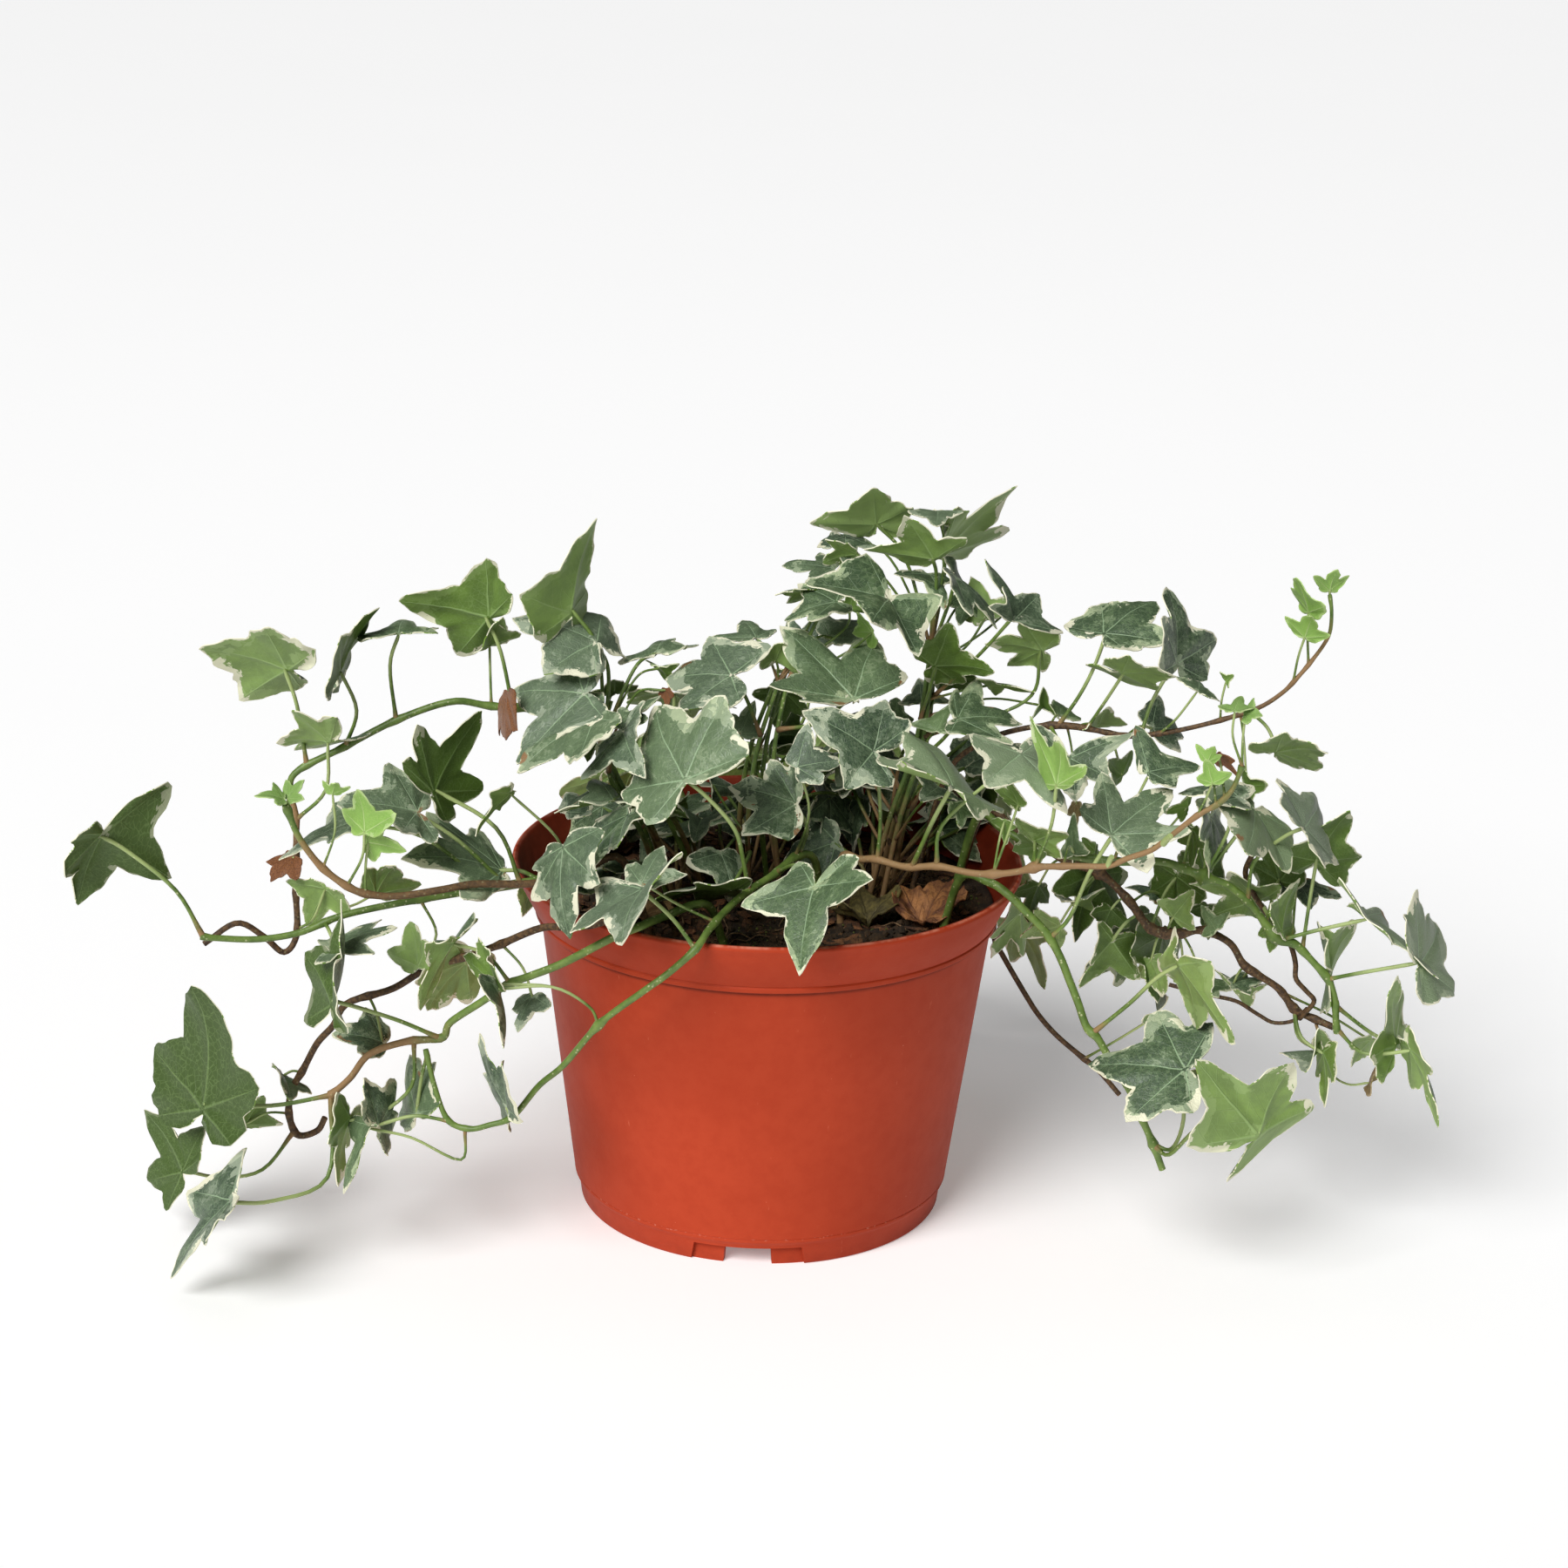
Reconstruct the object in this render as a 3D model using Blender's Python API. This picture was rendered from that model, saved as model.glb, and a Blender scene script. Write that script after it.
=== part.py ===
"""A variegated English ivy in a round plastic grower's pot.

The pot stands on its foot ring with its axis on +Z. The stems and leaves were measured in millimetres
on an upright plane through the pot's axis, as seen by somebody who stands in front and looks down a
little. Each point there is (across, up), and a third number moves it along the line of sight to its
real depth, negative towards the viewer.
"""
import math
import random

import bmesh
import bpy
import numpy as np
from mathutils import Matrix, Vector

MM = 0.001

# The pot
RIM_RADIUS = 76.0
POT_HEIGHT = 108.0
RIM_BEAD = 2.6
COLLAR_DEPTH = 16.5
COLLAR_TOP_RADIUS = 75.0
COLLAR_LOW_RADIUS = 69.2
BODY_TOP_RADIUS = 67.6
BODY_LOW_RADIUS = 56.8
BODY_LOW_HEIGHT = 9.5
FLOOR_HEIGHT = 5.5
FLOOR_THICKNESS = 2.0
FOOT_RADIUS = 54.8
FOOT_HEIGHT = 6.5
FOOT_WIDTH = 4.0
CENTRE_FOOT = 18.0
WALL = 1.7
POT_SIDES = 40
SLOT_WIDTH = 15.0
SLOT_HEIGHT = 4.8
SLOT_AZIMUTHS = (-93, 9, 165, 87)
RECESS_WIDTH = 35.0
RECESS_HEIGHT = 5.8
RECESS_DEPTH = 1.3
DRAIN_RADIUS = 5.0
DRAIN_RING = 40.0

# The soil
SOIL_TOP = 95.0
SOIL_DISH = 2.5
SOIL_SIDES = 20
SOIL_LUMP = 1.2
SEAT_GAP = 0.35
HOLE_DEPTH = 22.0
HOLE_CLEARANCE = 0.35

# The leaves
BLADE_THICKNESS = 0.75
FOLD_LIMIT = 0.6
STALK_RADIUS = 0.62
STALK_SIDES = 3
STALK_END = 0.28
STEM_SIDES = 4

# Where the plant was looked at from, and which way is right and up in that view
EYE = Vector((4.3, -994.6, 467.3))
LOOK_DOWN = math.radians(18.7)
HEAD_TILT = math.radians(1.5)
LEVEL_RIGHT = Vector((1.0, 0.0, 0.0))
LEVEL_UP = Vector((0.0, math.sin(LOOK_DOWN), math.cos(LOOK_DOWN)))
VIEW_RIGHT = LEVEL_RIGHT * math.cos(HEAD_TILT) + LEVEL_UP * math.sin(HEAD_TILT)
VIEW_UP = LEVEL_UP * math.cos(HEAD_TILT) - LEVEL_RIGHT * math.sin(HEAD_TILT)
TO_VIEWER = VIEW_RIGHT.cross(VIEW_UP)

# An ivy leaf's five lobe tips, in lengths of its midrib, from the point where its stalk meets it
LOBES = np.array([(-0.52, -0.20), (-0.68, 0.38), (0.0, 1.0), (0.68, 0.38), (0.52, -0.20)])
# The cuts between the lobes, each as shares of the lobe vectors on its two sides
DEEP_CUT = (0.30, 0.42)
SHALLOW_CUT = (0.42, 0.44)
SMALL_LEAF = 15.0
SOLVER = "MANIFOLD"


def seen_at(across, up, depth=0.0):
    """The real place of a point of the upright plane, moved along the line of sight to a depth."""
    share = (depth - EYE.y) / -EYE.y
    return EYE + (Vector((across, 0.0, up)) - EYE) * share


def smooth_route(points, steps):
    """A smooth line through points, with the given number of steps."""
    ends = [points[0] * 2 - points[1], *points, points[-1] * 2 - points[-2]]
    line = []
    for step in range(steps + 1):
        place = step / steps * (len(points) - 1)
        span = min(int(place), len(points) - 2)
        t = place - span
        a, b, c, d = ends[span:span + 4]
        line.append(0.5 * (b * 2 + (c - a) * t + (a * 2 - b * 5 + c * 4 - d) * t ** 2
                           + (b * 3 - a - c * 3 + d) * t ** 3))
    return line


def mesh_object(name, verts, faces):
    """A mesh object from points in millimetres, with its faces pointing out."""
    mesh = bpy.data.meshes.new(name)
    mesh.from_pydata([Vector(v) * MM for v in verts], [], faces)
    tidy = bmesh.new()
    tidy.from_mesh(mesh)
    bmesh.ops.recalc_face_normals(tidy, faces=tidy.faces)
    tidy.to_mesh(mesh)
    tidy.free()
    piece = bpy.data.objects.new(name, mesh)
    bpy.context.collection.objects.link(piece)
    return piece


def tube(name, line, thick_start, thick_end, sides):
    """A closed round stalk along a line, tapering from one radius to the other."""
    verts = []
    faces = []
    side = Vector((0.3, 0.5, 0.8)).cross(line[1] - line[0]).normalized()
    for i, point in enumerate(line):
        along = (line[min(i + 1, len(line) - 1)] - line[max(i - 1, 0)]).normalized()
        side = (side - along * side.dot(along)).normalized()
        other = along.cross(side)
        radius = thick_start + (thick_end - thick_start) * i / (len(line) - 1)
        for k in range(sides):
            turn = 2 * math.pi * k / sides
            verts.append(point + (side * math.cos(turn) + other * math.sin(turn)) * radius)
    for i in range(len(line) - 1):
        for k in range(sides):
            a = i * sides + k
            b = i * sides + (k + 1) % sides
            faces.append((a, b, b + sides, a + sides))
    faces.append(tuple(range(sides)))
    faces.append(tuple(range(len(verts) - sides, len(verts))))
    return mesh_object(name, verts, faces)


# The ivy's stems. Each has its name, the real (x, y) where it stands in the soil, its route
# from there, its radius where it starts and ends, and its leaves.
STEMS = []


def stem(name, root, route, thick=(1.2, 0.8), leaves=()):
    STEMS.append(dict(name=name, root=root, route=route, thick=thick, leaves=list(leaves)))


def leaf(face, depth, base, lobes, via=()):
    """face is the side that the viewer sees. lobes are the seen tips, in order round the leaf: the
    three long ones, or with one or both of the small ones by the stalk. via are points that the
    stalk passes, from the stem on."""
    return dict(face=face, depth=depth, base=base, lobes=lobes, via=via)


stem("left_arching_stem", (-22, 14),
     [(-35, 128, 10), (-52, 144, 6), (-66, 151, 2), (-83, 152.5, 0), (-94, 153.5, -2), (-110, 147.5, -4),
      (-126, 138.5, -6), (-140, 130.5, -8), (-142, 124, -9), (-140.5, 115, -10), (-141, 94, -12),
      (-141, 79, -14), (-145, 73, -16), (-151, 78, -18), (-159, 82, -20), (-169, 75, -22)],
     (1.3, 0.8),
     [leaf("under", -6, (-142, 162),
           [(-133.5, 166), (-144, 174), (-168, 167), (-156, 153.5), (-138, 157)], [(-142, 138)]),
      leaf("under", -14, (-127, 161), [(-131, 153), (-126, 172), (-113.5, 183), (-119, 164)],
           [(-125, 139), (-122, 150)]),
      leaf("top", -8, (-109.3, 174), [(-126, 172), (-108, 177.5), (-97.5, 176)], [(-112, 150), (-112, 164)]),
      leaf("under", 4, (-83, 179.5),
           [(-76.5, 185.5), (-84, 197), (-109, 184), (-93, 166), (-78, 171)], [(-75, 154)]),
      leaf("under", 8, (-83, 171), [(-88, 175), (-73, 178), (-76, 166)], [(-82, 153)]),
      leaf("under", -14, (-130, 140),
           [(-128, 147), (-142.5, 149.5), (-146.5, 139.5), (-140, 137), (-117.5, 145)],
           [(-139.5, 115.5), (-131.5, 125)]),
      leaf("under", -18, (-132, 94), [(-144, 95.5), (-138, 81.5), (-125, 86)], [(-141, 80), (-136, 84)]),
      leaf("under", -2, (-117, 95.5), [(-118, 104), (-104, 99), (-110.5, 88)], [(-140, 92), (-127, 88)])])

stem("left_front_stem", (-42, -22),
     [(-50, 104, -24), (-62, 100.5, -30), (-72, 97.5, -36), (-97, 92.5, -40), (-113.5, 89, -44),
      (-128, 85, -47), (-140, 79.5, -50), (-152.5, 77, -53), (-165, 77, -56), (-170, 77.5, -57)],
     (1.4, 1.0),
     [leaf("under", -60, (-198.5, 109.5),
           [(-204, 111), (-211, 93.5), (-206.5, 87), (-178.5, 95.5), (-176, 123.5)],
           [(-169.5, 78), (-177, 92), (-191, 104)]),
      leaf("under", -40, (-99.5, 125),
           [(-86, 126.5), (-85.5, 150), (-105.5, 144.5), (-103.5, 122.5), (-95, 115.5)],
           [(-76, 99), (-81, 114.5)]),
      leaf("top", -46, (-104.5, 119), [(-112.5, 135), (-129, 121.5), (-109, 112.5)], [(-78, 98), (-92, 110)]),
      leaf("top", -34, (-79, 101), [(-85, 112), (-101.5, 119), (-109, 106), (-90.5, 91.5), (-80, 94)],
           [(-68, 98)]),
      leaf("under", -42, (-76.5, 126), [(-78, 133), (-88, 111.5), (-74, 118)], [(-60, 101), (-63, 112)]),
      leaf("top", -52, (-107, 82), [(-115.5, 75), (-105, 69.5), (-98, 80)], [(-103, 91)]),
      leaf("top", -58, (-113, 80.5), [(-122.5, 82), (-131, 74.5), (-118.5, 72.5)], [(-118, 87)]),
      leaf("top", -56, (-61, 109),
           [(-50, 115.5), (-50, 98), (-60, 79.5), (-70, 92), (-70, 104)], [(-48, 104), (-54, 108)])])

stem("left_tip_stem", (-34, -34),
     [(-44, 106, -38), (-58, 99.5, -42), (-72, 97, -47), (-87.5, 96.5, -52), (-97, 94.5, -56),
      (-110.5, 92, -60), (-120, 92.5, -63), (-126, 95, -64), (-132.5, 100, -65), (-137, 105.5, -66),
      (-140.5, 111.5, -66), (-143.5, 120, -66)],
     (1.1, 0.7),
     [leaf("under", -66, (-120, 112), [(-127, 119), (-121.5, 126), (-111, 118)], [(-126, 95), (-121, 104)]),
      leaf("under", -64, (-119.5, 109), [(-115, 117), (-107.5, 106.5), (-117, 103)], [(-120, 92.5), (-120, 101)]),
      leaf("under", -68, (-127, 124), [(-133, 128), (-124, 135), (-119, 127)], [(-132, 100), (-129, 112)]),
      leaf("top", -66, (-144, 122), [(-147, 127), (-152.5, 123.5), (-146, 120)], [(-143.5, 119)]),
      leaf("top", -64, (-143, 122), [(-143, 128), (-138, 128), (-138, 122)], [(-143, 119)])])

stem("left_brown_stem", (-26, -34),
     [(-35, 94, -46), (-48.3, 85.7, -62), (-58, 83.5, -62), (-67.5, 83, -57), (-80.5, 77, -50),
      (-90.5, 73, -45), (-102.5, 68.5, -41), (-112.5, 62, -38), (-126, 57, -35), (-130.5, 49.5, -34),
      (-135.5, 43.5, -33), (-140, 34.5, -32), (-143.5, 28, -32), (-144.5, 20, -32), (-142, 13, -32),
      (-136, 14.5, -32), (-133.5, 19, -32)],
     (1.2, 0.8),
     [leaf("under", -50, (-177.5, -0.5), [(-180, -9), (-183.5, -12), (-189.5, -1), (-172, 8.5)],
           [(-144, 14), (-153, 1), (-166, -2)]),
      leaf("under", -30, (-97, 66), [(-104, 70), (-99, 55), (-88, 66)], [(-90, 72)]),
      leaf("top", -30, (-146, 33), [(-149, 36), (-144, 24), (-137, 27)], [(-140, 34)]),
      leaf("under", -28, (-158, 16), [(-160, 19.5), (-152, 26), (-146, 16)], [(-144, 20)]),
      leaf("top", -40, (-122, 52), [(-129.5, 49), (-124, 38), (-113, 41)], [(-118, 59)]),
      leaf("top", -58, (-70, 61), [(-76, 56), (-75, 49.5), (-64, 57)], [(-80.5, 77), (-73, 70)])])

stem("left_green_stem", (-12, -44),
     [(-18, 92, -52), (-31, 87.5, -61), (-38.5, 84, -69), (-46, 80.5, -71), (-60.5, 72, -68), (-70.5, 67.5, -66),
      (-77.5, 64.5, -64), (-85.5, 58.5, -62), (-95, 51.5, -60), (-97.5, 46.5, -59), (-108, 45, -58),
      (-119.5, 40.5, -57), (-125.5, 32.5, -56), (-131.5, 26.5, -55)],
     (1.4, 0.9),
     [leaf("under", -74, (-131, 56.5), [(-134, 66), (-127, 90), (-125, 62)], [(-98, 45), (-110, 51.5), (-122.5, 55.5)]),
      leaf("under", -62, (-170.5, 21),
           [(-180, 13), (-188.5, 39), (-169, 63.5), (-155.5, 27.5), (-164, 9)], [(-131.5, 26.5), (-150, 22.5)]),
      leaf("top", -88, (-163, -9.5), [(-158, 9), (-172, -10), (-183, -34.5), (-167, -26), (-160, -14)],
           [(-131, 26), (-133, -1), (-150, -9.5)]),
      leaf("under", -66, (-93.5, 78), [(-102.5, 77), (-104.5, 55.5), (-88, 86.5)], [(-77.5, 64.5), (-84, 74)]),
      leaf("under", -60, (-126, 19), [(-130.5, 26), (-130.5, -3.5), (-125, 10)], [(-106.5, 44), (-107, 30), (-118, 20)]),
      leaf("top", -68, (-86, 49.5), [(-83, 38), (-73, 17.5), (-80, 44)], [(-85, 58)])])

stem("front_left_stem", (16, -14),
     [(14, 107, -24), (8.6, 108, -31), (2, 102, -40), (-5.6, 96.5, -50), (-11, 91.4, -60), (-17, 84, -72),
      (-21, 77.5, -79), (-29, 69.5, -80), (-37, 63, -80), (-49.5, 52.5, -77), (-60.5, 38.5, -73),
      (-68, 31.5, -70), (-76, 21, -68), (-83, 18, -67), (-89.5, 16.5, -66), (-96, 19.5, -65), (-100, 31, -64),
      (-102.5, 42.5, -63)],
     (1.5, 0.8),
     [leaf("top", -56, (-25.2, 131), [(-7, 140), (-13.4, 158), (-35, 154), (-44.2, 127), (-36, 117)],
           [(-6.5, 97), (-7.2, 106), (-10, 116), (-18, 125.5)]),
      leaf("top", -30, (8.2, 124.6), [(7.5, 136), (0, 136.5), (-12, 130), (-7.7, 113), (7.3, 112.8)],
           [(9, 108), (11.5, 117)]),
      leaf("top", -38, (8, 136), [(0.5, 139), (11, 150), (21, 138.5), (16, 130.5), (8, 127.5)],
           [(8, 107), (12, 122)]),
      leaf("top", -71, (14, 98.5), [(10, 105.5), (-6.4, 90.5), (10.8, 70), (32.6, 100), (27, 108.5)],
           [(3, 103), (9, 105)]),
      leaf("top", -74, (-37, 96.5), [(-32, 100), (-26, 109), (-44, 79), (-59.5, 82), (-50, 98.5)],
           [(-21, 78), (-28, 87)]),
      leaf("top", -70, (-37.5, 98), [(-42, 104), (-31, 110), (-24, 101)], [(-15, 86), (-27, 92)]),
      leaf("under", -74, (-81, 65), [(-84, 88), (-77, 46), (-77.5, 60)],
           [(-49.5, 52.5), (-53, 58), (-64, 64)]),
      leaf("top", -68, (-118.5, 15.5), [(-109, 18), (-127.5, -6.5), (-124, 14)], [(-90, 17), (-92, 6), (-107, 13)]),
      leaf("top", -58, (-104, 35), [(-109, 34), (-104, 10), (-99.5, 24)], [(-102, 40)])])

stem("crown_left_stem", (-30, -4),
     [(-38, 118, -8), (-46, 130, -10), (-50, 142, -10), (-47, 155, -8)],
     (1.3, 0.9),
     [leaf("under", -4, (-59, 181.5), [(-69.5, 173), (-73, 186.5), (-53, 210), (-54.5, 188.5), (-53, 175)],
           [(-47, 155), (-51, 170)]),
      leaf("top", -8, (-51.5, 173), [(-52, 162), (-67, 163.5), (-76, 180.5), (-50, 182.5), (-43, 168.5)],
           [(-47, 155), (-48, 164)]),
      leaf("top", -20, (-55, 157), [(-50, 171.5), (-60, 172), (-76, 157), (-74.5, 134), (-48, 148)],
           [(-49, 148)]),
      leaf("top", -28, (-52, 149.5), [(-66, 147), (-74.5, 132.5), (-56, 134)], [(-49, 140)]),
      leaf("top", -34, (-43.5, 145.5), [(-56, 130), (-37.5, 132), (-38.5, 149)], [(-47, 134), (-46, 140)]),
      leaf("top", -31, (-44, 147), [(-45.5, 153), (-33, 157.5), (-36.5, 150.5)], [(-47, 134), (-48, 141)]),
      leaf("top", 2, (-34, 170), [(-45, 167), (-31, 175), (-22, 173)], [(-36, 162)]),
      leaf("under", 0, (-33, 166), [(-37, 168), (-29, 160), (-27, 167)], [(-44, 152)]),
      leaf("top", -18, (-20, 119), [(-28, 124), (-22, 112), (-10, 122)], [(-37, 116), (-30, 122)]),
      leaf("top", -30, (-46, 124), [(-64, 120), (-52, 131), (-36, 120)], [(-41, 122)])])

stem("crown_middle_stem", (0, 6),
     [(-2, 118, 4), (-2, 135, 4), (0, 150, 5), (4, 165, 6), (10, 178, 6)],
     (1.5, 0.9),
     [leaf("top", -8, (-12, 163.8), [(-0.6, 173.5), (-18.8, 176), (-31.3, 162), (-27, 152), (-9, 155)],
           [(-2, 146), (-8, 158)]),
      leaf("top", -16, (23.7, 157.3), [(40, 165), (29.5, 176), (1.9, 178.1), (-0.9, 160), (10, 156)],
           [(0, 148), (14, 150)]),
      leaf("under", 4, (1, 168.7), [(-7, 163), (-4, 172), (3.2, 174.7), (8.3, 164.6)], [(2, 160)]),
      leaf("top", 10, (-5, 175.5), [(-18, 175), (-9, 181), (0.8, 178.5)], [(2, 163), (-2, 172)]),
      leaf("top", 2, (18, 187), [(7, 192), (2.8, 181), (11, 181)], [(9, 177), (14, 184)]),
      leaf("under", 14, (12, 190), [(6, 190), (0.5, 189), (4, 186)], [(9, 177), (13, 186)]),
      leaf("under", 6, (22.3, 185), [(16.5, 187.5), (23, 190.5), (27, 184)], [(10, 177), (20, 178)]),
      leaf("under", 0, (29, 178), [(24, 184), (23.5, 178), (29, 173)], [(8, 174), (22, 172)]),
      leaf("top", 12, (17, 176), [(12.5, 184), (28, 182), (26, 176)], [(7, 172)]),
      leaf("top", 0, (-9, 146), [(-14, 152), (-5, 156), (-2, 146)], [(-3, 128), (-6, 138)]),
      leaf("top", 8, (-17, 130), [(-20, 137), (-9, 128), (-17, 121)], [(-3, 116), (-12, 122)])])

stem("crown_right_stem", (34, 4),
     [(38, 118, 4), (43, 135, 6), (46, 155, 8), (47, 175, 10), (47, 190, 12)],
     (1.5, 0.9),
     [leaf("under", 14, (29, 210.5), [(37, 207), (39.5, 215.6), (27.5, 222), (9.5, 209.7), (25, 206)],
           [(46, 186), (38, 200)]),
      leaf("under", 2, (46, 200.5), [(52, 205), (55, 207), (37, 213), (26.3, 203.5), (40, 199)],
           [(47, 186), (47, 194)]),
      leaf("top", 8, (46.5, 215), [(37.5, 214.5), (46.5, 210.5), (54, 214.5)], [(48, 189), (49, 202)]),
      leaf("under", 22, (48, 201.5), [(50, 210), (53, 216), (68.5, 222), (68.4, 209), (54, 201)],
           [(47, 186), (49, 194)]),
      leaf("under", 6, (24, 201.5), [(21, 206), (14.5, 206), (13.5, 199), (19, 198)], [(46, 180), (34, 192)]),
      leaf("top", 16, (17, 197), [(13, 202), (1.7, 197.7), (10, 193)], [(46, 178), (30, 188)]),
      leaf("top", -12, (33.4, 188.3), [(26.4, 201.7), (8.5, 193.3), (29, 182), (42.6, 171), (48.4, 188.5)],
           [(46, 166), (42, 178)]),
      leaf("top", 14, (45, 196), [(35, 196), (50, 186), (52, 194)], [(47, 184)]),
      leaf("top", 2, (52, 196), [(58, 190), (66, 181), (57, 183)], [(47, 180), (51, 188)]),
      leaf("top", -8, (70, 183), [(63, 186), (66, 192), (60.4, 201.3), (76, 190), (84.3, 179)],
           [(46, 158), (56, 166), (62, 175)]),
      leaf("under", 2, (78.8, 174), [(80, 168), (69, 169), (62, 176), (72, 184), (84, 179)],
           [(46, 148), (66, 152), (78, 163)]),
      leaf("under", 10, (62, 183), [(54, 184), (57, 196), (69, 190)], [(46, 165), (56, 174)]),
      leaf("under", 16, (69, 187), [(72, 191), (78, 187), (73, 184)], [(46, 168), (60, 178)]),
      leaf("under", 0, (47.3, 168.4), [(41, 173), (52, 181.4), (65.3, 168), (56, 162), (46, 163)],
           [(45, 150), (46, 160)]),
      leaf("top", -10, (54.8, 152.4), [(53, 160), (60, 163), (74.6, 152.3), (71, 144), (52.4, 146.7)],
           [(43, 134), (50, 145)]),
      leaf("top", -4, (49, 148.5), [(41, 150.5), (52.5, 157), (52, 149)], [(43, 138)]),
      leaf("under", 8, (63, 163), [(60, 165), (77, 161.5), (66, 160)], [(46, 157), (56, 161)])])

stem("front_right_stem", (22, -16),
     [(22, 108, -22), (27.5, 107.6, -28), (32.4, 107.7, -32), (41.3, 105.5, -38), (50.9, 106, -43),
      (60, 104.3, -48), (67.1, 104, -51), (74.3, 104.9, -54), (80, 106.5, -56), (87.5, 107, -58), (94, 107.3, -60),
      (101.4, 107.5, -62), (107.2, 110.1, -64), (113.7, 112.7, -66), (117.5, 115.6, -67), (127, 124.1, -70),
      (132.7, 127.7, -71), (136.4, 131.7, -72), (138.1, 135.6, -72), (139.3, 140, -72)],
     (1.3, 0.8),
     [leaf("top", -36, (30.5, 141.6), [(41, 149.5), (33, 157), (9, 154), (22, 130), (36, 130.5)],
           [(32.5, 108), (33.2, 120), (32, 133)]),
      leaf("top", -54, (54.6, 131), [(41, 138), (30, 138), (40.8, 148.5), (69, 124), (63.5, 121.5)],
           [(43.5, 106), (48.5, 119.6)]),
      leaf("top", -48, (74, 142), [(58, 147), (63.5, 132), (88.7, 124), (84, 138)],
           [(50, 106), (51.6, 119), (66, 134)]),
      leaf("under", -62, (85, 132.4), [(80, 133), (75.9, 154), (85.5, 146.5), (93.7, 138), (90, 133)],
           [(79.7, 107), (84, 120)]),
      leaf("under", -50, (74.2, 126), [(78.6, 125.6), (70, 134.5), (67, 131), (69, 127)],
           [(67, 105), (70.7, 114.8)]),
      leaf("under", -74, (131, 134.4), [(126, 136), (128.4, 142.3), (136.6, 137.6)], [(127, 124), (129.5, 130)]),
      leaf("under", -70, (129, 141), [(125, 146.5), (131, 146), (133, 143)], [(132, 128), (131, 136)]),
      leaf("top", -74, (136, 157), [(131, 158), (137.6, 162), (142, 158)], [(139.3, 140), (136, 149)]),
      leaf("top", -72, (139, 156), [(141.5, 161), (144, 156), (140, 153)], [(139.3, 140), (139, 148)]),
      leaf("top", -26, (91, 111), [(96, 112), (90, 124), (86, 110)], [(88, 108)]),
      leaf("under", -40, (79, 115), [(73.5, 122.3), (89, 118), (88, 110)], [(79, 107)])])

stem("right_hanging_stem", (52, -26),
     [(58, 103, -34), (66, 101.5, -40), (71, 98.6, -43), (77.2, 92.8, -45), (84.1, 85.7, -46),
      (88.4, 78.6, -47), (92, 70.2, -48), (94.9, 63.2, -49), (97.9, 55.4, -50), (101.4, 51.9, -51),
      (106.5, 43.4, -52), (112.6, 34, -53), (116.3, 25.7, -54), (120, 17.8, -54), (123.5, 9, -54)],
     (1.5, 1.2),
     [leaf("top", -51, (102, 117.5), [(92, 124), (98, 134.5), (120, 132.4), (125.5, 117.2), (113, 105.3)],
           [(86, 84), (91, 91), (96, 105)]),
      leaf("under", -62, (124, 77), [(122, 88), (118, 74), (131.8, 55.5), (142.8, 51), (133, 77)],
           [(99, 53), (110, 63.2), (118, 72)]),
      leaf("top", -64, (128.5, 42.4), [(135.7, 58), (118.2, 62.4), (99.1, 43.2), (111.2, 24.9), (131.8, 28.8)],
           [(120, 17.5), (126, 16), (129, 26)]),
      leaf("under", -74, (152.2, 21.2), [(129.8, 17.5), (131.4, 45.4), (160.7, 46.7), (167, 32.2), (144, 8)],
           [(120, 17.5), (125.3, 14), (133, 22.5), (142, 25.5)]),
      leaf("under", -44, (134, 38), [(131, 42), (138, 22.5), (136, 30)], [(116, 27), (124, 33)])])

stem("right_dark_stem", (48, 26),
     [(52, 128, 32), (60, 126.5, 38), (66, 120, 40), (69.5, 108, 36), (68.5, 95, 28), (68.6, 83.8, 24),
      (71.8, 77.4, 23), (79, 65.3, 22), (83.3, 58.8, 21), (88.9, 52.5, 20), (96.7, 45.8, 18), (102.3, 41.2, 16),
      (109, 33.5, 14)],
     (1.2, 0.9),
     [leaf("under", 10, (119, 60), [(117, 72), (122, 66), (114, 58)], [(98, 45), (108, 52)]),
      leaf("under", 14, (76, 92), [(68, 84), (67, 77.2), (77.5, 78)], [(70, 108), (73, 100)])])

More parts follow.
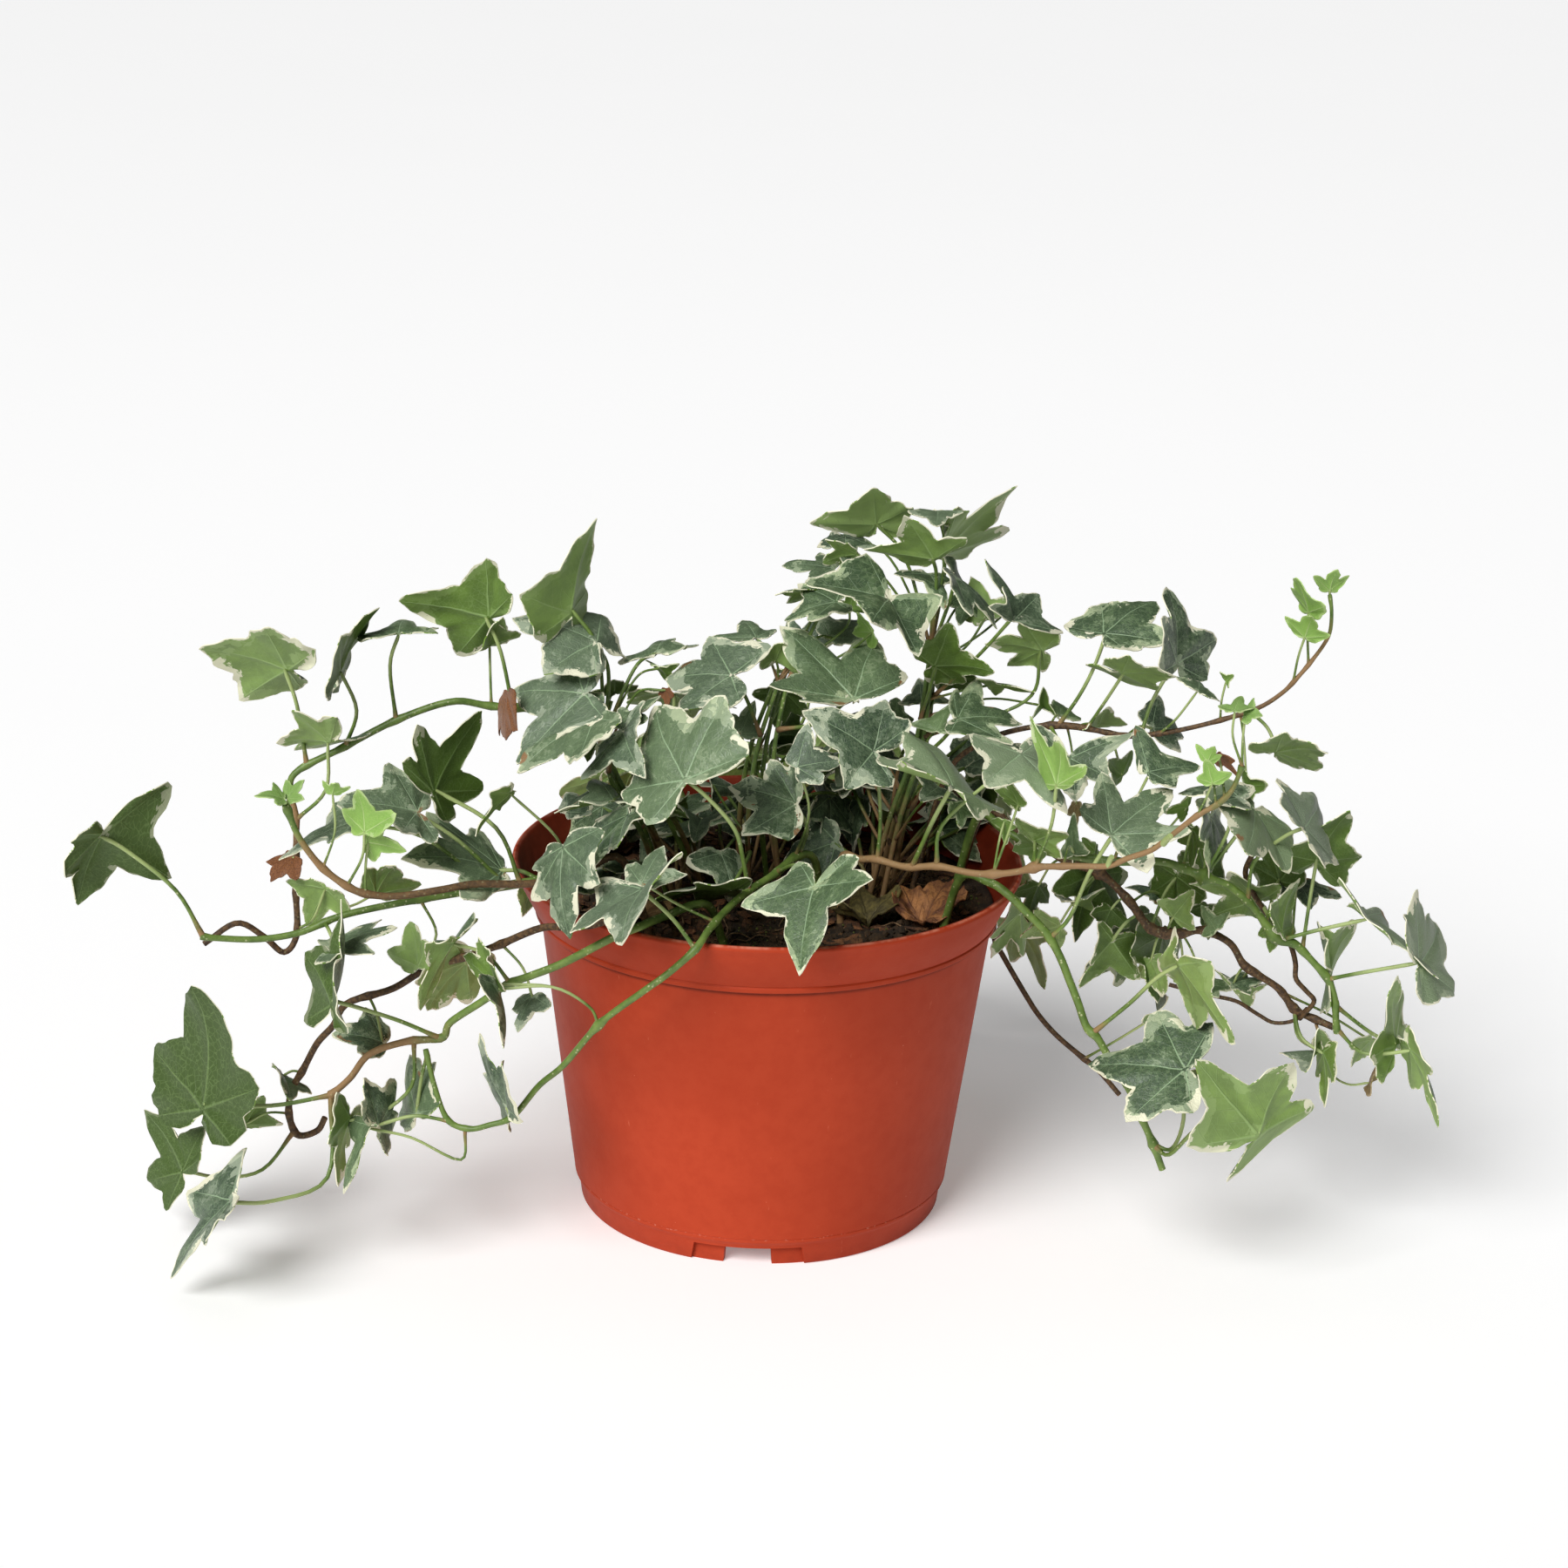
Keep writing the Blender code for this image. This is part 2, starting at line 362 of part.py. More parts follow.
stem("right_green_stem", (56, 2),
     [(62, 122, -2), (70, 118, -10), (80, 112.5, -16), (90, 110.5, -20), (104, 109, -24), (116.9, 109.4, -27),
      (123.6, 107.5, -28), (130.4, 104.9, -29), (137.1, 102.6, -30), (143.4, 97.9, -31), (147.6, 93.1, -31),
      (153.4, 85.8, -32), (158.2, 84.5, -32), (161, 82.4, -32), (165.4, 77.9, -33), (169.8, 72.9, -33),
      (172.2, 66.5, -33), (173, 60, -33), (173.7, 55.7, -33)],
     (1.5, 1.0),
     [leaf("top", -38, (179.1, 93.6), [(170, 107), (186, 89), (200, 78), (181, 94)], [(154, 85.5), (166, 89)]),
      leaf("top", -44, (196.6, 78.7), [(189.5, 90), (191.7, 102), (200.5, 93), (208, 72), (201, 65)],
           [(170, 73), (180, 75.6)]),
      leaf("under", -40, (195.9, 51.5), [(192, 54), (198, 38.2), (207, 26), (200, 48)],
           [(173, 57), (180.8, 50), (188, 49.3)]),
      leaf("under", -30, (191.5, 52), [(184, 48), (190, 75.5), (193, 70)], [(172.5, 64), (184, 56)]),
      leaf("under", -31, (170, 76), [(165, 92), (176.5, 92), (168, 62)], [(168, 75)]),
      leaf("top", -36, (111.8, 137.4), [(106.3, 135.5), (107, 152), (127.3, 139.6), (120.6, 133.1)],
           [(104, 109), (107, 124)]),
      leaf("top", -30, (144, 126.6), [(135, 136.5), (129, 131), (142, 112), (156.3, 107.4), (156.3, 120)],
           [(130, 105), (137, 115)]),
      leaf("top", -38, (159.2, 121.1), [(159, 132.6), (150.5, 136.3), (166, 122), (169.4, 110.2)],
           [(144, 98), (145, 110), (153, 118)]),
      leaf("under", -22, (163.1, 111), [(171.9, 103), (176.9, 112.1), (172, 127.5), (150, 113), (156.5, 107)],
           [(161, 82), (162.3, 98)]),
      leaf("under", -26, (124, 127), [(124, 131), (117, 125), (122, 122)], [(112, 109), (119, 120)]),
      leaf("under", -20, (147, 98), [(148, 92), (134, 93.5), (125.8, 104.4), (138, 107)], [(152, 88)]),
      leaf("under", -36, (154.5, 88), [(150, 97), (157.5, 105.3), (158, 90)], [(152, 88)])])

stem("right_brown_stem", (58, 16),
     [(64, 124, 10), (75, 117, 5), (90, 108.5, 0), (99.5, 105, -2), (108.4, 96.6, -5), (115.4, 88, -8),
      (124, 86.5, -10), (131, 87.8, -12), (139.4, 83.9, -14), (143.9, 77.2, -16), (148.8, 73.8, -17),
      (155.2, 69.5, -18), (160.3, 63.1, -19), (165.2, 60.4, -20), (168, 58, -20)],
     (1.3, 0.9),
     [leaf("under", -4, (92, 96), [(86, 99), (97, 91), (101, 101)], [(99, 105)]),
      leaf("under", -8, (104, 84), [(98, 76), (94.8, 68.2), (113, 71)], [(112, 92)]),
      leaf("under", -4, (88, 88), [(80, 92), (76, 84), (88, 80)], [(98, 104), (92, 96)]),
      leaf("under", -12, (122, 92), [(117, 98), (128, 101), (129, 88)], [(120, 87)]),
      leaf("under", -2, (116, 78), [(112, 72), (121, 66), (123, 76)], [(118, 87)]),
      leaf("top", -20, (135, 88), [(139, 94), (130, 96), (131, 86)], [(133, 87)]),
      leaf("under", -8, (143, 71), [(135, 75.5), (146, 63.5), (151.5, 70.5)], [(147, 75)]),
      leaf("under", -22, (169, 50), [(156, 49), (164.5, 43), (168, 57)], [(160, 63), (162, 54)]),
      leaf("under", -28, (170, 49.5), [(168, 41), (171, 31), (174, 52)], [(160, 64), (163, 54)]),
      leaf("top", -24, (184.5, 38.5), [(188, 39.5), (187, 47), (180.5, 42)], [(166, 59), (172, 45), (178, 40)]),
      leaf("under", -14, (186, 54), [(181, 50), (186, 46), (190, 55)], [(156, 69), (170, 62), (180, 56)])])

stem("right_upper_stem", (44, 8),
     [(52, 134, 8), (62, 145, 6), (75, 150, 4), (88, 151, 2), (104, 148.5, -1), (114.5, 149.4, -3),
      (127.3, 152.5, -5), (141.9, 157.6, -7), (149.3, 162.6, -8), (153.5, 167.4, -9), (157.1, 172.3, -9),
      (160.6, 177.8, -10), (162.2, 182, -10), (162.2, 188, -10), (161.3, 193, -10)],
     (1.2, 0.7),
     [leaf("top", 2, (96.7, 179.5), [(84.6, 181), (95, 189.4), (111, 190.9), (115.6, 177.6), (103, 174.2)],
           [(85.8, 151), (90, 160), (94, 169)]),
      leaf("under", -8, (102.2, 167.6), [(97, 172), (104.2, 173), (118.1, 166), (108.6, 162), (91.6, 169)],
           [(94, 150), (98, 159)]),
      leaf("top", 4, (118.2, 170.9), [(126, 166), (128.4, 178.7), (114.3, 195.3), (112.4, 184)],
           [(108, 149), (112, 160)]),
      leaf("top", -10, (124.8, 162.7), [(118, 167), (125, 166), (131.5, 160)], [(115, 149.5), (119, 154)]),
      leaf("top", 10, (112, 151), [(104, 157), (113, 160.5), (122, 150), (121, 143.6)], [(105, 148.5)]),
      leaf("top", 14, (85, 154), [(79, 157), (84, 159), (91, 153)], [(82, 150.5)]),
      leaf("under", 6, (96, 151), [(92, 150), (99, 157.5), (105, 152)], [(90, 150.5)]),
      leaf("top", -14, (88, 141), [(76.3, 152), (82, 132), (91, 128), (100, 135), (105.8, 149.4)],
           [(83, 151), (85, 146)]),
      leaf("under", -10, (161, 194.4), [(155.9, 198.8), (162.9, 201), (166.3, 198.9)], [(161.3, 192)]),
      leaf("under", -12, (155.7, 187.6), [(149.7, 194.5), (150.8, 198.3), (160.1, 189.4)], [(156, 172), (155.8, 180)]),
      leaf("under", -14, (155, 180), [(148.7, 185.7), (156.8, 187), (162, 180.3)], [(152, 166), (153.5, 174)]),
      leaf("under", -6, (133, 166), [(131, 169), (135, 168), (134, 164)], [(131, 153.5), (132, 160)]),
      leaf("under", -12, (149, 144.7), [(140.4, 145.5), (150.9, 150.5), (164.6, 146), (163, 140), (156, 139.5)],
           [(141, 157), (146, 152)])])


def leaf_shape(row):
    """A leaf's place: its stalk point, its five lobe tips, its upward direction and its length.

    The five lobes of a flat leaf fix how it lies: what it loses in the seen length it has in depth.
    Of the two tilts that look alike from the front, the one whose upper side sees more sky is taken.
    """
    base = seen_at(*row["base"], row["depth"])
    reach = (base - EYE).dot(-TO_VIEWER)
    known = {3: [1, 2, 3], 4: [0, 1, 2, 3], 5: [0, 1, 2, 3, 4]}[len(row["lobes"])]
    seen = []
    for across, up in row["lobes"]:
        sight = seen_at(across, up) - EYE
        spread = EYE + sight * (reach / sight.dot(-TO_VIEWER)) - base
        seen.append((spread.dot(VIEW_RIGHT), spread.dot(VIEW_UP)))
    flat = np.linalg.lstsq(LOBES[known], np.array(seen), rcond=None)[0].T
    _, (length, narrow), turns = np.linalg.svd(flat)
    lean = math.sqrt(length ** 2 - narrow ** 2) * turns[1]
    choices = []
    for side in (1, -1):
        first, second = (VIEW_RIGHT * flat[0][k] + VIEW_UP * flat[1][k] + TO_VIEWER * side * lean[k] for k in (0, 1))
        up = first.cross(second).normalized()
        if (up.dot(TO_VIEWER) > 0) != (row["face"] == "top"):
            up = -up
        choices.append((up.z, side, up))
    _, side, up = max(choices)
    tips = []
    for k, lobe in enumerate(LOBES):
        x, y = seen[known.index(k)] if k in known else flat @ lobe
        place = base + VIEW_RIGHT * x + VIEW_UP * y
        near = side * float(lean @ lobe)
        tips.append(EYE + (place - EYE) * (1 - near / reach))
    return base, tips, up, length


def blade(name, base, tips, up, length):
    """A thin leaf with pointed lobes and a raised midrib. A small one has no lobes by its stalk."""
    arms = [tip - base for tip in tips]
    middle = arms[2]
    outline = [base - middle * 0.05]
    for basal, lateral in ((arms[0], arms[1]), (arms[4], arms[3])):
        half = [base + lateral, base + lateral * DEEP_CUT[1] + middle * DEEP_CUT[0]]
        if length > SMALL_LEAF:
            half = [base + basal, base + basal * SHALLOW_CUT[0] + lateral * SHALLOW_CUT[1], *half]
        outline += [*half, base + middle] if basal is arms[0] else half[::-1]
    count = len(outline)
    tip = count // 2
    hub = base + middle * 0.07 + up * length * 0.01
    rib = base + middle * 0.5 + up * length * 0.05
    top = [*outline, hub, rib]
    faces = []
    for k in range(count):
        nearest = count + 1 if k in (tip - 1, tip) else count
        faces.append((k, (k + 1) % count, nearest))
    faces += [(count, tip - 1, count + 1), (count, count + 1, tip + 1)]
    if length <= SMALL_LEAF:
        top, faces = outline + [rib], [(k, (k + 1) % count, count) for k in range(count)]
    return thick_sheet(name, top, faces, up)


def thick_sheet(name, top, faces, up):
    """A closed sheet of even thickness below an open one, split into triangles alike on both sides."""
    facing = [[] for _ in top]
    for a, b, c in faces:
        normal = (top[b] - top[a]).cross(top[c] - top[a]).normalized()
        for v in (a, b, c):
            facing[v].append(normal)
    mean = [sum(normals, Vector()) / len(normals) for normals in facing]
    side = 1 if sum(n.dot(up) for n in mean) > 0 else -1
    under = [point - n.normalized() * side * BLADE_THICKNESS / max(n.length, FOLD_LIMIT)
             for point, n in zip(top, mean)]
    count = len(top)
    below = [tuple(v + count for v in reversed(face)) for face in faces]
    edges = {}
    for face in faces:
        for a, b in zip(face, face[1:] + face[:1]):
            edges[frozenset((a, b))] = None if frozenset((a, b)) in edges else (a, b)
    walls = []
    for a, b in filter(None, edges.values()):
        walls += [(b, a, a + count), (b, a + count, b + count)]
    return mesh_object(name, top + under, faces + below + walls)


def stalk_route(line, row, base, up, middle):
    """A leaf stalk's line, from inside its stem to just inside the blade."""
    first = row["via"][0]
    spots = [a.lerp(b, k / 8) for a, b in zip(line, line[1:]) for k in range(8)]
    start = min(spots, key=lambda spot: (seen_at(*first, spot.y) - spot).length)
    between = []
    rest = row["via"][1:]
    for k, place in enumerate(rest, 1):
        depth = start.y + (row["depth"] - start.y) * k / (len(rest) + 1)
        between.append(seen_at(*place, depth))
    if not between:
        between.append((start + base) / 2 + Vector((0.0, 0.0, 0.12 * (base - start).length)))
    return smooth_route([start, *between, blade_root(base, up, middle)], 1 + len(between))


def blade_root(base, up, middle):
    """Where a stalk ends, inside the blade's thickness."""
    return base + middle * 0.04 - up * BLADE_THICKNESS * 0.5


def join(name, pieces):
    """One closed body from pieces that reach into each other."""
    body = pieces[0]
    others = bpy.data.collections.new(name + "_pieces")
    for piece in pieces[1:]:
        others.objects.link(piece)
    union = body.modifiers.new("join", "BOOLEAN")
    union.operation = "UNION"
    union.operand_type = "COLLECTION"
    union.collection = others
    union.solver = SOLVER
    bpy.context.view_layer.update()
    seen_mesh = body.evaluated_get(bpy.context.evaluated_depsgraph_get())
    mesh = bpy.data.meshes.new_from_object(seen_mesh)
    body.modifiers.clear()
    body.data = mesh
    for piece in pieces[1:]:
        bpy.data.objects.remove(piece)
    bpy.data.collections.remove(others)
    body.name = name
    mesh.name = name
    return body


def leafy_stem(plant):
    """A stem with its leaves, from its foot in the soil to its tip."""
    x, y = plant["root"]
    route = [Vector((x, y, SOIL_TOP + 2)), *(seen_at(*point) for point in plant["route"])]
    line = [Vector((x, y, SOIL_TOP - HOLE_DEPTH + 3)), *smooth_route(route, len(route) + 1)]
    pieces = [tube(plant["name"], line, *plant["thick"], STEM_SIDES)]
    for k, row in enumerate(plant["leaves"]):
        base, tips, up, length = leaf_shape(row)
        title = "%s_%02d" % (plant["name"], k)
        pieces.append(blade(title, base, tips, up, length))
        small = 0.85 if length < SMALL_LEAF else 1.0
        route = stalk_route(line, row, base, up, tips[2] - base)
        pieces.append(tube(title + "_stalk", route, STALK_RADIUS * small, STALK_END, STALK_SIDES))
    return pieces


def grown_leaf(base, along, up, length):
    """A leaf placed by rule: its tips, spread flat round its own direction."""
    along = (along - up * up.dot(along)).normalized()
    across = along.cross(up)
    tips = [base + (across * x + along * y) * length - up * length * 0.12 * (x * x + y * y) for x, y in LOBES]
    return base, tips, up, length


def back_stem(name, azimuth, start, drop, sway, count, seed):
    """A stem that nobody saw: it leaves the pot at the back and hangs down behind it. Its first
    leaves stand up over the soil, and the others hang outside the pot and face away from it."""
    draw = random.Random(seed)
    out = Vector((math.cos(azimuth), math.sin(azimuth), 0.0))
    side = Vector((-out.y, out.x, 0.0))
    rise = Vector((0.0, 0.0, 1.0))
    rim = out * (RIM_RADIUS + 3.5) + rise * (POT_HEIGHT + 4)
    ground = Vector((*start, SOIL_TOP + 2))
    route = [ground, (ground + rim) / 2 + rise * 12, rim, rim + out * 14 + side * sway - rise * 12,
             rim + out * 20 - rise * drop * 0.5, rim + out * 17 - side * sway - rise * drop]
    line = [ground - rise * (HOLE_DEPTH - 1), *smooth_route(route, 11)]
    pieces = [tube(name, line, 1.4, 0.9, STEM_SIDES)]
    spots = [a.lerp(b, k / 8) for a, b in zip(line[1:], line[2:]) for k in range(8)]
    for k in range(count):
        spot = spots[int(10 + 77 * k / (count - 1))]
        hand = 1 if k % 2 else -1
        if spot.xy.length < RIM_RADIUS - 6:
            base = spot + rise * draw.uniform(20, 28) + side * hand * draw.uniform(5, 9)
            up = (rise + out * 0.4 + side * hand * 0.3).normalized()
            along = out * 0.8 + side * hand * draw.uniform(0.6, 1.2)
        else:
            base = spot + out * draw.uniform(9, 14) + side * hand * draw.uniform(9, 15) + rise * draw.uniform(-3, 5)
            up = (out + rise * 0.35 + side * hand * 0.25).normalized()
            along = side * hand * draw.uniform(0.5, 1.0) - rise
        base, tips, up, length = grown_leaf(base, along, up, draw.uniform(22, 28))
        pieces.append(blade("%s_%02d" % (name, k), base, tips, up, length))
        bend = (spot + base) / 2 + side * hand * 3
        end = blade_root(base, up, tips[2] - base)
        pieces.append(tube("%s_%02d_stalk" % (name, k), smooth_route([spot, bend, end], 2),
                           STALK_RADIUS, STALK_END, STALK_SIDES))
    return join(name, pieces)


def cut(body, cutter, title):
    """Takes a cutter away from a body and removes the cutter."""
    step = body.modifiers.new(title, "BOOLEAN")
    step.operation = "DIFFERENCE"
    step.object = cutter
    step.solver = "EXACT"
    bpy.context.view_layer.update()
    mesh = bpy.data.meshes.new_from_object(body.evaluated_get(bpy.context.evaluated_depsgraph_get()))
    body.modifiers.clear()
    body.data = mesh
    bpy.data.objects.remove(cutter)


def ring_piece(name, near, far, low, high, middle, width):
    """A cutter: a stretch of a ring round the pot's axis, middle being its azimuth."""
    half = width / (near + far)
    verts = []
    faces = []
    steps = 4
    for k in range(steps + 1):
        turn = middle + half * (2 * k / steps - 1)
        for r, z in ((near, low), (far, low), (far, high), (near, high)):
            verts.append(Vector((r * math.cos(turn), r * math.sin(turn), z)))
    for k in range(steps):
        for i in range(4):
            j = (i + 1) % 4
            faces.append((4 * k + i, 4 * k + j, 4 * k + 4 + j, 4 * k + 4 + i))
    faces += [(0, 1, 2, 3), tuple(range(4 * steps, 4 * steps + 4))]
    return mesh_object(name, verts, faces)


def make_pot():
    """The pot: beaded rim, flared collar, tapered wall, floor and slotted foot ring."""
    collar_foot = POT_HEIGHT - COLLAR_DEPTH
    outer = [(FOOT_RADIUS, 0.0), (FOOT_RADIUS + 0.7, FOOT_HEIGHT),
             (BODY_LOW_RADIUS, BODY_LOW_HEIGHT), (BODY_TOP_RADIUS, collar_foot),
             (COLLAR_LOW_RADIUS, collar_foot + 0.4), (COLLAR_LOW_RADIUS + 0.3, collar_foot + 1.8),
             (COLLAR_TOP_RADIUS, POT_HEIGHT - RIM_BEAD), (RIM_RADIUS, POT_HEIGHT - RIM_BEAD * 0.7),
             (RIM_RADIUS, POT_HEIGHT - 0.6), (RIM_RADIUS - 0.8, POT_HEIGHT)]
    inner = [(RIM_RADIUS - WALL - 0.8, POT_HEIGHT), (RIM_RADIUS - WALL - 1.3, POT_HEIGHT - 1.0),
             (COLLAR_LOW_RADIUS - WALL, collar_foot + 1.0), (BODY_TOP_RADIUS - WALL, collar_foot - 1.0),
             (BODY_LOW_RADIUS - WALL - 0.6, FLOOR_HEIGHT + FLOOR_THICKNESS + 3.0),
             (BODY_LOW_RADIUS - WALL - 3.0, FLOOR_HEIGHT + FLOOR_THICKNESS)]
    under = [(CENTRE_FOOT, 0.0), (CENTRE_FOOT + 0.5, FLOOR_HEIGHT),
             (FOOT_RADIUS - FOOT_WIDTH, FLOOR_HEIGHT), (FOOT_RADIUS - FOOT_WIDTH, 0.0)]
    pot = turned_vessel("pot", [*outer, *inner], under, POT_SIDES)
    for degrees in SLOT_AZIMUTHS:
        azimuth = math.radians(degrees)
        cut(pot, ring_piece("slot", FOOT_RADIUS - FOOT_WIDTH - 3, FOOT_RADIUS + 4, -2.0, SLOT_HEIGHT,
                            azimuth, SLOT_WIDTH), "slot")
        cut(pot, ring_piece("recess", FOOT_RADIUS - RECESS_DEPTH, FOOT_RADIUS + 4, -2.0, RECESS_HEIGHT,
                            azimuth, RECESS_WIDTH), "recess")
        bpy.ops.mesh.primitive_cylinder_add(vertices=8, radius=DRAIN_RADIUS * MM, depth=12 * MM,
                                            location=(DRAIN_RING * math.cos(azimuth) * MM,
                                                      DRAIN_RING * math.sin(azimuth) * MM,
                                                      (FLOOR_HEIGHT + 1.0) * MM))
        cut(pot, bpy.context.object, "drain")
    return pot


def turned_vessel(name, rings, under, sides):
    """A cup turned round the axis: its wall outline, the middle of its floor, then its underside."""
    verts = []
    faces = []
    outline = [*rings, *under]
    floor_ring = len(rings) - 1
    for k in range(sides):
        turn = 2 * math.pi * k / sides
        verts += [Vector((r * math.cos(turn), r * math.sin(turn), z)) for r, z in outline]
    count = len(outline)
    top_centre = len(verts)
    verts.append(Vector((0.0, 0.0, rings[-1][1])))
    low_centre = len(verts)
    verts.append(Vector((0.0, 0.0, under[0][1])))
    for k in range(sides):
        nxt = (k + 1) % sides
        for i in range(count):
            j = (i + 1) % count
            if i == floor_ring:
                faces.append((k * count + i, nxt * count + i, top_centre))
                faces.append((nxt * count + j, k * count + j, low_centre))
            else:
                faces.append((k * count + i, nxt * count + i, nxt * count + j, k * count + j))
    return mesh_object(name, verts, faces)


def soil_height(x, y):
    """The lumpy top of the soil, a little lower in the middle."""
    far = math.hypot(x, y) / COLLAR_LOW_RADIUS
    lumps = math.sin(x * 0.21 + 1.3) * math.sin(y * 0.17 + 0.4) + 0.5 * math.sin(x * 0.47 - y * 0.39)
    return SOIL_TOP - SOIL_DISH * (1 - far ** 2) + SOIL_LUMP * lumps * (1 - far ** 4)


def make_soil(plants_at):
    """The soil that fills the pot, with a plain hole for every stem."""
    low = FLOOR_HEIGHT + FLOOR_THICKNESS + SEAT_GAP
    wall = [(BODY_LOW_RADIUS - WALL - 3.0 - SEAT_GAP * 2, low),
            (BODY_LOW_RADIUS - WALL - 0.6 - SEAT_GAP * 1.5, low + 3.0),
            (BODY_TOP_RADIUS - WALL - SEAT_GAP * 1.5, POT_HEIGHT - COLLAR_DEPTH - 1.0),
            (COLLAR_LOW_RADIUS - WALL - SEAT_GAP, POT_HEIGHT - COLLAR_DEPTH + 1.0)]
    edge = wall[-1][0] + 0.6
    wall.append((edge, SOIL_TOP))
    radii = [edge * share for share in (0.8, 0.6, 0.4, 0.2)]
    verts = [Vector((0.0, 0.0, low))]
    faces = []
    sides = SOIL_SIDES
    rings = [*wall, *((r, None) for r in radii)]
    for r, z in rings:
        for k in range(sides):
            turn = 2 * math.pi * k / sides
            x, y = r * math.cos(turn), r * math.sin(turn)
            verts.append(Vector((x, y, soil_height(x, y) if z is None else z)))
    verts.append(Vector((0.0, 0.0, soil_height(0.0, 0.0))))
    last = len(verts) - 1
    for k in range(sides):
        nxt = (k + 1) % sides
        faces.append((0, 1 + nxt, 1 + k))
        for i in range(len(rings) - 1):
            a, b = 1 + i * sides, 1 + (i + 1) * sides
            faces.append((a + k, a + nxt, b + nxt))
            faces.append((a + k, b + nxt, b + k))
        top = 1 + (len(rings) - 1) * sides
        faces.append((top + k, top + nxt, last))
    soil = mesh_object("soil", verts, faces)
    for x, y, radius in plants_at:
        bpy.ops.mesh.primitive_cylinder_add(vertices=6, radius=(radius + HOLE_CLEARANCE) * 1.15 * MM,
                                            depth=(HOLE_DEPTH + 20) * MM,
                                            location=(x * MM, y * MM, (SOIL_TOP + 10 - HOLE_DEPTH / 2) * MM))
        cut(soil, bpy.context.object, "hole")
    return soil


def fallen_leaf(name, place, heading, length, seed):
    """A dry leaf that lies on the soil, with its tips curled up a little."""
    draw = random.Random(seed)
    turn = math.radians(heading)
    along = Vector((math.cos(turn), math.sin(turn), 0.0))
    across = Vector((-along.y, along.x, 0.0))
    flat = [(across * x + along * y) * length for x, y in LOBES]
    spots = [Vector((*place, 0.0)) + arm * share for arm in flat for share in (0.0, 0.35, 0.7, 1.0)]
    level = max(soil_height(spot.x, spot.y) for spot in spots) + BLADE_THICKNESS + SEAT_GAP
    base = Vector((*place, level))
    tips = [base + arm + Vector((0.0, 0.0, draw.uniform(0.05, 0.16) * length)) for arm in flat]
    return blade(name, base, tips, Vector((0.0, 0.0, 1.0)), length)


def paint(piece, name, colour, roughness):
    """A plain surface of one colour."""
    surface = bpy.data.materials.get(name) or bpy.data.materials.new(name)
    surface.use_nodes = True
    shader = surface.node_tree.nodes["Principled BSDF"]
    shader.inputs["Base Color"].default_value = (*colour, 1.0)
    shader.inputs["Roughness"].default_value = roughness
    piece.data.materials.clear()
    piece.data.materials.append(surface)


TERRACOTTA = (0.58, 0.07, 0.025)
EARTH = (0.03, 0.018, 0.01)
LEAF_GREEN = (0.09, 0.19, 0.08)
DRY_BROWN = (0.25, 0.11, 0.05)
BACK_STEMS = [("back_left_stem", math.radians(124), (-20, 38), 56, 5, 7, 3),
              ("back_stem", math.radians(89), (8, 46), 62, -4, 7, 6),
              ("back_right_stem", math.radians(52), (32, 38), 58, 5, 7, 8)]
FALLEN_LEAVES = [("fallen_leaf_1", (46, -14), 55, 17, 1), ("fallen_leaf_2", (29, -12), 335, 16, 2),
                 ("fallen_leaf_3", (-36, -19), 62, 13, 4)]


def build():
    """Builds every piece of the potted ivy."""
    for old in list(bpy.data.objects):
        bpy.data.objects.remove(old)
    holes = []
    for plant in STEMS:
        body = join(plant["name"], leafy_stem(plant))
        paint(body, "ivy_green", LEAF_GREEN, 0.45)
        holes.append((*plant["root"], plant["thick"][0]))
    for row in BACK_STEMS:
        paint(back_stem(*row), "ivy_green", LEAF_GREEN, 0.45)
        holes.append((*row[2], 1.4))
    for row in FALLEN_LEAVES:
        paint(fallen_leaf(*row), "dry_leaf", DRY_BROWN, 0.8)
    paint(make_soil(holes), "potting_soil", EARTH, 0.95)
    pot = make_pot()
    paint(pot, "terracotta_plastic", TERRACOTTA, 0.5)
    pot.data.shade_smooth()
    pot.data.set_sharp_from_angle(angle=math.radians(30))


build()
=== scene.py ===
# %% [markdown]
# # A variegated ivy in a round plastic grower's pot
#
# This lesson dresses a measured model of a potted ivy. The measured model gives every piece its size
# and place, but its leaves are folded flats and its stems have four sides. Here each of them is
# replaced by a finer piece in the same place, and every surface gets a finish of its own.
# All sizes are in millimetres, and MM turns them into Blender's metres.

import math
import random

import bpy
import numpy as np
from mathutils import Matrix, Vector, noise


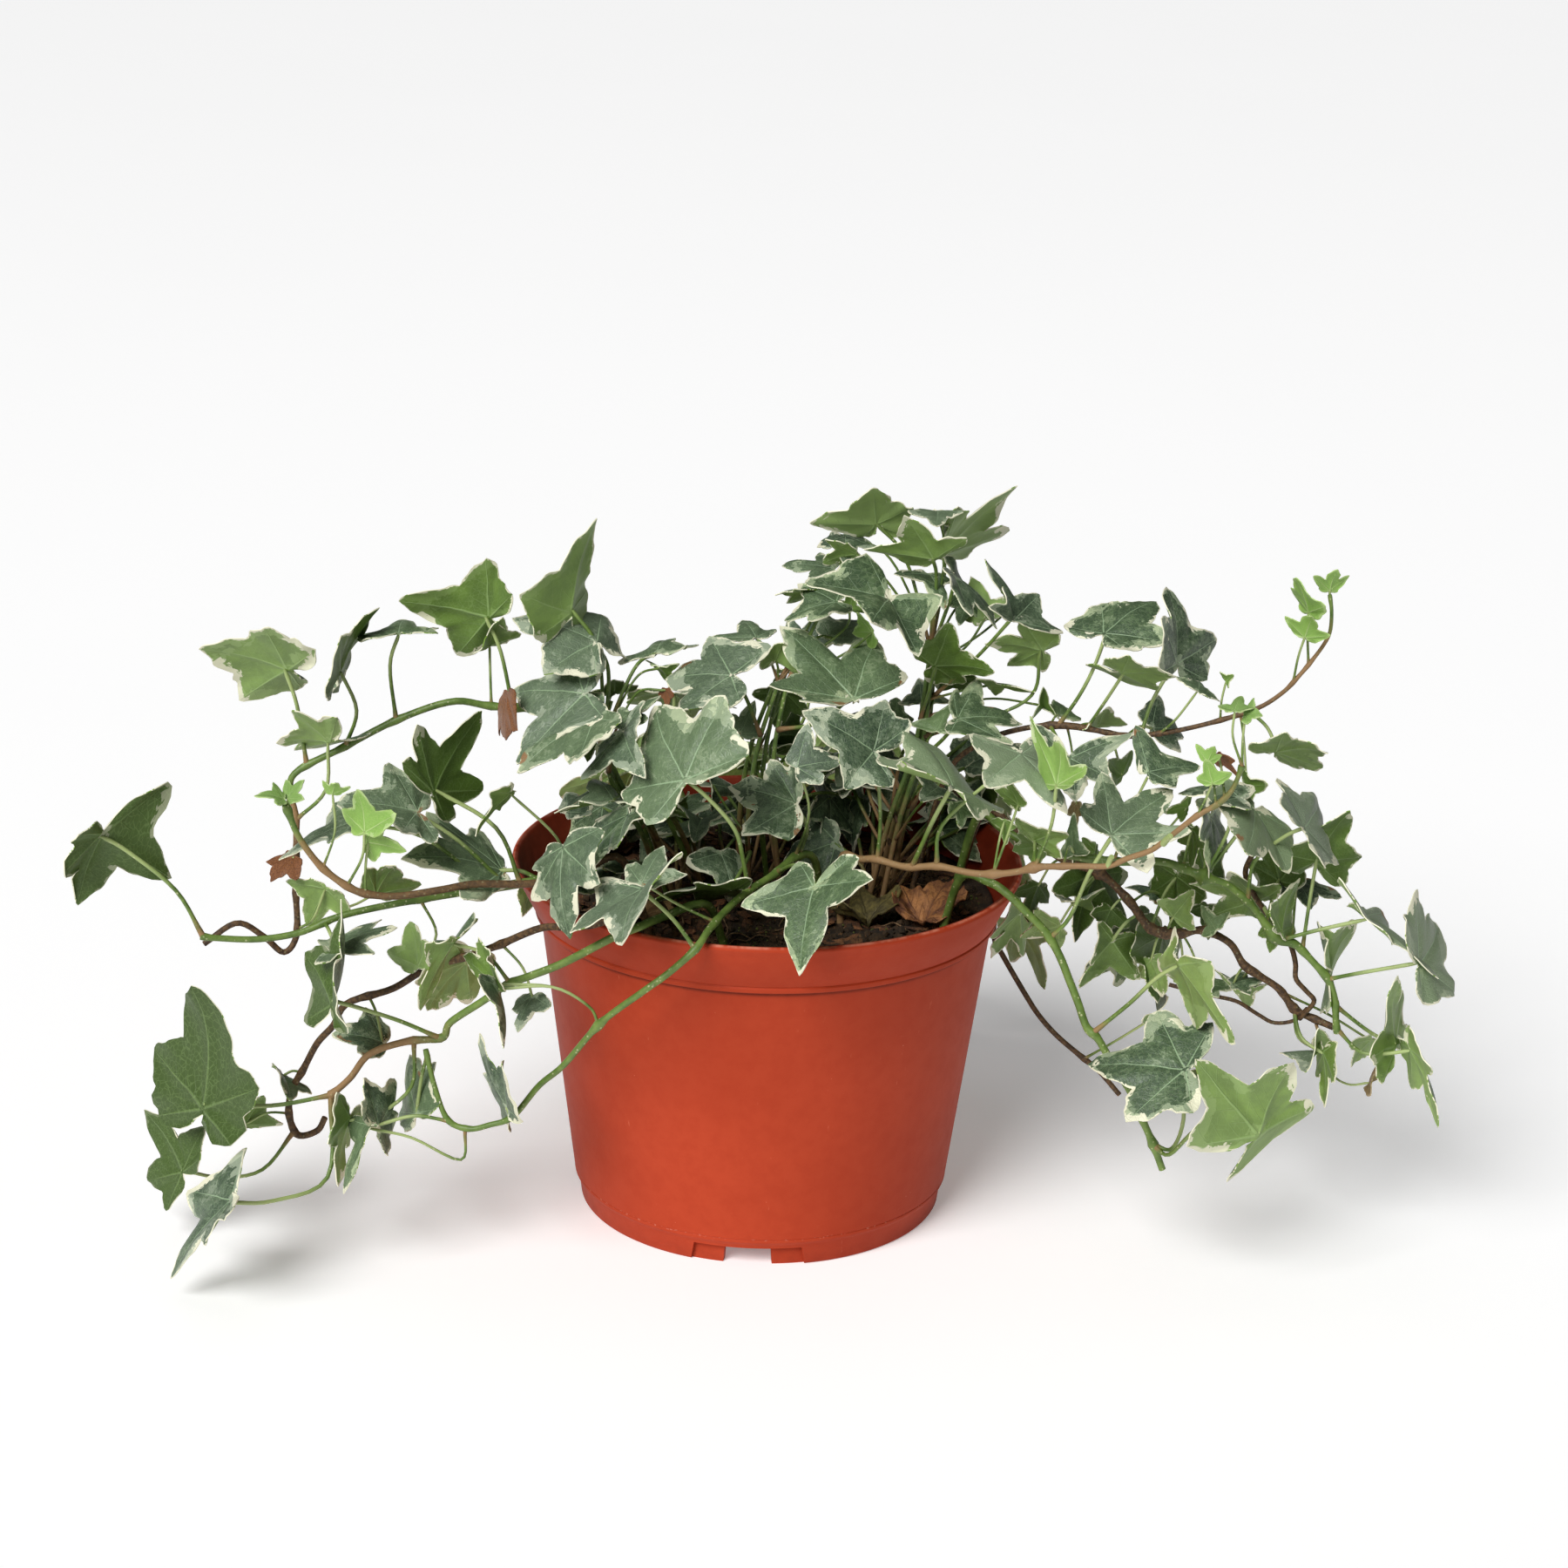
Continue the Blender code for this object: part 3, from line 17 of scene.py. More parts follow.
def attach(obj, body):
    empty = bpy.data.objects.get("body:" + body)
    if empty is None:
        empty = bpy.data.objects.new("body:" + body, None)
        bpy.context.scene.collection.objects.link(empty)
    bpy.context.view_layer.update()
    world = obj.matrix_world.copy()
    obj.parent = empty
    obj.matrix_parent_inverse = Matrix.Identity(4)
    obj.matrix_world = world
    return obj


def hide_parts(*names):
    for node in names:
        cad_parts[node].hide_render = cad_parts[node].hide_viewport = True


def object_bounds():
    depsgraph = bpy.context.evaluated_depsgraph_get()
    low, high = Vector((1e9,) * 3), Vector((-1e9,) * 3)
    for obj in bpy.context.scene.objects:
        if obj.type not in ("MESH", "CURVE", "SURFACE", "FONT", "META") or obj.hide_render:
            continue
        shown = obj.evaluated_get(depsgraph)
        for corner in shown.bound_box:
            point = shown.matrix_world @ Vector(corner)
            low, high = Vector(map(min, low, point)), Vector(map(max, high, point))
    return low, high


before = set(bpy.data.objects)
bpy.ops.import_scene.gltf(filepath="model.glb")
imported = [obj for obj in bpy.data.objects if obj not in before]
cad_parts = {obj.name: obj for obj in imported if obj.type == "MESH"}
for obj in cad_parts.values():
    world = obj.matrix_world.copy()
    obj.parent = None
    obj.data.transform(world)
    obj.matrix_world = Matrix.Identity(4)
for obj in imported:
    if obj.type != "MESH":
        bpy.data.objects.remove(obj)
measured_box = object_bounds()
MM = 0.001
print("measured nodes:", len(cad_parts), "box in metres:", [list(corner) for corner in measured_box])

# %% [markdown]
# ## The camera
#
# The plant was photographed from about a metre away, from a little above the rim, with the camera
# tilted by a degree and a half. The same eye point later serves to place the leaves, because each leaf
# was measured where it is seen. A long lens keeps the pot's sides nearly parallel, as in the picture.

# %% Place the camera
EYE = Vector((4.3, -994.6, 467.3))
LOOK_DOWN = math.radians(18.7)
HEAD_TILT = math.radians(1.5)
LENS = 81.44
SENSOR = 36.0
NEAREST_SEEN = 0.05

level_up = Vector((0.0, math.sin(LOOK_DOWN), math.cos(LOOK_DOWN)))
level_right = Vector((1.0, 0.0, 0.0))
VIEW_RIGHT = level_right * math.cos(HEAD_TILT) + level_up * math.sin(HEAD_TILT)
VIEW_UP = level_up * math.cos(HEAD_TILT) - level_right * math.sin(HEAD_TILT)
TO_VIEWER = VIEW_RIGHT.cross(VIEW_UP)

bpy.ops.object.camera_add()
camera = bpy.context.object
camera.name = "camera"
camera.data.lens = LENS
camera.data.sensor_width = SENSOR
camera.data.clip_start = NEAREST_SEEN
turned_to_plant = Matrix((VIEW_RIGHT, VIEW_UP, TO_VIEWER)).transposed().to_4x4()
camera.matrix_world = Matrix.Translation(EYE * MM) @ turned_to_plant
bpy.context.scene.camera = camera
print("camera at", [round(x, 3) for x in camera.location], "looking down by",
      round(math.degrees(LOOK_DOWN), 1), "degrees")

# %% [markdown]
# ## Lines of sight and smooth lines
#
# A leaf or a bend of a stem was read as a point (across, up) on an upright plane through the pot's
# axis, with a third number for its real depth, negative towards the viewer. seen_at slides such a
# point along the line of sight to that depth. smooth_route runs one soft curve through a few points,
# which is how a growing stem bends: it never turns a sharp corner. around gives a point by its distance
# and its direction, as seen from above.

# %% Helpers for places
SKYWARD = Vector((0.0, 0.0, 1.0))


def seen_at(across, up, depth=0.0):
    """The real place of a point of the upright plane, moved along the line of sight to a depth."""
    share = (depth - EYE.y) / -EYE.y
    return EYE + (Vector((across, 0.0, up)) - EYE) * share


def smooth_route(points, steps):
    """A smooth line through points, with the given number of steps."""
    ends = [points[0] * 2 - points[1], *points, points[-1] * 2 - points[-2]]
    line = []
    for step in range(steps + 1):
        place = step / steps * (len(points) - 1)
        span = min(int(place), len(points) - 2)
        t = place - span
        a, b, c, d = ends[span:span + 4]
        line.append(0.5 * (b * 2 + (c - a) * t + (a * 2 - b * 5 + c * 4 - d) * t ** 2
                           + (b * 3 - a - c * 3 + d) * t ** 3))
    return line


def around(radius, turn):
    return radius * math.cos(turn), radius * math.sin(turn)


print("the middle of the rim is seen at", [round(x) for x in seen_at(0, 108)])

# %% [markdown]
# ## The plant's own list
#
# Ivy in a pot is a handful of rooted cuttings. Every stem here has the place where it stands in the
# soil, its route over the rim, its radius at both ends, its bark and its leaves. A leaf is read by the
# point where its stalk meets it and by its lobe tips, in order round the leaf, because those points fix
# how a flat leaf lies in space. The stalk's own bends are read as well. A leaf that doesn't look like the
# others has its looks at the end of its row. A point's own numbers stand close together: across,up in a
# leaf, and across,up,depth in a stem's route.

# %% The list of stems and leaves
STEMS = []


def grouped(row, size):
    """A row of numbers as points of so many numbers each."""
    return [tuple(row[k:k + size]) for k in range(0, len(row), size)]


def stem(name, root, route, thick, bark, leaves):
    """bark is a row of tones at even steps from foot to tip: 0 is green, 1 is brown."""
    STEMS.append(dict(name=name, root=root, route=grouped(route, 3), thick=thick, bark=bark, leaves=leaves))


def leaf(face, depth, across, up, lobes, via, **looks):
    """face is the side that the viewer sees, and across and up are the point at the stalk. lobes are the
    seen tips: the three long ones, or with one or both of the small ones by the stalk. via are points of
    the stalk, from the stem on. Of the looks, shade paints light and shade into a leaf's colour: below 0
    the leaf is paler and greyer, a painted sheen; from 0 up to 1 its painted light fades; above 1 it is
    darker, painted shade. youth makes it young and bright, dry makes it withered, and one that is uncut
    has hardly any cuts between its lobes."""
    return dict(face=face, depth=depth, base=(across, up), lobes=grouped(lobes, 2), via=grouped(via, 2),
                **looks)


def top(*reading, **looks):
    return leaf("top", *reading, **looks)


def under(*reading, **looks):
    return leaf("under", *reading, **looks)


stem("left_arching_stem", (-22, 14), [
    -35,128,10, -52,144,6, -66,151,2, -83,152.5,0, -94,153.5,-2, -110,147.5,-4, -126,138.5,-6,
    -140,130.5,-8, -142,124,-9, -140.5,115,-10, -141,94,-12, -141,79,-14, -145,73,-16, -151,78,-18,
    -159,82,-20, -169,75,-22
], (1.5, 1.2), (0.1, 0.1, 0.15, 0.2, 0.95, 1.0, 1.0), [
    under(-6, -142,162, [-134,167.5, -148.5,175.5, -168,168, -156,153, -138,156.5], [-142,138], shade=0.3,
          uncut=True),
    under(-14, -127,161, [-131,153.5, -126.5,172.5, -115.5,182, -123,168], [-125,139, -122,150], shade=1.1,
          uncut=True),
    top(-8, -109.3,174, [-126,172, -108,177.5, -97.5,176], [-112,150, -112,164]),
    under(4, -83,179.5, [-76.5,185.5, -84,197, -109,184, -93,166, -78,171], [-75,154], shade=0.9),
    under(8, -83,171, [-87,168.5, -79.5,180, -73,174.5], [-82,153]),
    under(-14, -130,140, [-128,147, -141,149.5, -146,140, -140,137, -117,142.5],
          [-139.5,115.5, -131.5,125]),
    under(-18, -132,94, [-144,95.5, -138,81.5, -125,86], [-141,80, -136,84]),
    under(-2, -117,92.5, [-119.5,100.5, -111,103, -103.5,95.5], [-140,92, -127,88], shade=1.0, uncut=True)])

stem("left_front_stem", (-42, -22), [
    -50,104,-24, -62,100.5,-30, -72,97.5,-36, -97,92.5,-40, -113.5,89,-44, -128,85,-47, -140,79.5,-50,
    -152.5,77,-53, -165,77,-56, -170,77.5,-57
], (1.6, 1.2), (0.5, 0.2, 0.1, 0.3), [
    under(-60, -198.5,109.5, [-205.5,109, -211,95, -207,86.5, -178,95, -177.5,126],
          [-169.5,78, -177,92, -191,104], shade=1.5),
    under(-40, -99.5,125, [-108,134, -104.5,146, -85,152, -85.5,126.5, -95,115.5], [-76,99, -81,114.5],
          shade=1.2),
    top(-46, -104.5,119, [-112.5,135, -129,121.5, -109,112.5], [-78,98, -92,110]),
    top(-34, -79,101, [-85,112, -101.5,119, -109,106, -90.5,91.5, -80,94], [-68,98], shade=0.2),
    under(-42, -76.5,126, [-75,132, -82,125.5, -88,111.5, -79,121.5], [-60,101, -63,112]),
    under(-48, -104.5,69.5, [-114.5,74, -106.5,84.5, -101.5,77.5], [-103,91, -99,80], shade=0.0,
          uncut=True),
    top(-58, -130,75, [-115.5,84, -110.5,82, -118,73], [-132,82]),
    top(-56, -61,109, [-50,115.5, -50,98, -60,79.5, -70,92, -70,104], [-48,104, -54,108])])

stem("left_tip_stem", (-34, -34), [
    -44,106,-38, -58,99.5,-42, -72,97,-47, -87.5,96.5,-52, -97,94.5,-56, -110.5,92,-60, -120,92.5,-63,
    -126,95,-64, -132.5,100,-65, -137,105.5,-66, -140.5,111.5,-66, -143.5,120,-66
], (1.6, 1.2), (0.9, 0.9, 0.9, 0.85, 0.7, 0.2), [
    under(-66, -120,112, [-127,119, -121.5,126, -111,118], [-126,95, -121,104], youth=0.9),
    under(-64, -119.5,109, [-115,117, -107.5,106.5, -117,103], [-120,92.5, -120,101], youth=0.9),
    under(-68, -129.5,124, [-132.5,127.5, -128.5,128, -124,126], [-132,100, -129,112], youth=0.9),
    top(-66, -144,122, [-147,127, -152.5,123.5, -146,120], [-143.5,119], youth=0.9),
    top(-64, -143,122, [-143,128, -138,128, -138,122], [-143,119], youth=0.9)])

stem("left_brown_stem", (-26, -34), [
    -35,94,-46, -48.3,85.7,-62, -58,83.5,-62, -67.5,83,-57, -80.5,77,-50, -90.5,73,-45, -102.5,68.5,-41,
    -112.5,62,-38, -126,57,-35, -130.5,49.5,-34, -135.5,43.5,-33, -140,34.5,-32, -143.5,28,-32,
    -144.5,20,-32, -142,13,-32, -136,14.5,-32, -133.5,19,-32
], (1.5, 1.3), (1.0, 1.0), [
    under(-50, -177.5,-0.5, [-172,4, -172,15, -187.5,20, -190,-4, -183.5,-14], [-144,14, -153,1, -166,-2],
          shade=1.7),
    under(-40, -90,71.5, [-105.5,65, -102.5,55, -88.5,58], [-90,72], shade=0.2, uncut=True),
    top(-30, -146,33, [-149,36, -144,24, -137,27], [-140,34]),
    under(-28, -158,16, [-160,19.5, -152,26, -146,16], [-144,20]),
    top(-40, -115,44.5, [-114.5,37.5, -122,39.5, -131,47.5, -120.5,56], [-118,59], uncut=True),
    top(-58, -70,61, [-76,56, -75,49.5, -64,57], [-80.5,77, -73,70])])

stem("left_green_stem", (-12, -44), [
    -18,92,-52, -31,87.5,-61, -38.5,84,-69, -46,80.5,-71, -60.5,72,-68, -70.5,67.5,-66, -77.5,64.5,-64,
    -85.5,58.5,-62, -95,51.5,-60, -97.5,46.5,-59, -108,45,-58, -119.5,40.5,-57, -125.5,32.5,-56,
    -131.5,26.5,-55
], (1.7, 1.3), (0.05, 0.05, 0.1, 0.1, 0.3, 0.45, 0.8, 0.7), [
    under(-74, -130.5,56.5, [-139,50.5, -137.5,73, -127,89.5, -130.5,66], [-98,45, -110,51.5, -122.5,55.5],
          shade=1.6, uncut=True),
    under(-62, -170.5,21, [-187,17.5, -188,39.5, -169,63.5, -155.5,27.5, -164,8.5],
          [-131.5,26.5, -150,22.5], shade=1.8, uncut=True),
    top(-88, -163,-9.5, [-158,9, -175,-7.5, -182,-36, -170.5,-24.5, -163,-14],
        [-131,26, -133,-1, -150,-9.5]),
    under(-66, -93.5,78, [-102.5,77, -104.5,55.5, -88,86.5], [-77.5,64.5, -84,74]),
    under(-60, -126,19, [-130,27.5, -133.5,10.5, -130.5,-3.5, -126,10.5], [-106.5,44, -107,30, -118,20])])

stem("front_left_stem", (16, -14), [
    14,107,-24, 8.6,108,-31, 2,102,-40, -5.6,96.5,-50, -11,91.4,-60, -17,84,-72, -21,77.5,-79, -29,69.5,-80,
    -37,63,-80, -49.5,52.5,-77, -60.5,38.5,-73, -68,31.5,-70, -76,21,-68, -83,18,-67, -89.5,16.5,-66,
    -96,19.5,-65, -100,31,-64, -102.5,42.5,-63
], (1.6, 1.0), (0.05, 0.05, 0.15), [
    top(-56, -25.2,131, [-7,140, -13.4,158, -35,154, -44.2,127, -36,117],
        [-6.5,97, -7.2,106, -10,116, -18,125.5], shade=0.0),
    top(-30, 8.2,124.6, [7.5,136, 0,136.5, -12,130, -7.7,113, 7.3,112.8], [9,108, 11.5,117], shade=0.8),
    top(-38, 8,136, [0.5,139, 11,150, 21,138.5, 16,130.5, 8,127.5], [8,107, 12,122]),
    top(-71, 14,98.5, [10,105.5, -6.4,90.5, 10.8,70, 32.6,100, 27,108.5], [3,103, 9,105], shade=0.6),
    top(-74, -37,96.5, [-32,100, -26,109, -44,79, -59.5,82, -50,98.5], [-21,78, -28,87]),
    top(-70, -37.5,98, [-42,104, -31,110, -24,101], [-15,86, -27,92]),
    top(-74, -80.5,63.5, [-87,66.5, -78,44.5, -80,59], [-49.5,52.5, -53,58, -64,64], uncut=True),
    top(-68, -119.5,16.5, [-127,19, -128,-6, -120.5,14], [-90,17, -92,6, -107,13]),
    top(-58, -105.5,21, [-109.5,15, -111.5,21.5, -107,41, -100,38, -99.5,23], [-102,40])])

stem("crown_left_stem", (-30, -4), [
    -38,118,-8, -46,130,-10, -50,142,-10, -47,155,-8
], (1.3, 0.9), (0.3, 0.1), [
    under(-4, -59,181.5, [-69.5,173, -73,186.5, -53,210, -54.5,188.5, -53,175], [-47,155, -51,170],
          youth=0.1, uncut=True),
    top(-8, -51.5,173, [-52,162, -67,163.5, -76,180.5, -50,182.5, -43,168.5], [-47,155, -48,164],
        shade=0.1),
    top(-20, -55,157, [-50,171.5, -60,172, -76,157, -74.5,134, -48,148], [-49,148], shade=0.2),
    top(-28, -52,149.5, [-66,147, -74.5,132.5, -56,134], [-49,140]),
    top(-34, -43.5,145.5, [-56,130, -37.5,132, -38.5,149], [-47,134, -46,140]),
    top(-31, -44,147, [-45.5,153, -33,157.5, -36.5,150.5], [-47,134, -48,141]),
    top(2, -34,170, [-45,167, -31,175, -22,173], [-36,162]),
    under(0, -33,166, [-37,168, -29,160, -27,167], [-44,152]),
    top(-18, -20,119, [-28,124, -22,112, -10,122], [-37,116, -30,122]),
    top(-30, -46,124, [-64,120, -52,131, -36,120], [-41,122])])

stem("crown_middle_stem", (0, 6), [
    -2,118,4, -2,135,4, 0,150,5, 4,165,6, 10,178,6
], (1.5, 0.9), (0.3, 0.1), [
    top(-8, -12,163.8, [-0.6,173.5, -18.8,176, -31.3,162, -27,152, -9,155], [-2,146, -8,158]),
    top(-16, 23.7,157.3, [40,165, 29.5,176, 1.9,178.1, -0.9,160, 10,156], [0,148, 14,150], shade=0.3),
    under(4, 1,168.7, [-7,163, -4,172, 3.2,174.7, 8.3,164.6], [2,160]),
    top(10, -5,175.5, [-18,175, -9,181, 0.8,178.5], [2,163, -2,172]),
    top(2, 18,187, [7,192, 2.8,181, 11,181], [9,177, 14,184]),
    under(14, 12,190, [6,190, 0.5,189, 4,186], [9,177, 13,186]),
    under(6, 22.3,185, [16.5,187.5, 23,190.5, 27,184], [10,177, 20,178]),
    under(0, 29,178, [24,184, 23.5,178, 29,173], [8,174, 22,172], youth=0.9),
    top(12, 17,176, [12.5,184, 28,182, 26,176], [7,172]),
    top(0, -9,146, [-14,152, -5,156, -2,146], [-3,128, -6,138]),
    top(8, -17,130, [-20,137, -9,128, -17,121], [-3,116, -12,122])])

stem("crown_right_stem", (34, 4), [
    38,118,4, 43,135,6, 46,155,8, 47,175,10, 47,190,12
], (1.5, 0.9), (0.3, 0.1), [
    under(14, 29,210.5, [37,207, 39.5,215.6, 27.5,222, 9.5,209.7, 25,206], [46,186, 38,200], shade=-0.5,
          uncut=True),
    under(2, 46,200.5, [52,205, 55,207, 37,213, 26.3,203.5, 40,199], [47,186, 47,194]),
    top(8, 46.5,215, [37.5,214.5, 46.5,210.5, 54,214.5], [48,189, 49,202]),
    under(22, 48,201.5, [50,210, 53,216, 68.5,222, 68.4,209, 54,201], [47,186, 49,194]),
    under(6, 24,201.5, [21,206, 14.5,206, 13.5,199, 19,198], [46,180, 34,192]),
    top(16, 17,197, [13,202, 1.7,197.7, 10,193], [46,178, 30,188]),
    top(-12, 33.4,188.3, [26.4,201.7, 8.5,193.3, 29,182, 42.6,171, 48.4,188.5], [46,166, 42,178],
        shade=0.85),
    top(14, 45,196, [35,196, 50,186, 52,194], [47,184]),
    top(2, 52,196, [58,190, 66,181, 57,183], [47,180, 51,188]),
    top(-8, 70,183, [63,186, 66,192, 60.4,201.3, 76,190, 84.3,179], [46,158, 56,166, 62,175]),
    under(2, 78.8,174, [80,168, 69,169, 62,176, 72,184, 84,179], [46,148, 66,152, 78,163]),
    under(10, 62,183, [54,184, 57,196, 69,190], [46,165, 56,174]),
    under(16, 69,187, [72,191, 78,187, 73,184], [46,168, 60,178]),
    under(0, 47.3,168.4, [41,173, 52,181.4, 65.3,168, 56,162, 46,163], [45,150, 46,160], shade=0.9),
    top(-10, 54.8,152.4, [53,160, 60,163, 74.6,152.3, 71,144, 52.4,146.7], [43,134, 50,145], shade=0.85),
    top(-4, 49,148.5, [41,150.5, 52.5,157, 52,149], [43,138]),
    under(8, 63,163, [60,165, 77,161.5, 66,160], [46,157, 56,161])])

stem("front_right_stem", (22, -16), [
    22,108,-22, 27.5,107.6,-28, 32.4,107.7,-32, 41.3,105.5,-38, 50.9,106,-43, 60,104.3,-48, 67.1,104,-51,
    74.3,104.9,-54, 80,106.5,-56, 87.5,107,-58, 94,107.3,-60, 101.4,107.5,-62, 107.2,110.1,-64,
    113.7,112.7,-66, 117.5,115.6,-67, 127,124.1,-70, 132.7,127.7,-71, 136.4,131.7,-72, 138.1,135.6,-72,
    139.3,140,-72
], (1.5, 0.9), (0.75, 0.75, 0.8, 0.7, 0.4), [
    top(-36, 30.5,141.6, [41,149.5, 33,157, 9,154, 22,130, 36,130.5], [32.5,108, 33.2,120, 32,133],
        shade=0.95),
    top(-54, 54.6,131, [41,138, 30,138, 40.8,148.5, 69,124, 63.5,121.5], [43.5,106, 48.5,119.6],
        shade=-0.6),
    top(-48, 74,142, [58,147, 63.5,132, 88.7,124, 84,138], [50,106, 51.6,119, 66,134], shade=-0.7),
    under(-62, 85,132.4, [80,133, 75.9,154, 85.5,146.5, 93.7,138, 90,133], [79.7,107, 84,120], youth=0.65),
    under(-50, 74.2,126, [78.6,125.6, 70,134.5, 67,131, 69,127], [67,105, 70.7,114.8]),
    under(-74, 131,134.4, [126,136, 128.4,142.3, 136.6,137.6], [127,124, 129.5,130], youth=1.0),
    under(-70, 129,141, [125,146.5, 131,146, 133,143], [132,128, 131,136], youth=1.0),
    top(-74, 136,157, [131,158, 137.6,162, 142,158], [139.3,140, 136,149], youth=0.85),
    top(-72, 139,156, [141.5,161, 144,156, 140,153], [139.3,140, 139,148], youth=0.85),
    top(-26, 91,111, [96,112, 90,124, 86,110], [88,108]),
    under(-40, 79,115, [73.5,122.3, 89,118, 88,110], [79,107])])

stem("right_hanging_stem", (52, -26), [
    58,103,-34, 66,101.5,-40, 71,98.6,-43, 77.2,92.8,-45, 84.1,85.7,-46, 88.4,78.6,-47, 92,70.2,-48,
    94.9,63.2,-49, 97.9,55.4,-50, 101.4,51.9,-51, 106.5,43.4,-52, 112.6,34,-53, 116.3,25.7,-54,
    120,17.8,-54, 123.5,9,-54
], (1.7, 1.4), (0.1, 0.05, 0.1), [
    top(-51, 102,117.5, [92,124, 98,134.5, 120,132.4, 125.5,117.2, 113,105.3], [86,84, 91,91, 96,105],
        shade=0.2),
    under(-62, 124,77, [122,88, 118,74, 131.8,55.5, 142.8,51, 133,77], [99,53, 110,63.2, 118,72]),
    top(-64, 128.5,42.4, [135.7,58, 118.2,62.4, 99.1,43.2, 111.2,24.9, 131.8,28.8],
        [120,17.5, 126,16, 129,26], shade=0.9),
    under(-74, 152.2,21.2, [130,17, 131.5,45.5, 161,47, 167,32, 143,6],
          [120,17.5, 125.3,14, 133,22.5, 142,25.5], shade=0.1),
    under(-44, 134,38, [131,42, 138,22.5, 136,30], [116,27, 124,33])])

stem("right_dark_stem", (48, 26), [
    52,128,32, 60,126.5,38, 66,120,40, 69.5,108,36, 68.5,95,28, 68.6,83.8,24, 71.8,77.4,23, 79,65.3,22,
    83.3,58.8,21, 88.9,52.5,20, 96.7,45.8,18, 102.3,41.2,16, 109,33.5,14
], (1.3, 1.1), (1.0, 1.0), [
    under(10, 119,60, [117,72, 122,66, 114,58], [98,45, 108,52]),
    under(14, 76,92, [68,84, 67,77.2, 77.5,78], [70,108, 73,100])])

stem("right_green_stem", (56, 2), [
    62,122,-2, 70,118,-10, 80,112.5,-16, 90,110.5,-20, 104,109,-24, 116.9,109.4,-27, 123.6,107.5,-28,
    130.4,104.9,-29, 137.1,102.6,-30, 143.4,97.9,-31, 147.6,93.1,-31, 153.4,85.8,-32, 158.2,84.5,-32,
    161,82.4,-32, 165.4,77.9,-33, 169.8,72.9,-33, 172.2,66.5,-33, 173,60,-33, 173.7,55.7,-33
], (1.7, 1.3), (0.2, 0.15, 0.1, 0.2), [
    top(-38, 179,93.5, [170.5,106.5, 186,87, 203,74, 184.5,95], [154,85.5, 166,89], shade=-0.7),
    top(-44, 196.6,78.7, [190,91, 192,102, 201.5,92.5, 208,69.5, 198.5,65.5], [170,73, 180,75.6],
        shade=-0.6, uncut=True),
    under(-40, 195.9,51.5, [192,54, 198.5,38.5, 207.5,26, 203,46, 195.5,58.5],
          [173,57, 180.8,50, 188,49.3]),
    under(-30, 191.5,52, [184,48, 190,75.5, 193,70], [172.5,64, 184,56]),
    under(-31, 170,76, [165,92, 176.5,92, 168,62], [168,75]),
    top(-36, 111.8,137.4, [106.3,135.5, 107,152, 127.3,139.6, 120.6,133.1], [104,109, 107,124]),
    top(-30, 144,126.6, [135,136.5, 129,131, 142,112, 156.3,107.4, 156.3,120], [130,105, 137,115],
        shade=-0.9),
    top(-38, 159.2,121.1, [152,129, 150.5,136.5, 163,130.5, 169.5,110], [144,98, 145,110, 153,118],
        shade=-0.7, uncut=True),
    under(-22, 163.1,111, [171.9,103, 176.9,112.1, 172,127.5, 150,113, 156.5,107], [161,82, 162.3,98],
          shade=1.1, uncut=True),
    under(-26, 124,127, [124,131, 117,125, 122,122], [112,109, 119,120]),
    under(-20, 147,98, [148,92, 134,93.5, 125.8,104.4, 138,107], [152,88]),
    under(-36, 154.5,88, [150,97, 157.5,105.3, 158,90], [152,88])])

stem("right_brown_stem", (58, 16), [
    64,124,10, 75,117,5, 90,108.5,0, 99.5,105,-2, 108.4,96.6,-5, 115.4,88,-8, 124,86.5,-10, 131,87.8,-12,
    139.4,83.9,-14, 143.9,77.2,-16, 148.8,73.8,-17, 155.2,69.5,-18, 160.3,63.1,-19, 166.3,60.2,-21,
    172.4,57.6,-24
], (1.6, 1.4), (0.9, 1.0), [
    under(-4, 92,96, [86,99, 97,91, 101,101], [99,105]),
    under(-8, 104,84, [98,76, 94.8,68.2, 113,71], [112,92]),
    under(-4, 88,88, [80,92, 76,84, 88,80], [98,104, 92,96]),
    under(-12, 122,92, [117,98, 128,101, 129,88], [120,87]),
    under(-2, 116,78, [112,72, 121,66, 123,76], [118,87]),
    top(-20, 135,88, [139,94, 130,96, 131,86], [133,87]),
    under(-8, 143,71, [135,75.5, 146,63.5, 151.5,70.5], [147,75]),
    under(-22, 169,50, [156,49, 164.5,43, 168,57], [160,63, 162,54]),
    under(-28, 170,49.5, [174,52.5, 174.5,39.5, 171.5,31, 168,42], [160,64, 163,54]),
    top(-24, 184.5,39.5, [185,35.5, 187.5,47.5, 189.5,42.5], [166,59, 172,44, 178,39], dry=0.7),
    under(-14, 184,54, [177.5,52, 178.5,45, 182.5,48], [156,69, 170,62, 180,56])])

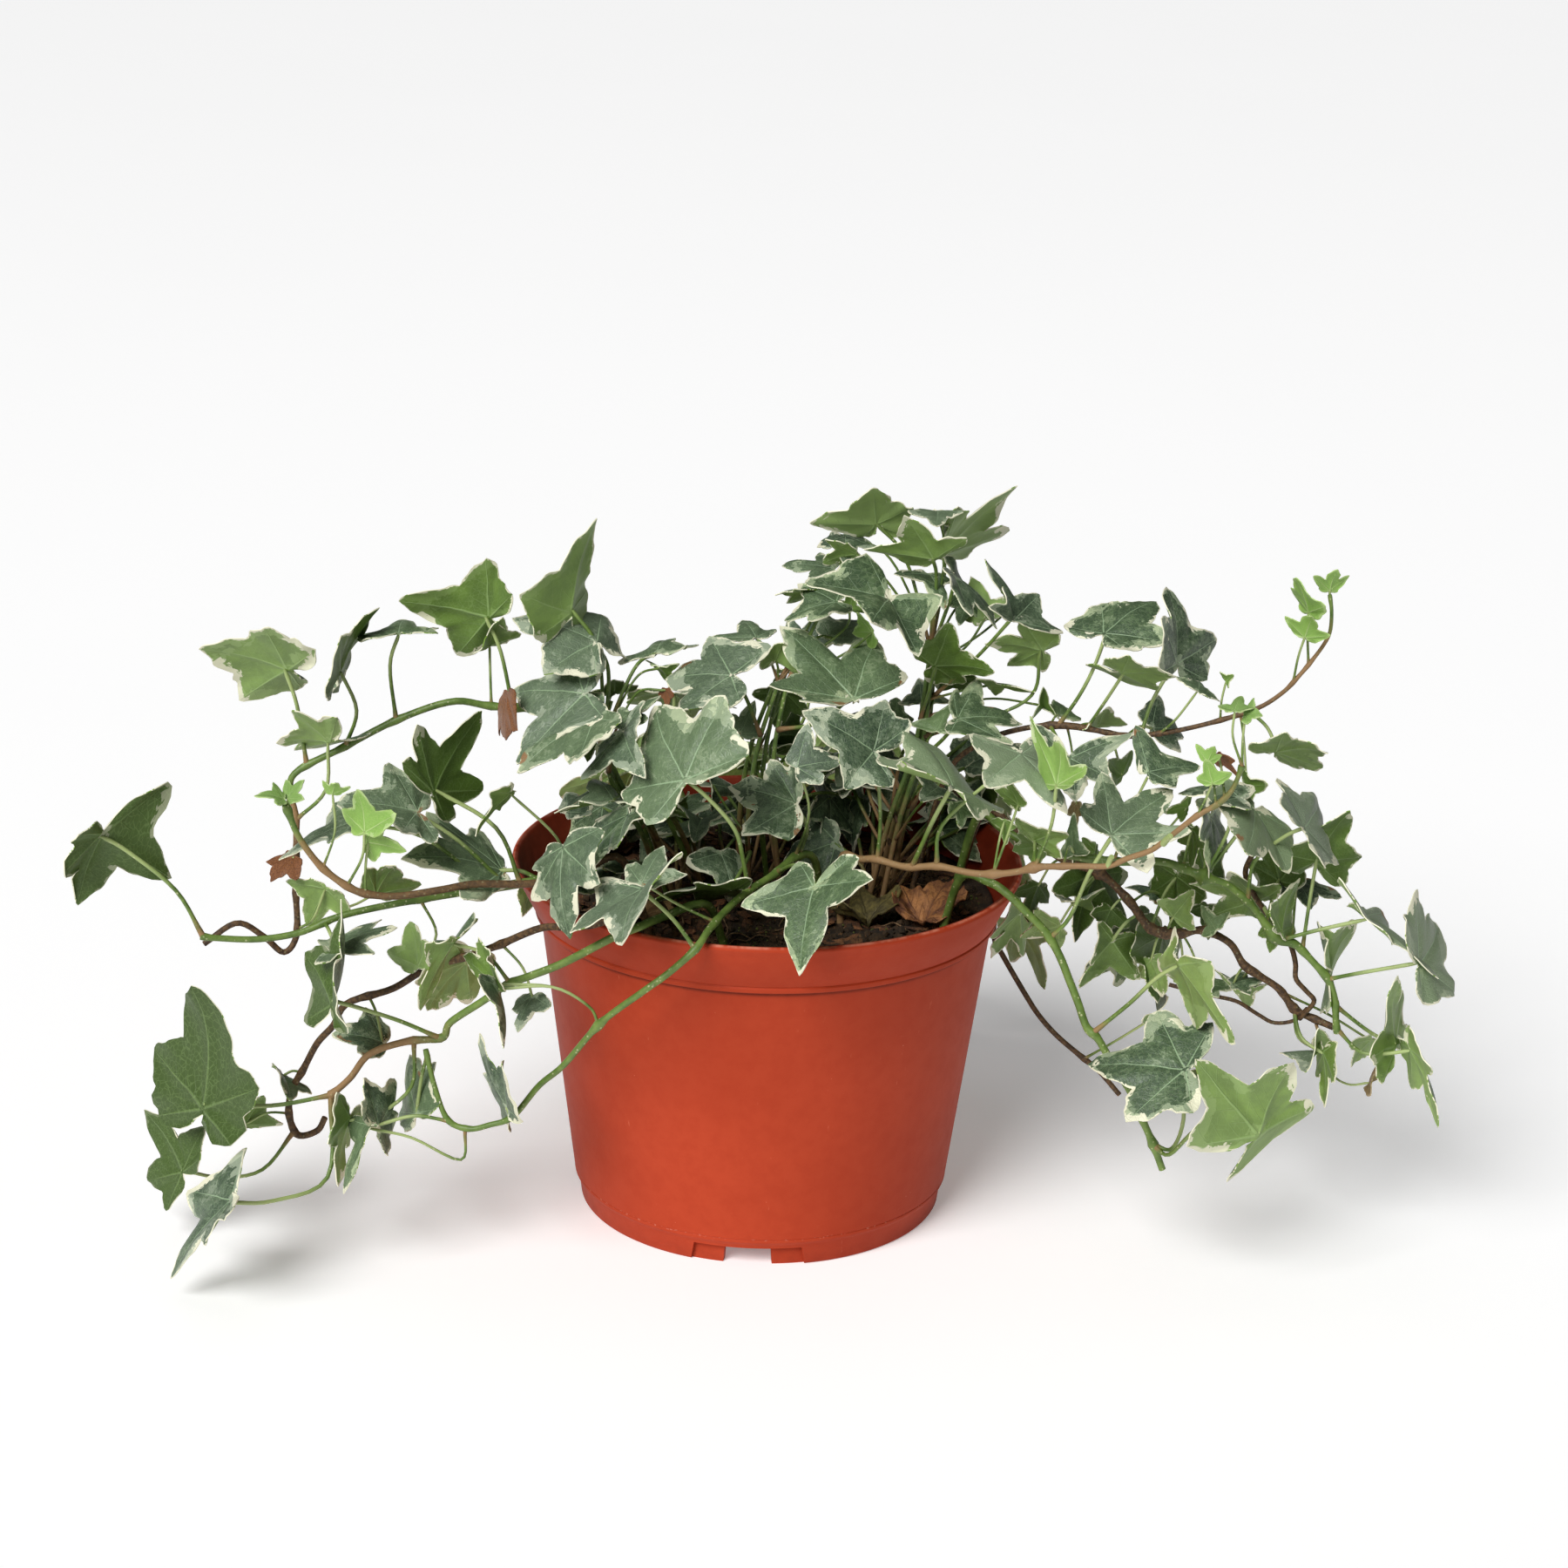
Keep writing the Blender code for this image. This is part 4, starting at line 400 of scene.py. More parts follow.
stem("right_upper_stem", (44, 8), [
    52,134,8, 62,145,6, 75,150,4, 88,151,2, 104,148.5,-1, 114.5,149.4,-3, 127.3,152.5,-5, 141.9,157.6,-7,
    149.3,162.6,-8, 153.5,167.4,-9, 157.1,172.3,-9, 160.6,177.8,-10, 162.2,182,-10, 162.2,188,-10,
    161.3,193,-10
], (1.2, 0.7), (1.0, 1.0, 0.8, 0.3), [
    top(2, 96.7,179.5, [84.6,181, 95,189.4, 111,190.9, 115.6,177.6, 103,174.2], [85.8,151, 90,160, 94,169],
        shade=0.9, uncut=True),
    under(-8, 102.2,167.6, [97,172, 104.5,173, 118,167, 113,162.5, 91.5,170.5], [94,150, 98,159],
          uncut=True),
    top(4, 118.2,170.9, [126,166, 128.4,178.7, 114.3,195.3, 112.4,184], [108,149, 112,160], shade=1.0),
    top(-10, 124.8,162.7, [118,167, 125,166, 131.5,160], [115,149.5, 119,154]),
    top(10, 112,151, [104,157, 113,160.5, 122,150, 121,143.6], [105,148.5], shade=1.0),
    top(14, 85,154, [79,157, 84,159, 91,153], [82,150.5]),
    under(6, 96,151, [92,150, 99,157.5, 105,152], [90,150.5]),
    top(-14, 88,141, [76.3,152, 82,132, 91,128, 100,135, 105.8,149.4], [83,151, 85,146]),
    under(-10, 161,194.4, [155.9,198.8, 162.9,201, 166.3,198.9], [161.3,192], youth=1.0),
    under(-12, 155.7,187.6, [149.7,194.5, 150.8,198.3, 160.1,189.4], [156,172, 155.8,180], youth=1.0),
    under(-14, 155,180, [148.7,185.7, 156.8,187, 162,180.3], [152,166, 153.5,174], youth=1.0),
    under(-6, 133,166, [131,169, 135,168, 134,164], [131,153.5, 132,160]),
    under(-12, 149,144.7, [140.4,145.5, 150.9,150.5, 164.6,146, 163,140, 156,139.5], [141,157, 146,152],
          uncut=True)])

print("stems:", len(STEMS), "leaves:", sum(len(plant["leaves"]) for plant in STEMS))

# %% [markdown]
# ## Leaves in the shade
#
# The measured model holds the leaves that make the plant's outline. Behind and between them the real
# plant has many more, most of them dark, because the others take their light. They are read in the same
# way and grow from the same stems, and they are listed apart because only this dressed model has them.
# So are a few bare side shoots.

# %% The list of shaded leaves
# Leaves in the shade that have no shade of their own get this one, which paints them darker: painted shade
DEEP_SHADE = 1.4
SHADED_LEAVES = {
    "left_arching_stem": [
        top(-12, -77.5,156, [-81,144, -78,142, -75,145], [-77,153], dry=1.0),
        top(-12, -141.5,103.5, [-149.5,102, -149,96, -141,96.5], [-141,106], dry=1.0)],
    "crown_left_stem": [
        under(14, -46,157.5, [-54,157, -46,162, -39,160], [-47,146]),
        under(4, -52,143, [-53,147.5, -63,141, -54,136], [-46,130]),
        under(0, -25,124.5, [-24,127, -33,119, -24,119], [-38,116]),
        top(-8, -60,120, [-60,126, -48,129, -53,120], [-44,122]),
        top(-40, -42,119.5, [-45,109, -58,96.5, -54.5,112.5], [-38,108]),
        top(-36, -41,102, [-50,103, -47,107, -37,105], [-34,100]),
        top(-44, -50,96, [-62,97, -55,104, -44,102], [-36,98]),
        under(-16, -31,159, [-33,157, -30.5,153, -28.5,157], [-44,150], dry=1.0)],
    "crown_middle_stem": [
        under(22, 4,159, [-6,158, 1,148, 11,152], [0,140]),
        under(26, 2,146, [9,156, 12,145, 1,139], [-1,132]),
        under(10, -3,136.5, [-1,139, -10,135.5, -4,133], [-2,126]),
        top(-34, -14,108.5, [-7,104, -9,91.5, -24.5,105], [-4,112]),
        under(-52, -10,97, [-20,92, -35,93.5, -20,98.5], [-2,104]),
        top(30, 18,127, [11,121, 17,108, 25,116], [4,118]),
        top(36, 28,127, [23,121, 25,109, 30,118], [10,118]),
        top(18, 8,172, [4,182, 14,183, 18,175], [3,160])],
    "crown_right_stem": [
        under(12, 51,165, [49.5,161, 62,160, 61,165.5], [45,150]),
        top(14, 44,157, [37,157, 43,165, 53,158], [43,140]),
        top(20, 36,151, [30,154, 37,159, 42,152], [41,134]),
        under(16, 80,157, [76,152, 79.5,163, 85,153], [56,150]),
        top(-20, 50,131, [43,134.5, 45,126.5, 56,127], [41,122]),
        top(-38, 55.5,126, [53.5,121.5, 57.5,118.2, 61.5,122], [44,112]),
        top(12, 56,190, [50,187, 54,181, 61,183], [47,172]),
        top(18, 20,207, [12,203, 21,199, 30,203], [45,184])],
    "front_right_stem": [
        under(-30, 81,113, [74,117.5, 73,112, 79.5,107], [79,106]),
        under(-46, 70,121, [66,121, 71,113.5, 74,119], [67,104.5]),
        under(-66, 132,143.5, [132,140, 139,136, 137,141.5], [134,130], dry=1.0)],
    "right_upper_stem": [
        under(-4, 104,136, [101,133.5, 99.5,141, 107,144], [100,149]),
        under(-8, 141,133.5, [139,140, 148,134.5, 143,127], [141,150]),
        top(12, 91,127, [88.5,123.5, 91,118.5, 93.5,123.5], [88,149], dry=0.6)],
    "right_green_stem": [
        top(-34, 139,130, [130,127, 121,132, 131,137], [130,105, 136,118]),
        top(-22, 131,124, [128.5,117, 132,104, 137,113], [130,105]),
        under(4, 131,105, [122,111, 125,122, 135,117], [130,104]),
        under(-6, 153,104, [143,110, 147,120, 161,117], [152,92]),
        under(-18, 126,120, [122,116, 127,107, 130.5,114], [124,107.5]),
        top(0, 158,104.5, [153,99, 163,95.5, 172,99], [158,84.5]),
        under(-24, 151.5,89.5, [147.5,86.5, 152,81.5, 156.5,84], [152,87]),
        under(4, 98,112, [93,116, 90,107, 100,104], [97,110])],
    "right_brown_stem": [
        top(10, 119.5,98.5, [116,96, 107,101, 115,104], [108,96.5]),
        under(6, 81,101, [74,98, 78,89, 85,95], [88,109]),
        under(4, 98,105, [86,99, 92,83, 108,89], [99,105]),
        under(12, 112,85, [102,86, 94,70, 107,68], [115,88]),
        under(2, 122,105, [114.5,99, 124,85, 131,98], [115,88]),
        under(8, 119,86, [110,80, 118,64, 125,74], [121,87]),
        under(-6, 103,94, [97,92, 100,82, 109,88], [108,97]),
        under(0, 126,76, [121,80, 128,68, 134,77], [124,86]),
        under(8, 132,96, [126,94, 133,85, 139,92], [131,88]),
        top(-12, 132,70, [133,76, 141.5,69.5, 137,66], [127,72]),
        top(-14, 141,71, [144.5,74.5, 151,72.5, 146.5,67.5], [137,67])],
    "front_left_stem": [
        top(-64, -117,16.5, [-122.5,22, -121,33, -111,33, -111.5,18.5], [-96,19.5]),
        under(-72, -81,64, [-90.5,73.5, -86,79.5, -82.5,72], [-49.5,52.5, -53,58, -64,64], shade=0.9,
              uncut=True),
        leaf("turned top", -69, -77.6,23.3, [-84,34, -86.3,48.5, -79,39], [-76,21])],
    "left_front_stem": [
        top(-50, -123,115.5, [-129,119.5, -145.5,103, -127.5,109], [-84,95], shade=0.4)]}
# Bare side shoots: the stem that they belong to, their route, their radius and their bark tone
SIDE_SHOOTS = [
    ("right_brown_stem", [147,119,-25, 144.5,113,-25, 142.5,107,-24, 144.5,101.5,-24, 148,96,-24,
     153.5,89,-25, 157.5,84,-25, 159.5,78,-25, 160,73,-25, 163.5,69,-24, 166,66,-24, 164,62.5,-22,
     162,60,-20], 0.85, 0.95),
    ("right_brown_stem", [122,70,-10, 132,67.5,-13, 137,66.5,-14, 143,65,-15, 149.5,61,-16, 154.5,58.5,-17,
     160.5,59.5,-18, 164,63.5,-20], 0.7, 0.95),
    ("front_right_stem", [117.5,115,-67, 118.5,116.5,-69, 119.5,117.5,-71], 1.0, -0.7),
    ("front_right_stem", [101.5,107.5,-62, 102,109.5,-63, 102.5,110.5,-64], 0.9, -0.7)]
for plant in STEMS:
    for row in SHADED_LEAVES.get(plant["name"], []):
        row.setdefault("shade", DEEP_SHADE)
        plant["leaves"].append(row)
print("with those in the shade:", sum(len(plant["leaves"]) for plant in STEMS))

# %% [markdown]
# ## Finishes as sums
#
# Every finish below is worked out by shader nodes. Written as node links, even a simple sum takes a
# dozen lines. So one small class, Signal, wraps a node's socket and lets Python's own signs work on it:
# an expression such as 1 - mask * 0.5 then adds its Math nodes by itself. Finish is one material, and
# its node method adds any other node.

# %% Signals and finishes
class Signal:
    """A number or colour that varies over a surface."""

    def __init__(self, finish, socket):
        self.finish = finish
        self.socket = socket

    def math(self, operation, *values):
        return self.finish.node("ShaderNodeMath", {"operation": operation}, dict(enumerate(values)))

    def __add__(self, other):
        return self.math("ADD", self, other)

    def __radd__(self, other):
        return self.math("ADD", other, self)

    def __sub__(self, other):
        return self.math("SUBTRACT", self, other)

    def __rsub__(self, other):
        return self.math("SUBTRACT", other, self)

    def __mul__(self, other):
        return self.math("MULTIPLY", self, other)

    def __rmul__(self, other):
        return self.math("MULTIPLY", other, self)

    def __truediv__(self, other):
        return self.math("DIVIDE", self, other)

    def __abs__(self):
        return self.math("ABSOLUTE", self)

    def low(self, other):
        return self.math("MINIMUM", self, other)

    def high(self, other):
        return self.math("MAXIMUM", self, other)

    def fraction(self):
        """What is left beside the whole number: it climbs from 0 to 1 again and again."""
        return self.math("FRACT", self)

    def step(self, start, end):
        """0 below start, 1 above end, and a soft rise between."""
        reach = {"Value": self, "From Min": start, "From Max": end}
        return self.finish.node("ShaderNodeMapRange", {"interpolation_type": "SMOOTHSTEP"}, reach)


class Finish:
    """One material, with short words for its nodes."""

    def __init__(self, name, roughness=0.5, **constants):
        self.material = bpy.data.materials.new(name)
        self.material.use_nodes = True
        self.nodes = self.material.node_tree.nodes
        self.links = self.material.node_tree.links
        self.shader = self.nodes["Principled BSDF"]
        self.shader.inputs["Roughness"].default_value = roughness
        for socket, value in constants.items():
            self.shader.inputs[socket.replace("_", " ")].default_value = value

    def node(self, kind, settings=(), values=(), give=0):
        """Adds a node, sets it up, feeds its sockets and gives one of its outputs."""
        made = self.nodes.new(kind)
        for name, value in dict(settings).items():
            setattr(made, name, value)
        for name, value in dict(values).items():
            self.feed(made.inputs[name], value)
        return Signal(self, made.outputs[give])

    def feed(self, socket, value):
        if isinstance(value, Signal):
            self.links.new(value.socket, socket)
        else:
            socket.default_value = value

    def place(self):
        """The point of the object itself, in metres."""
        return self.node("ShaderNodeTexCoord", give="Object")

    def parts(self, place):
        """The three numbers of a place, each on its own."""
        split = self.node("ShaderNodeSeparateXYZ", (), {0: place}).socket.node
        return [Signal(self, output) for output in split.outputs]

    def stretched(self, place, scale):
        return self.node("ShaderNodeMapping", (), {0: place, 3: scale})

    def attribute(self, name):
        return self.node("ShaderNodeAttribute", {"attribute_name": name}, give="Fac")

    def mix(self, share, first, second, blend="MIX"):
        colours = {0: share, 6: first, 7: second}
        return self.node("ShaderNodeMix", {"data_type": "RGBA", "blend_type": blend}, colours, give=2)

    def clouds(self, place, scale, detail=2.0, rough=0.5, seed=0.0):
        """Soft noise from 0 to 1. seed moves it elsewhere."""
        values = {"Vector": place, "Scale": scale, "Detail": detail, "Roughness": rough, "W": seed}
        return self.node("ShaderNodeTexNoise", {"noise_dimensions": "4D"}, values)

    def cells(self, place, scale, seed=0.0, feature="F1", give="Distance"):
        """A pattern of angular cells: the distance to a cell's middle or to its edge."""
        values = {"Vector": place, "Scale": scale, "W": seed}
        settings = {"voronoi_dimensions": "4D", "feature": feature}
        return self.node("ShaderNodeTexVoronoi", settings, values, give)

    def tiles(self, place, scale, seed):
        """Angular cells that each hold one number of their own, from 0 to 1."""
        colour = self.cells(place, scale, seed, give="Color")
        return self.node("ShaderNodeSeparateColor", (), {0: colour})

    def relief(self, height, depth, strength):
        """Feeds the shader a bumped surface, with the relief's depth in millimetres."""
        values = {"Height": height, "Distance": depth * MM, "Strength": strength}
        self.feed(self.shader.inputs["Normal"], self.node("ShaderNodeBump", (), values))

    def colour(self, value):
        self.feed(self.shader.inputs["Base Color"], value)

    def rough(self, value):
        self.feed(self.shader.inputs["Roughness"], value)


def tint(red, green, blue):
    """A colour as a screen shows it, from 0 to 255, in the linear numbers that a shader needs."""
    parts = [part / 255 for part in (red, green, blue)]
    return (*(p / 12.92 if p <= 0.04045 else ((p + 0.055) / 1.055) ** 2.4 for p in parts), 1.0)


print("middle grey in the shader's numbers:", round(tint(128, 128, 128)[0], 3))

# %% [markdown]
# ## How a leaf lies
#
# An ivy leaf has five lobes, and the main veins run straight to their tips. From the lobe tips as seen,
# leaf_shape works out how the leaf tilts: whatever it lost in its seen length, it has in depth. Of the
# two tilts that look alike from the front, it takes the one whose upper side sees more sky, since
# leaves turn to the light. Only a leaf that is marked as turned takes the other one.

# %% A leaf's tips in space
LOBES = np.array([(-0.52, -0.20), (-0.68, 0.38), (0.0, 1.0), (0.68, 0.38), (0.52, -0.20)])
DROOP = 0.12


def leaf_shape(row):
    """A leaf's stalk point, its five lobe tips, its upward direction and its length."""
    base = seen_at(*row["base"], row["depth"])
    reach = (base - EYE).dot(-TO_VIEWER)
    known = [1, 2, 3] if len(row["lobes"]) == 3 else list(range(len(row["lobes"])))
    seen = []
    for across, up in row["lobes"]:
        sight = seen_at(across, up) - EYE
        spread = EYE + sight * (reach / sight.dot(-TO_VIEWER)) - base
        seen.append((spread.dot(VIEW_RIGHT), spread.dot(VIEW_UP)))
    flat = np.linalg.lstsq(LOBES[known], np.array(seen), rcond=None)[0].T
    _, (length, narrow), turns = np.linalg.svd(flat)
    lean = math.sqrt(length ** 2 - narrow ** 2) * turns[1]
    choices = []
    for side in (1, -1):
        first, second = (VIEW_RIGHT * flat[0][k] + VIEW_UP * flat[1][k] + TO_VIEWER * side * lean[k]
                         for k in (0, 1))
        up = first.cross(second).normalized()
        if (up.dot(TO_VIEWER) > 0) != row["face"].endswith("top"):
            up = -up
        choices.append((up.z, side, up))
    _, side, up = (min if row["face"].startswith("turned") else max)(choices)
    tips = []
    for k, lobe in enumerate(LOBES):
        x, y = seen[known.index(k)] if k in known else flat @ lobe
        place = base + VIEW_RIGHT * x + VIEW_UP * y
        near = side * float(lean @ lobe)
        tips.append(EYE + (place - EYE) * (1 - near / reach))
    return base, tips, up, length


def grown_leaf(base, along, up, length):
    """A leaf placed by rule: its tips are spread round its own direction, and droop a little."""
    along = (along - up * up.dot(along)).normalized()
    across = along.cross(up)
    tips = [base + (across * x + along * y) * length - up * length * DROOP * (x * x + y * y)
            for x, y in LOBES]
    return base, tips, up, length


lengths = [leaf_shape(row)[3] for plant in STEMS for row in plant["leaves"]]
print("leaf lengths from", round(min(lengths)), "to", round(max(lengths)), "mm")

# %% [markdown]
# ## One leaf blank
#
# All the leaves are the same leaf, bent and stretched in its own way, so the leaf is modelled once. It
# starts as a circle, whose edge is extruded and shrunk ring by ring to the middle. Then the rings are
# moved out to a leaf's outline, which is drawn by one short curve per stretch: round at the base, a cut
# between the lobes, and a long shoulder up to the tip. The blank keeps its flat coordinates as its UV
# map, so that the veins and the cream edge stay on it however it is bent, and it keeps how far each
# point lies from the edge. The first helpers here serve every piece of the plant.

# %% Model the leaf blanks
def only(piece):
    """Makes one piece the selected and active one."""
    bpy.ops.object.select_all(action="DESELECT")
    piece.select_set(True)
    bpy.context.view_layer.objects.active = piece


def open_mesh():
    """Opens the active piece for editing, with all of it selected."""
    bpy.ops.object.mode_set(mode="EDIT")
    bpy.ops.mesh.select_all(action="SELECT")


def close_mesh():
    """Turns all faces outwards and ends the editing."""
    bpy.ops.mesh.select_all(action="SELECT")
    bpy.ops.mesh.normals_make_consistent(inside=False)
    bpy.ops.object.mode_set(mode="OBJECT")


def mark(piece, title, values):
    """Gives every point of a piece a number that the finishes can read."""
    piece.data.attributes.new(title, "FLOAT", "POINT").data.foreach_set("value", values)


RING_SHARES = (0.955, 0.90, 0.83, 0.74, 0.63, 0.51, 0.39, 0.27, 0.15, 0.06)
SMALL_RING_SHARES = (0.93, 0.82, 0.66, 0.48, 0.28, 0.1)
LEAF_HUB = (0.0, 0.04)
NOTCH_DEPTH = 0.05
UV_SCALE = 0.6
UV_MIDDLE = (0.5, 0.25)
# Each stretch of the right half: where it ends, the point that bends it, and its number of steps
LEAF_EDGE = [((0.52, -0.20), (0.22, -0.34), 9), ((0.575, 0.085), (0.62, -0.05), 6),
             ((0.68, 0.38), (0.68, 0.20), 7), ((0.31, 0.53), (0.49, 0.52), 9),
             ((0.0, 1.0), (0.27, 0.80), 17)]
SMALL_LEAF_EDGE = [((0.50, 0.06), (0.34, -0.20), 7), ((0.68, 0.38), (0.66, 0.16), 6),
                   ((0.32, 0.54), (0.48, 0.52), 6), ((0.0, 1.0), (0.27, 0.82), 11)]


def leaf_edge(stretches):
    """The outline as points, from the notch at the stalk round the right side and back on the left."""
    start = np.array((0.0, -NOTCH_DEPTH))
    right = [start]
    for end, bend, steps in stretches:
        for k in range(1, steps + 1):
            t = k / steps
            right.append((1 - t) ** 2 * start + 2 * t * (1 - t) * np.array(bend) + t * t * np.array(end))
        start = np.array(end)
    left = [point * (-1, 1) for point in right[-2:0:-1]]
    return np.array(right + left)


def leaf_blank(name, stretches, shares):
    """A flat leaf one unit long, with its rings, its UV map and its distance from the edge."""
    edge = leaf_edge(stretches)
    count = len(edge)
    bpy.ops.mesh.primitive_circle_add(vertices=count, radius=1.0)
    blank = bpy.context.object
    blank.name = name
    open_mesh()
    size = 1.0
    for share in shares:
        bpy.ops.mesh.extrude_region_move()
        bpy.ops.transform.resize(value=(share / size,) * 3)
        size = share
    bpy.ops.mesh.extrude_region_move()
    bpy.ops.mesh.merge(type="CENTER")
    close_mesh()
    if blank.data.polygons[0].normal.z < 0:
        blank.data.flip_normals()
    hub = np.array(LEAF_HUB)
    at = np.array([vertex.co[:2] for vertex in blank.data.vertices])
    radius = np.linalg.norm(at, axis=1)
    turn = np.arctan2(at[:, 1], at[:, 0])
    # The circle's points stand at even angles, and the one at the foot becomes the notch
    spoke = np.round((turn + math.pi / 2) / math.tau * count).astype(int) % count
    flat = hub + (edge[spoke] - hub) * radius[:, None]
    gaps = []
    for a, b in zip(edge, np.roll(edge, -1, axis=0)):
        along = np.clip(((flat - a) @ (b - a)) / ((b - a) @ (b - a)), 0, 1)
        gaps.append(np.linalg.norm(flat - a - along[:, None] * (b - a), axis=1))
    blank.data.vertices.foreach_set("co", np.c_[flat, np.zeros(len(flat))].ravel())
    mark(blank, "edge_gap", np.min(gaps, axis=0))
    mark(blank, "ring", radius)
    corners = np.array([loop.vertex_index for loop in blank.data.loops])
    blank.data.uv_layers[0].name = "UVMap"
    blank.data.uv_layers[0].uv.foreach_set("vector", (flat * UV_SCALE + UV_MIDDLE)[corners].ravel())
    return blank


big_blank = leaf_blank("leaf_blank", LEAF_EDGE, RING_SHARES)
small_blank = leaf_blank("small_leaf_blank", SMALL_LEAF_EDGE, SMALL_RING_SHARES)
for blank in (big_blank, small_blank):
    print(blank.name, "has", len(blank.data.vertices), "points and", len(blank.data.polygons), "faces")

# %% [markdown]
# ## Bending the blank into a leaf
#
# A living leaf is never flat. Its lobes point their own ways, it is ridged along the midrib, the flesh
# swells a little between the sunken veins, the edge waves, and a few blunt teeth break the outline.
# bent_leaf copies the blank and moves each point: first the whole leaf is stretched so that its lobe
# tips land where they were seen, then the swell and the waves are added along the leaf's own up.

# %% Bend a leaf
SMALL_LEAF = 17.0
DEEP_CUTS = (-0.44, -0.02)
SHALLOW_CUTS = (-0.10, 0.05)
LEAF_THICKNESS = 0.32
VEINS = [lobe / np.linalg.norm(lobe) for lobe in LOBES]
VEIN_LENGTHS = [float(np.linalg.norm(lobe)) for lobe in LOBES]
LOBE_TURNS = [(math.atan2(y, x) + math.pi / 2) % math.tau for x, y in LOBES]
BOX_GAP = 0.3
BOX_LOW = np.array(measured_box[0]) / MM + BOX_GAP
BOX_HIGH = np.array(measured_box[1]) / MM - BOX_GAP
SWELL = 0.020
RIDGE = 0.05
FOLDS = (-0.08, 0.26)
CURLS = (-0.34, 0.04)
# Teeth and waves of the edge: how many stand round the leaf, their size, and which phase they take
TEETH = ((9, 0.020, 0), (17, 0.016, 1), (31, 0.011, 5))
WAVES = ((5, 0.024, 2), (9, 0.018, 3), (16, 0.010, 4))


def vein_gap(flat):
    """How far each flat point lies from the nearest main vein."""
    gaps = []
    for vein, reach in zip(VEINS, VEIN_LENGTHS):
        along = np.clip(flat @ vein, 0, reach)
        gaps.append(np.linalg.norm(flat - along[:, None] * vein, axis=1))
    return np.min(gaps, axis=0)


def lobe_shares(flat):
    """For each flat point, its share of every lobe, growing from the stalk to the tip."""
    turn = (np.arctan2(flat[:, 1], flat[:, 0]) + math.pi / 2) % math.tau
    turn = np.where(turn < LOBE_TURNS[4], turn + math.tau, turn)
    order = [4, 3, 2, 1, 0, 4]
    stops = [*LOBE_TURNS[::-1], LOBE_TURNS[4] + math.tau]
    far = np.linalg.norm(flat, axis=1)
    shares = np.zeros((len(flat), 5))
    for (low, one), (high, other) in zip(zip(stops, order), list(zip(stops, order))[1:]):
        inside = (turn >= low) & (turn <= high)
        t = np.clip((turn - low) / (high - low), 0, 1)
        t = t * t * (3 - 2 * t)
        reach = VEIN_LENGTHS[one] * (1 - t) + VEIN_LENGTHS[other] * t
        grow = np.minimum(far / reach, 1.15)
        shares[inside, one] = ((1 - t) * grow)[inside]
        shares[inside, other] = (t * grow)[inside]
    return shares


def ripples(turn, phases, kinds):
    """A sum of even waves round the leaf."""
    return sum(size * np.sin(count * turn + phases[k]) for count, size, k in kinds)


def added(name, data):
    """A new piece in the scene."""
    piece = bpy.data.objects.new(name, data)
    bpy.context.collection.objects.link(piece)
    return piece


def bent_leaf(name, base, tips, up, length, shade=None, youth=0.0, dry=0.0, uncut=False):
    """A leaf with its own mesh, bent to its lobe tips. Without a shade, its seed gives it one."""
    draw = random.Random(name)
    blank = big_blank if length > SMALL_LEAF and "shaded" not in name else small_blank
    piece = added(name, blank.data.copy())
    count = len(piece.data.vertices)
    at = np.zeros(count * 3)
    piece.data.vertices.foreach_get("co", at)
    flat = at.reshape(-1, 3)[:, :2]
    rim = np.zeros(count)
    piece.data.attributes["ring"].data.foreach_get("value", rim)
    turn = np.arctan2(flat[:, 1], flat[:, 0])
    phases = [draw.uniform(0, 6.28) for _ in range(6)]
    teeth = ripples(turn, phases, TEETH)
    cut = draw.uniform(*(SHALLOW_CUTS if uncut else DEEP_CUTS))
    cut = cut * (1 - np.abs(lobe_shares(flat)).max(axis=1))
    spread = flat * (1 + (teeth + cut) * rim ** 3)[:, None]
    arms = np.array([tip - base for tip in tips])
    lay = np.linalg.lstsq(LOBES, arms, rcond=None)[0]
    own = arms - LOBES @ lay
    places = np.array(base) + spread @ lay + lobe_shares(spread) @ own
    x, y = flat[:, 0], flat[:, 1]
    swell = SWELL * (1 - np.exp(-(vein_gap(flat) / 0.06) ** 2)) * (1 - rim ** 4)
    ridge = RIDGE * np.sin(np.pi * np.clip(y, 0, 1)) * np.exp(-(x / 0.30) ** 2)
    waves = rim ** 3 * ripples(turn, phases, WAVES)
    # A leaf seen from its edge keeps its measured line, and one seen flat may fold and curl more
    faced = abs(up.dot(TO_VIEWER))
    fold = draw.uniform(*FOLDS) * faced * np.abs(x) ** 1.5
    curl = draw.uniform(*CURLS) * faced * np.clip(y - 0.35, 0, 1) ** 2
    places = places + np.array(up) * (length * (swell + ridge + waves + fold + curl))[:, None]
    places = np.clip(places, BOX_LOW, BOX_HIGH)
    piece.data.vertices.foreach_set("co", (places * MM).ravel())
    across = sum((Vector(a).cross(Vector(b)) for a, b in zip(arms[1:], arms[:-1])), Vector())
    if across.dot(up) < 0:
        piece.data.flip_normals()
    for title, value in (("leaf_seed", draw.random()), ("youth", youth), ("dry", dry),
                         ("shade", draw.random() ** 1.4 if shade is None else shade)):
        mark(piece, title, np.full(count, value))
    return piece


sample = np.array([(0.0, 0.5), (0.34, 0.19), (0.3, 0.6)])
print("gap to the nearest vein at three points:", np.round(vein_gap(sample), 3))

# %% [markdown]
# ## Stems and stalks
#
# A stem is a long tube that thins towards its tip and swells where a stalk leaves it. A curve with a
# round bevel gives exactly this, because each of its points has a radius of its own. It is turned into
# a mesh afterwards, and its points are given a tone from 0, green, to 1, brown bark.

# %% Make tubes
STALK_RADIUS = 0.40
STALK_GROWTH = 0.0075


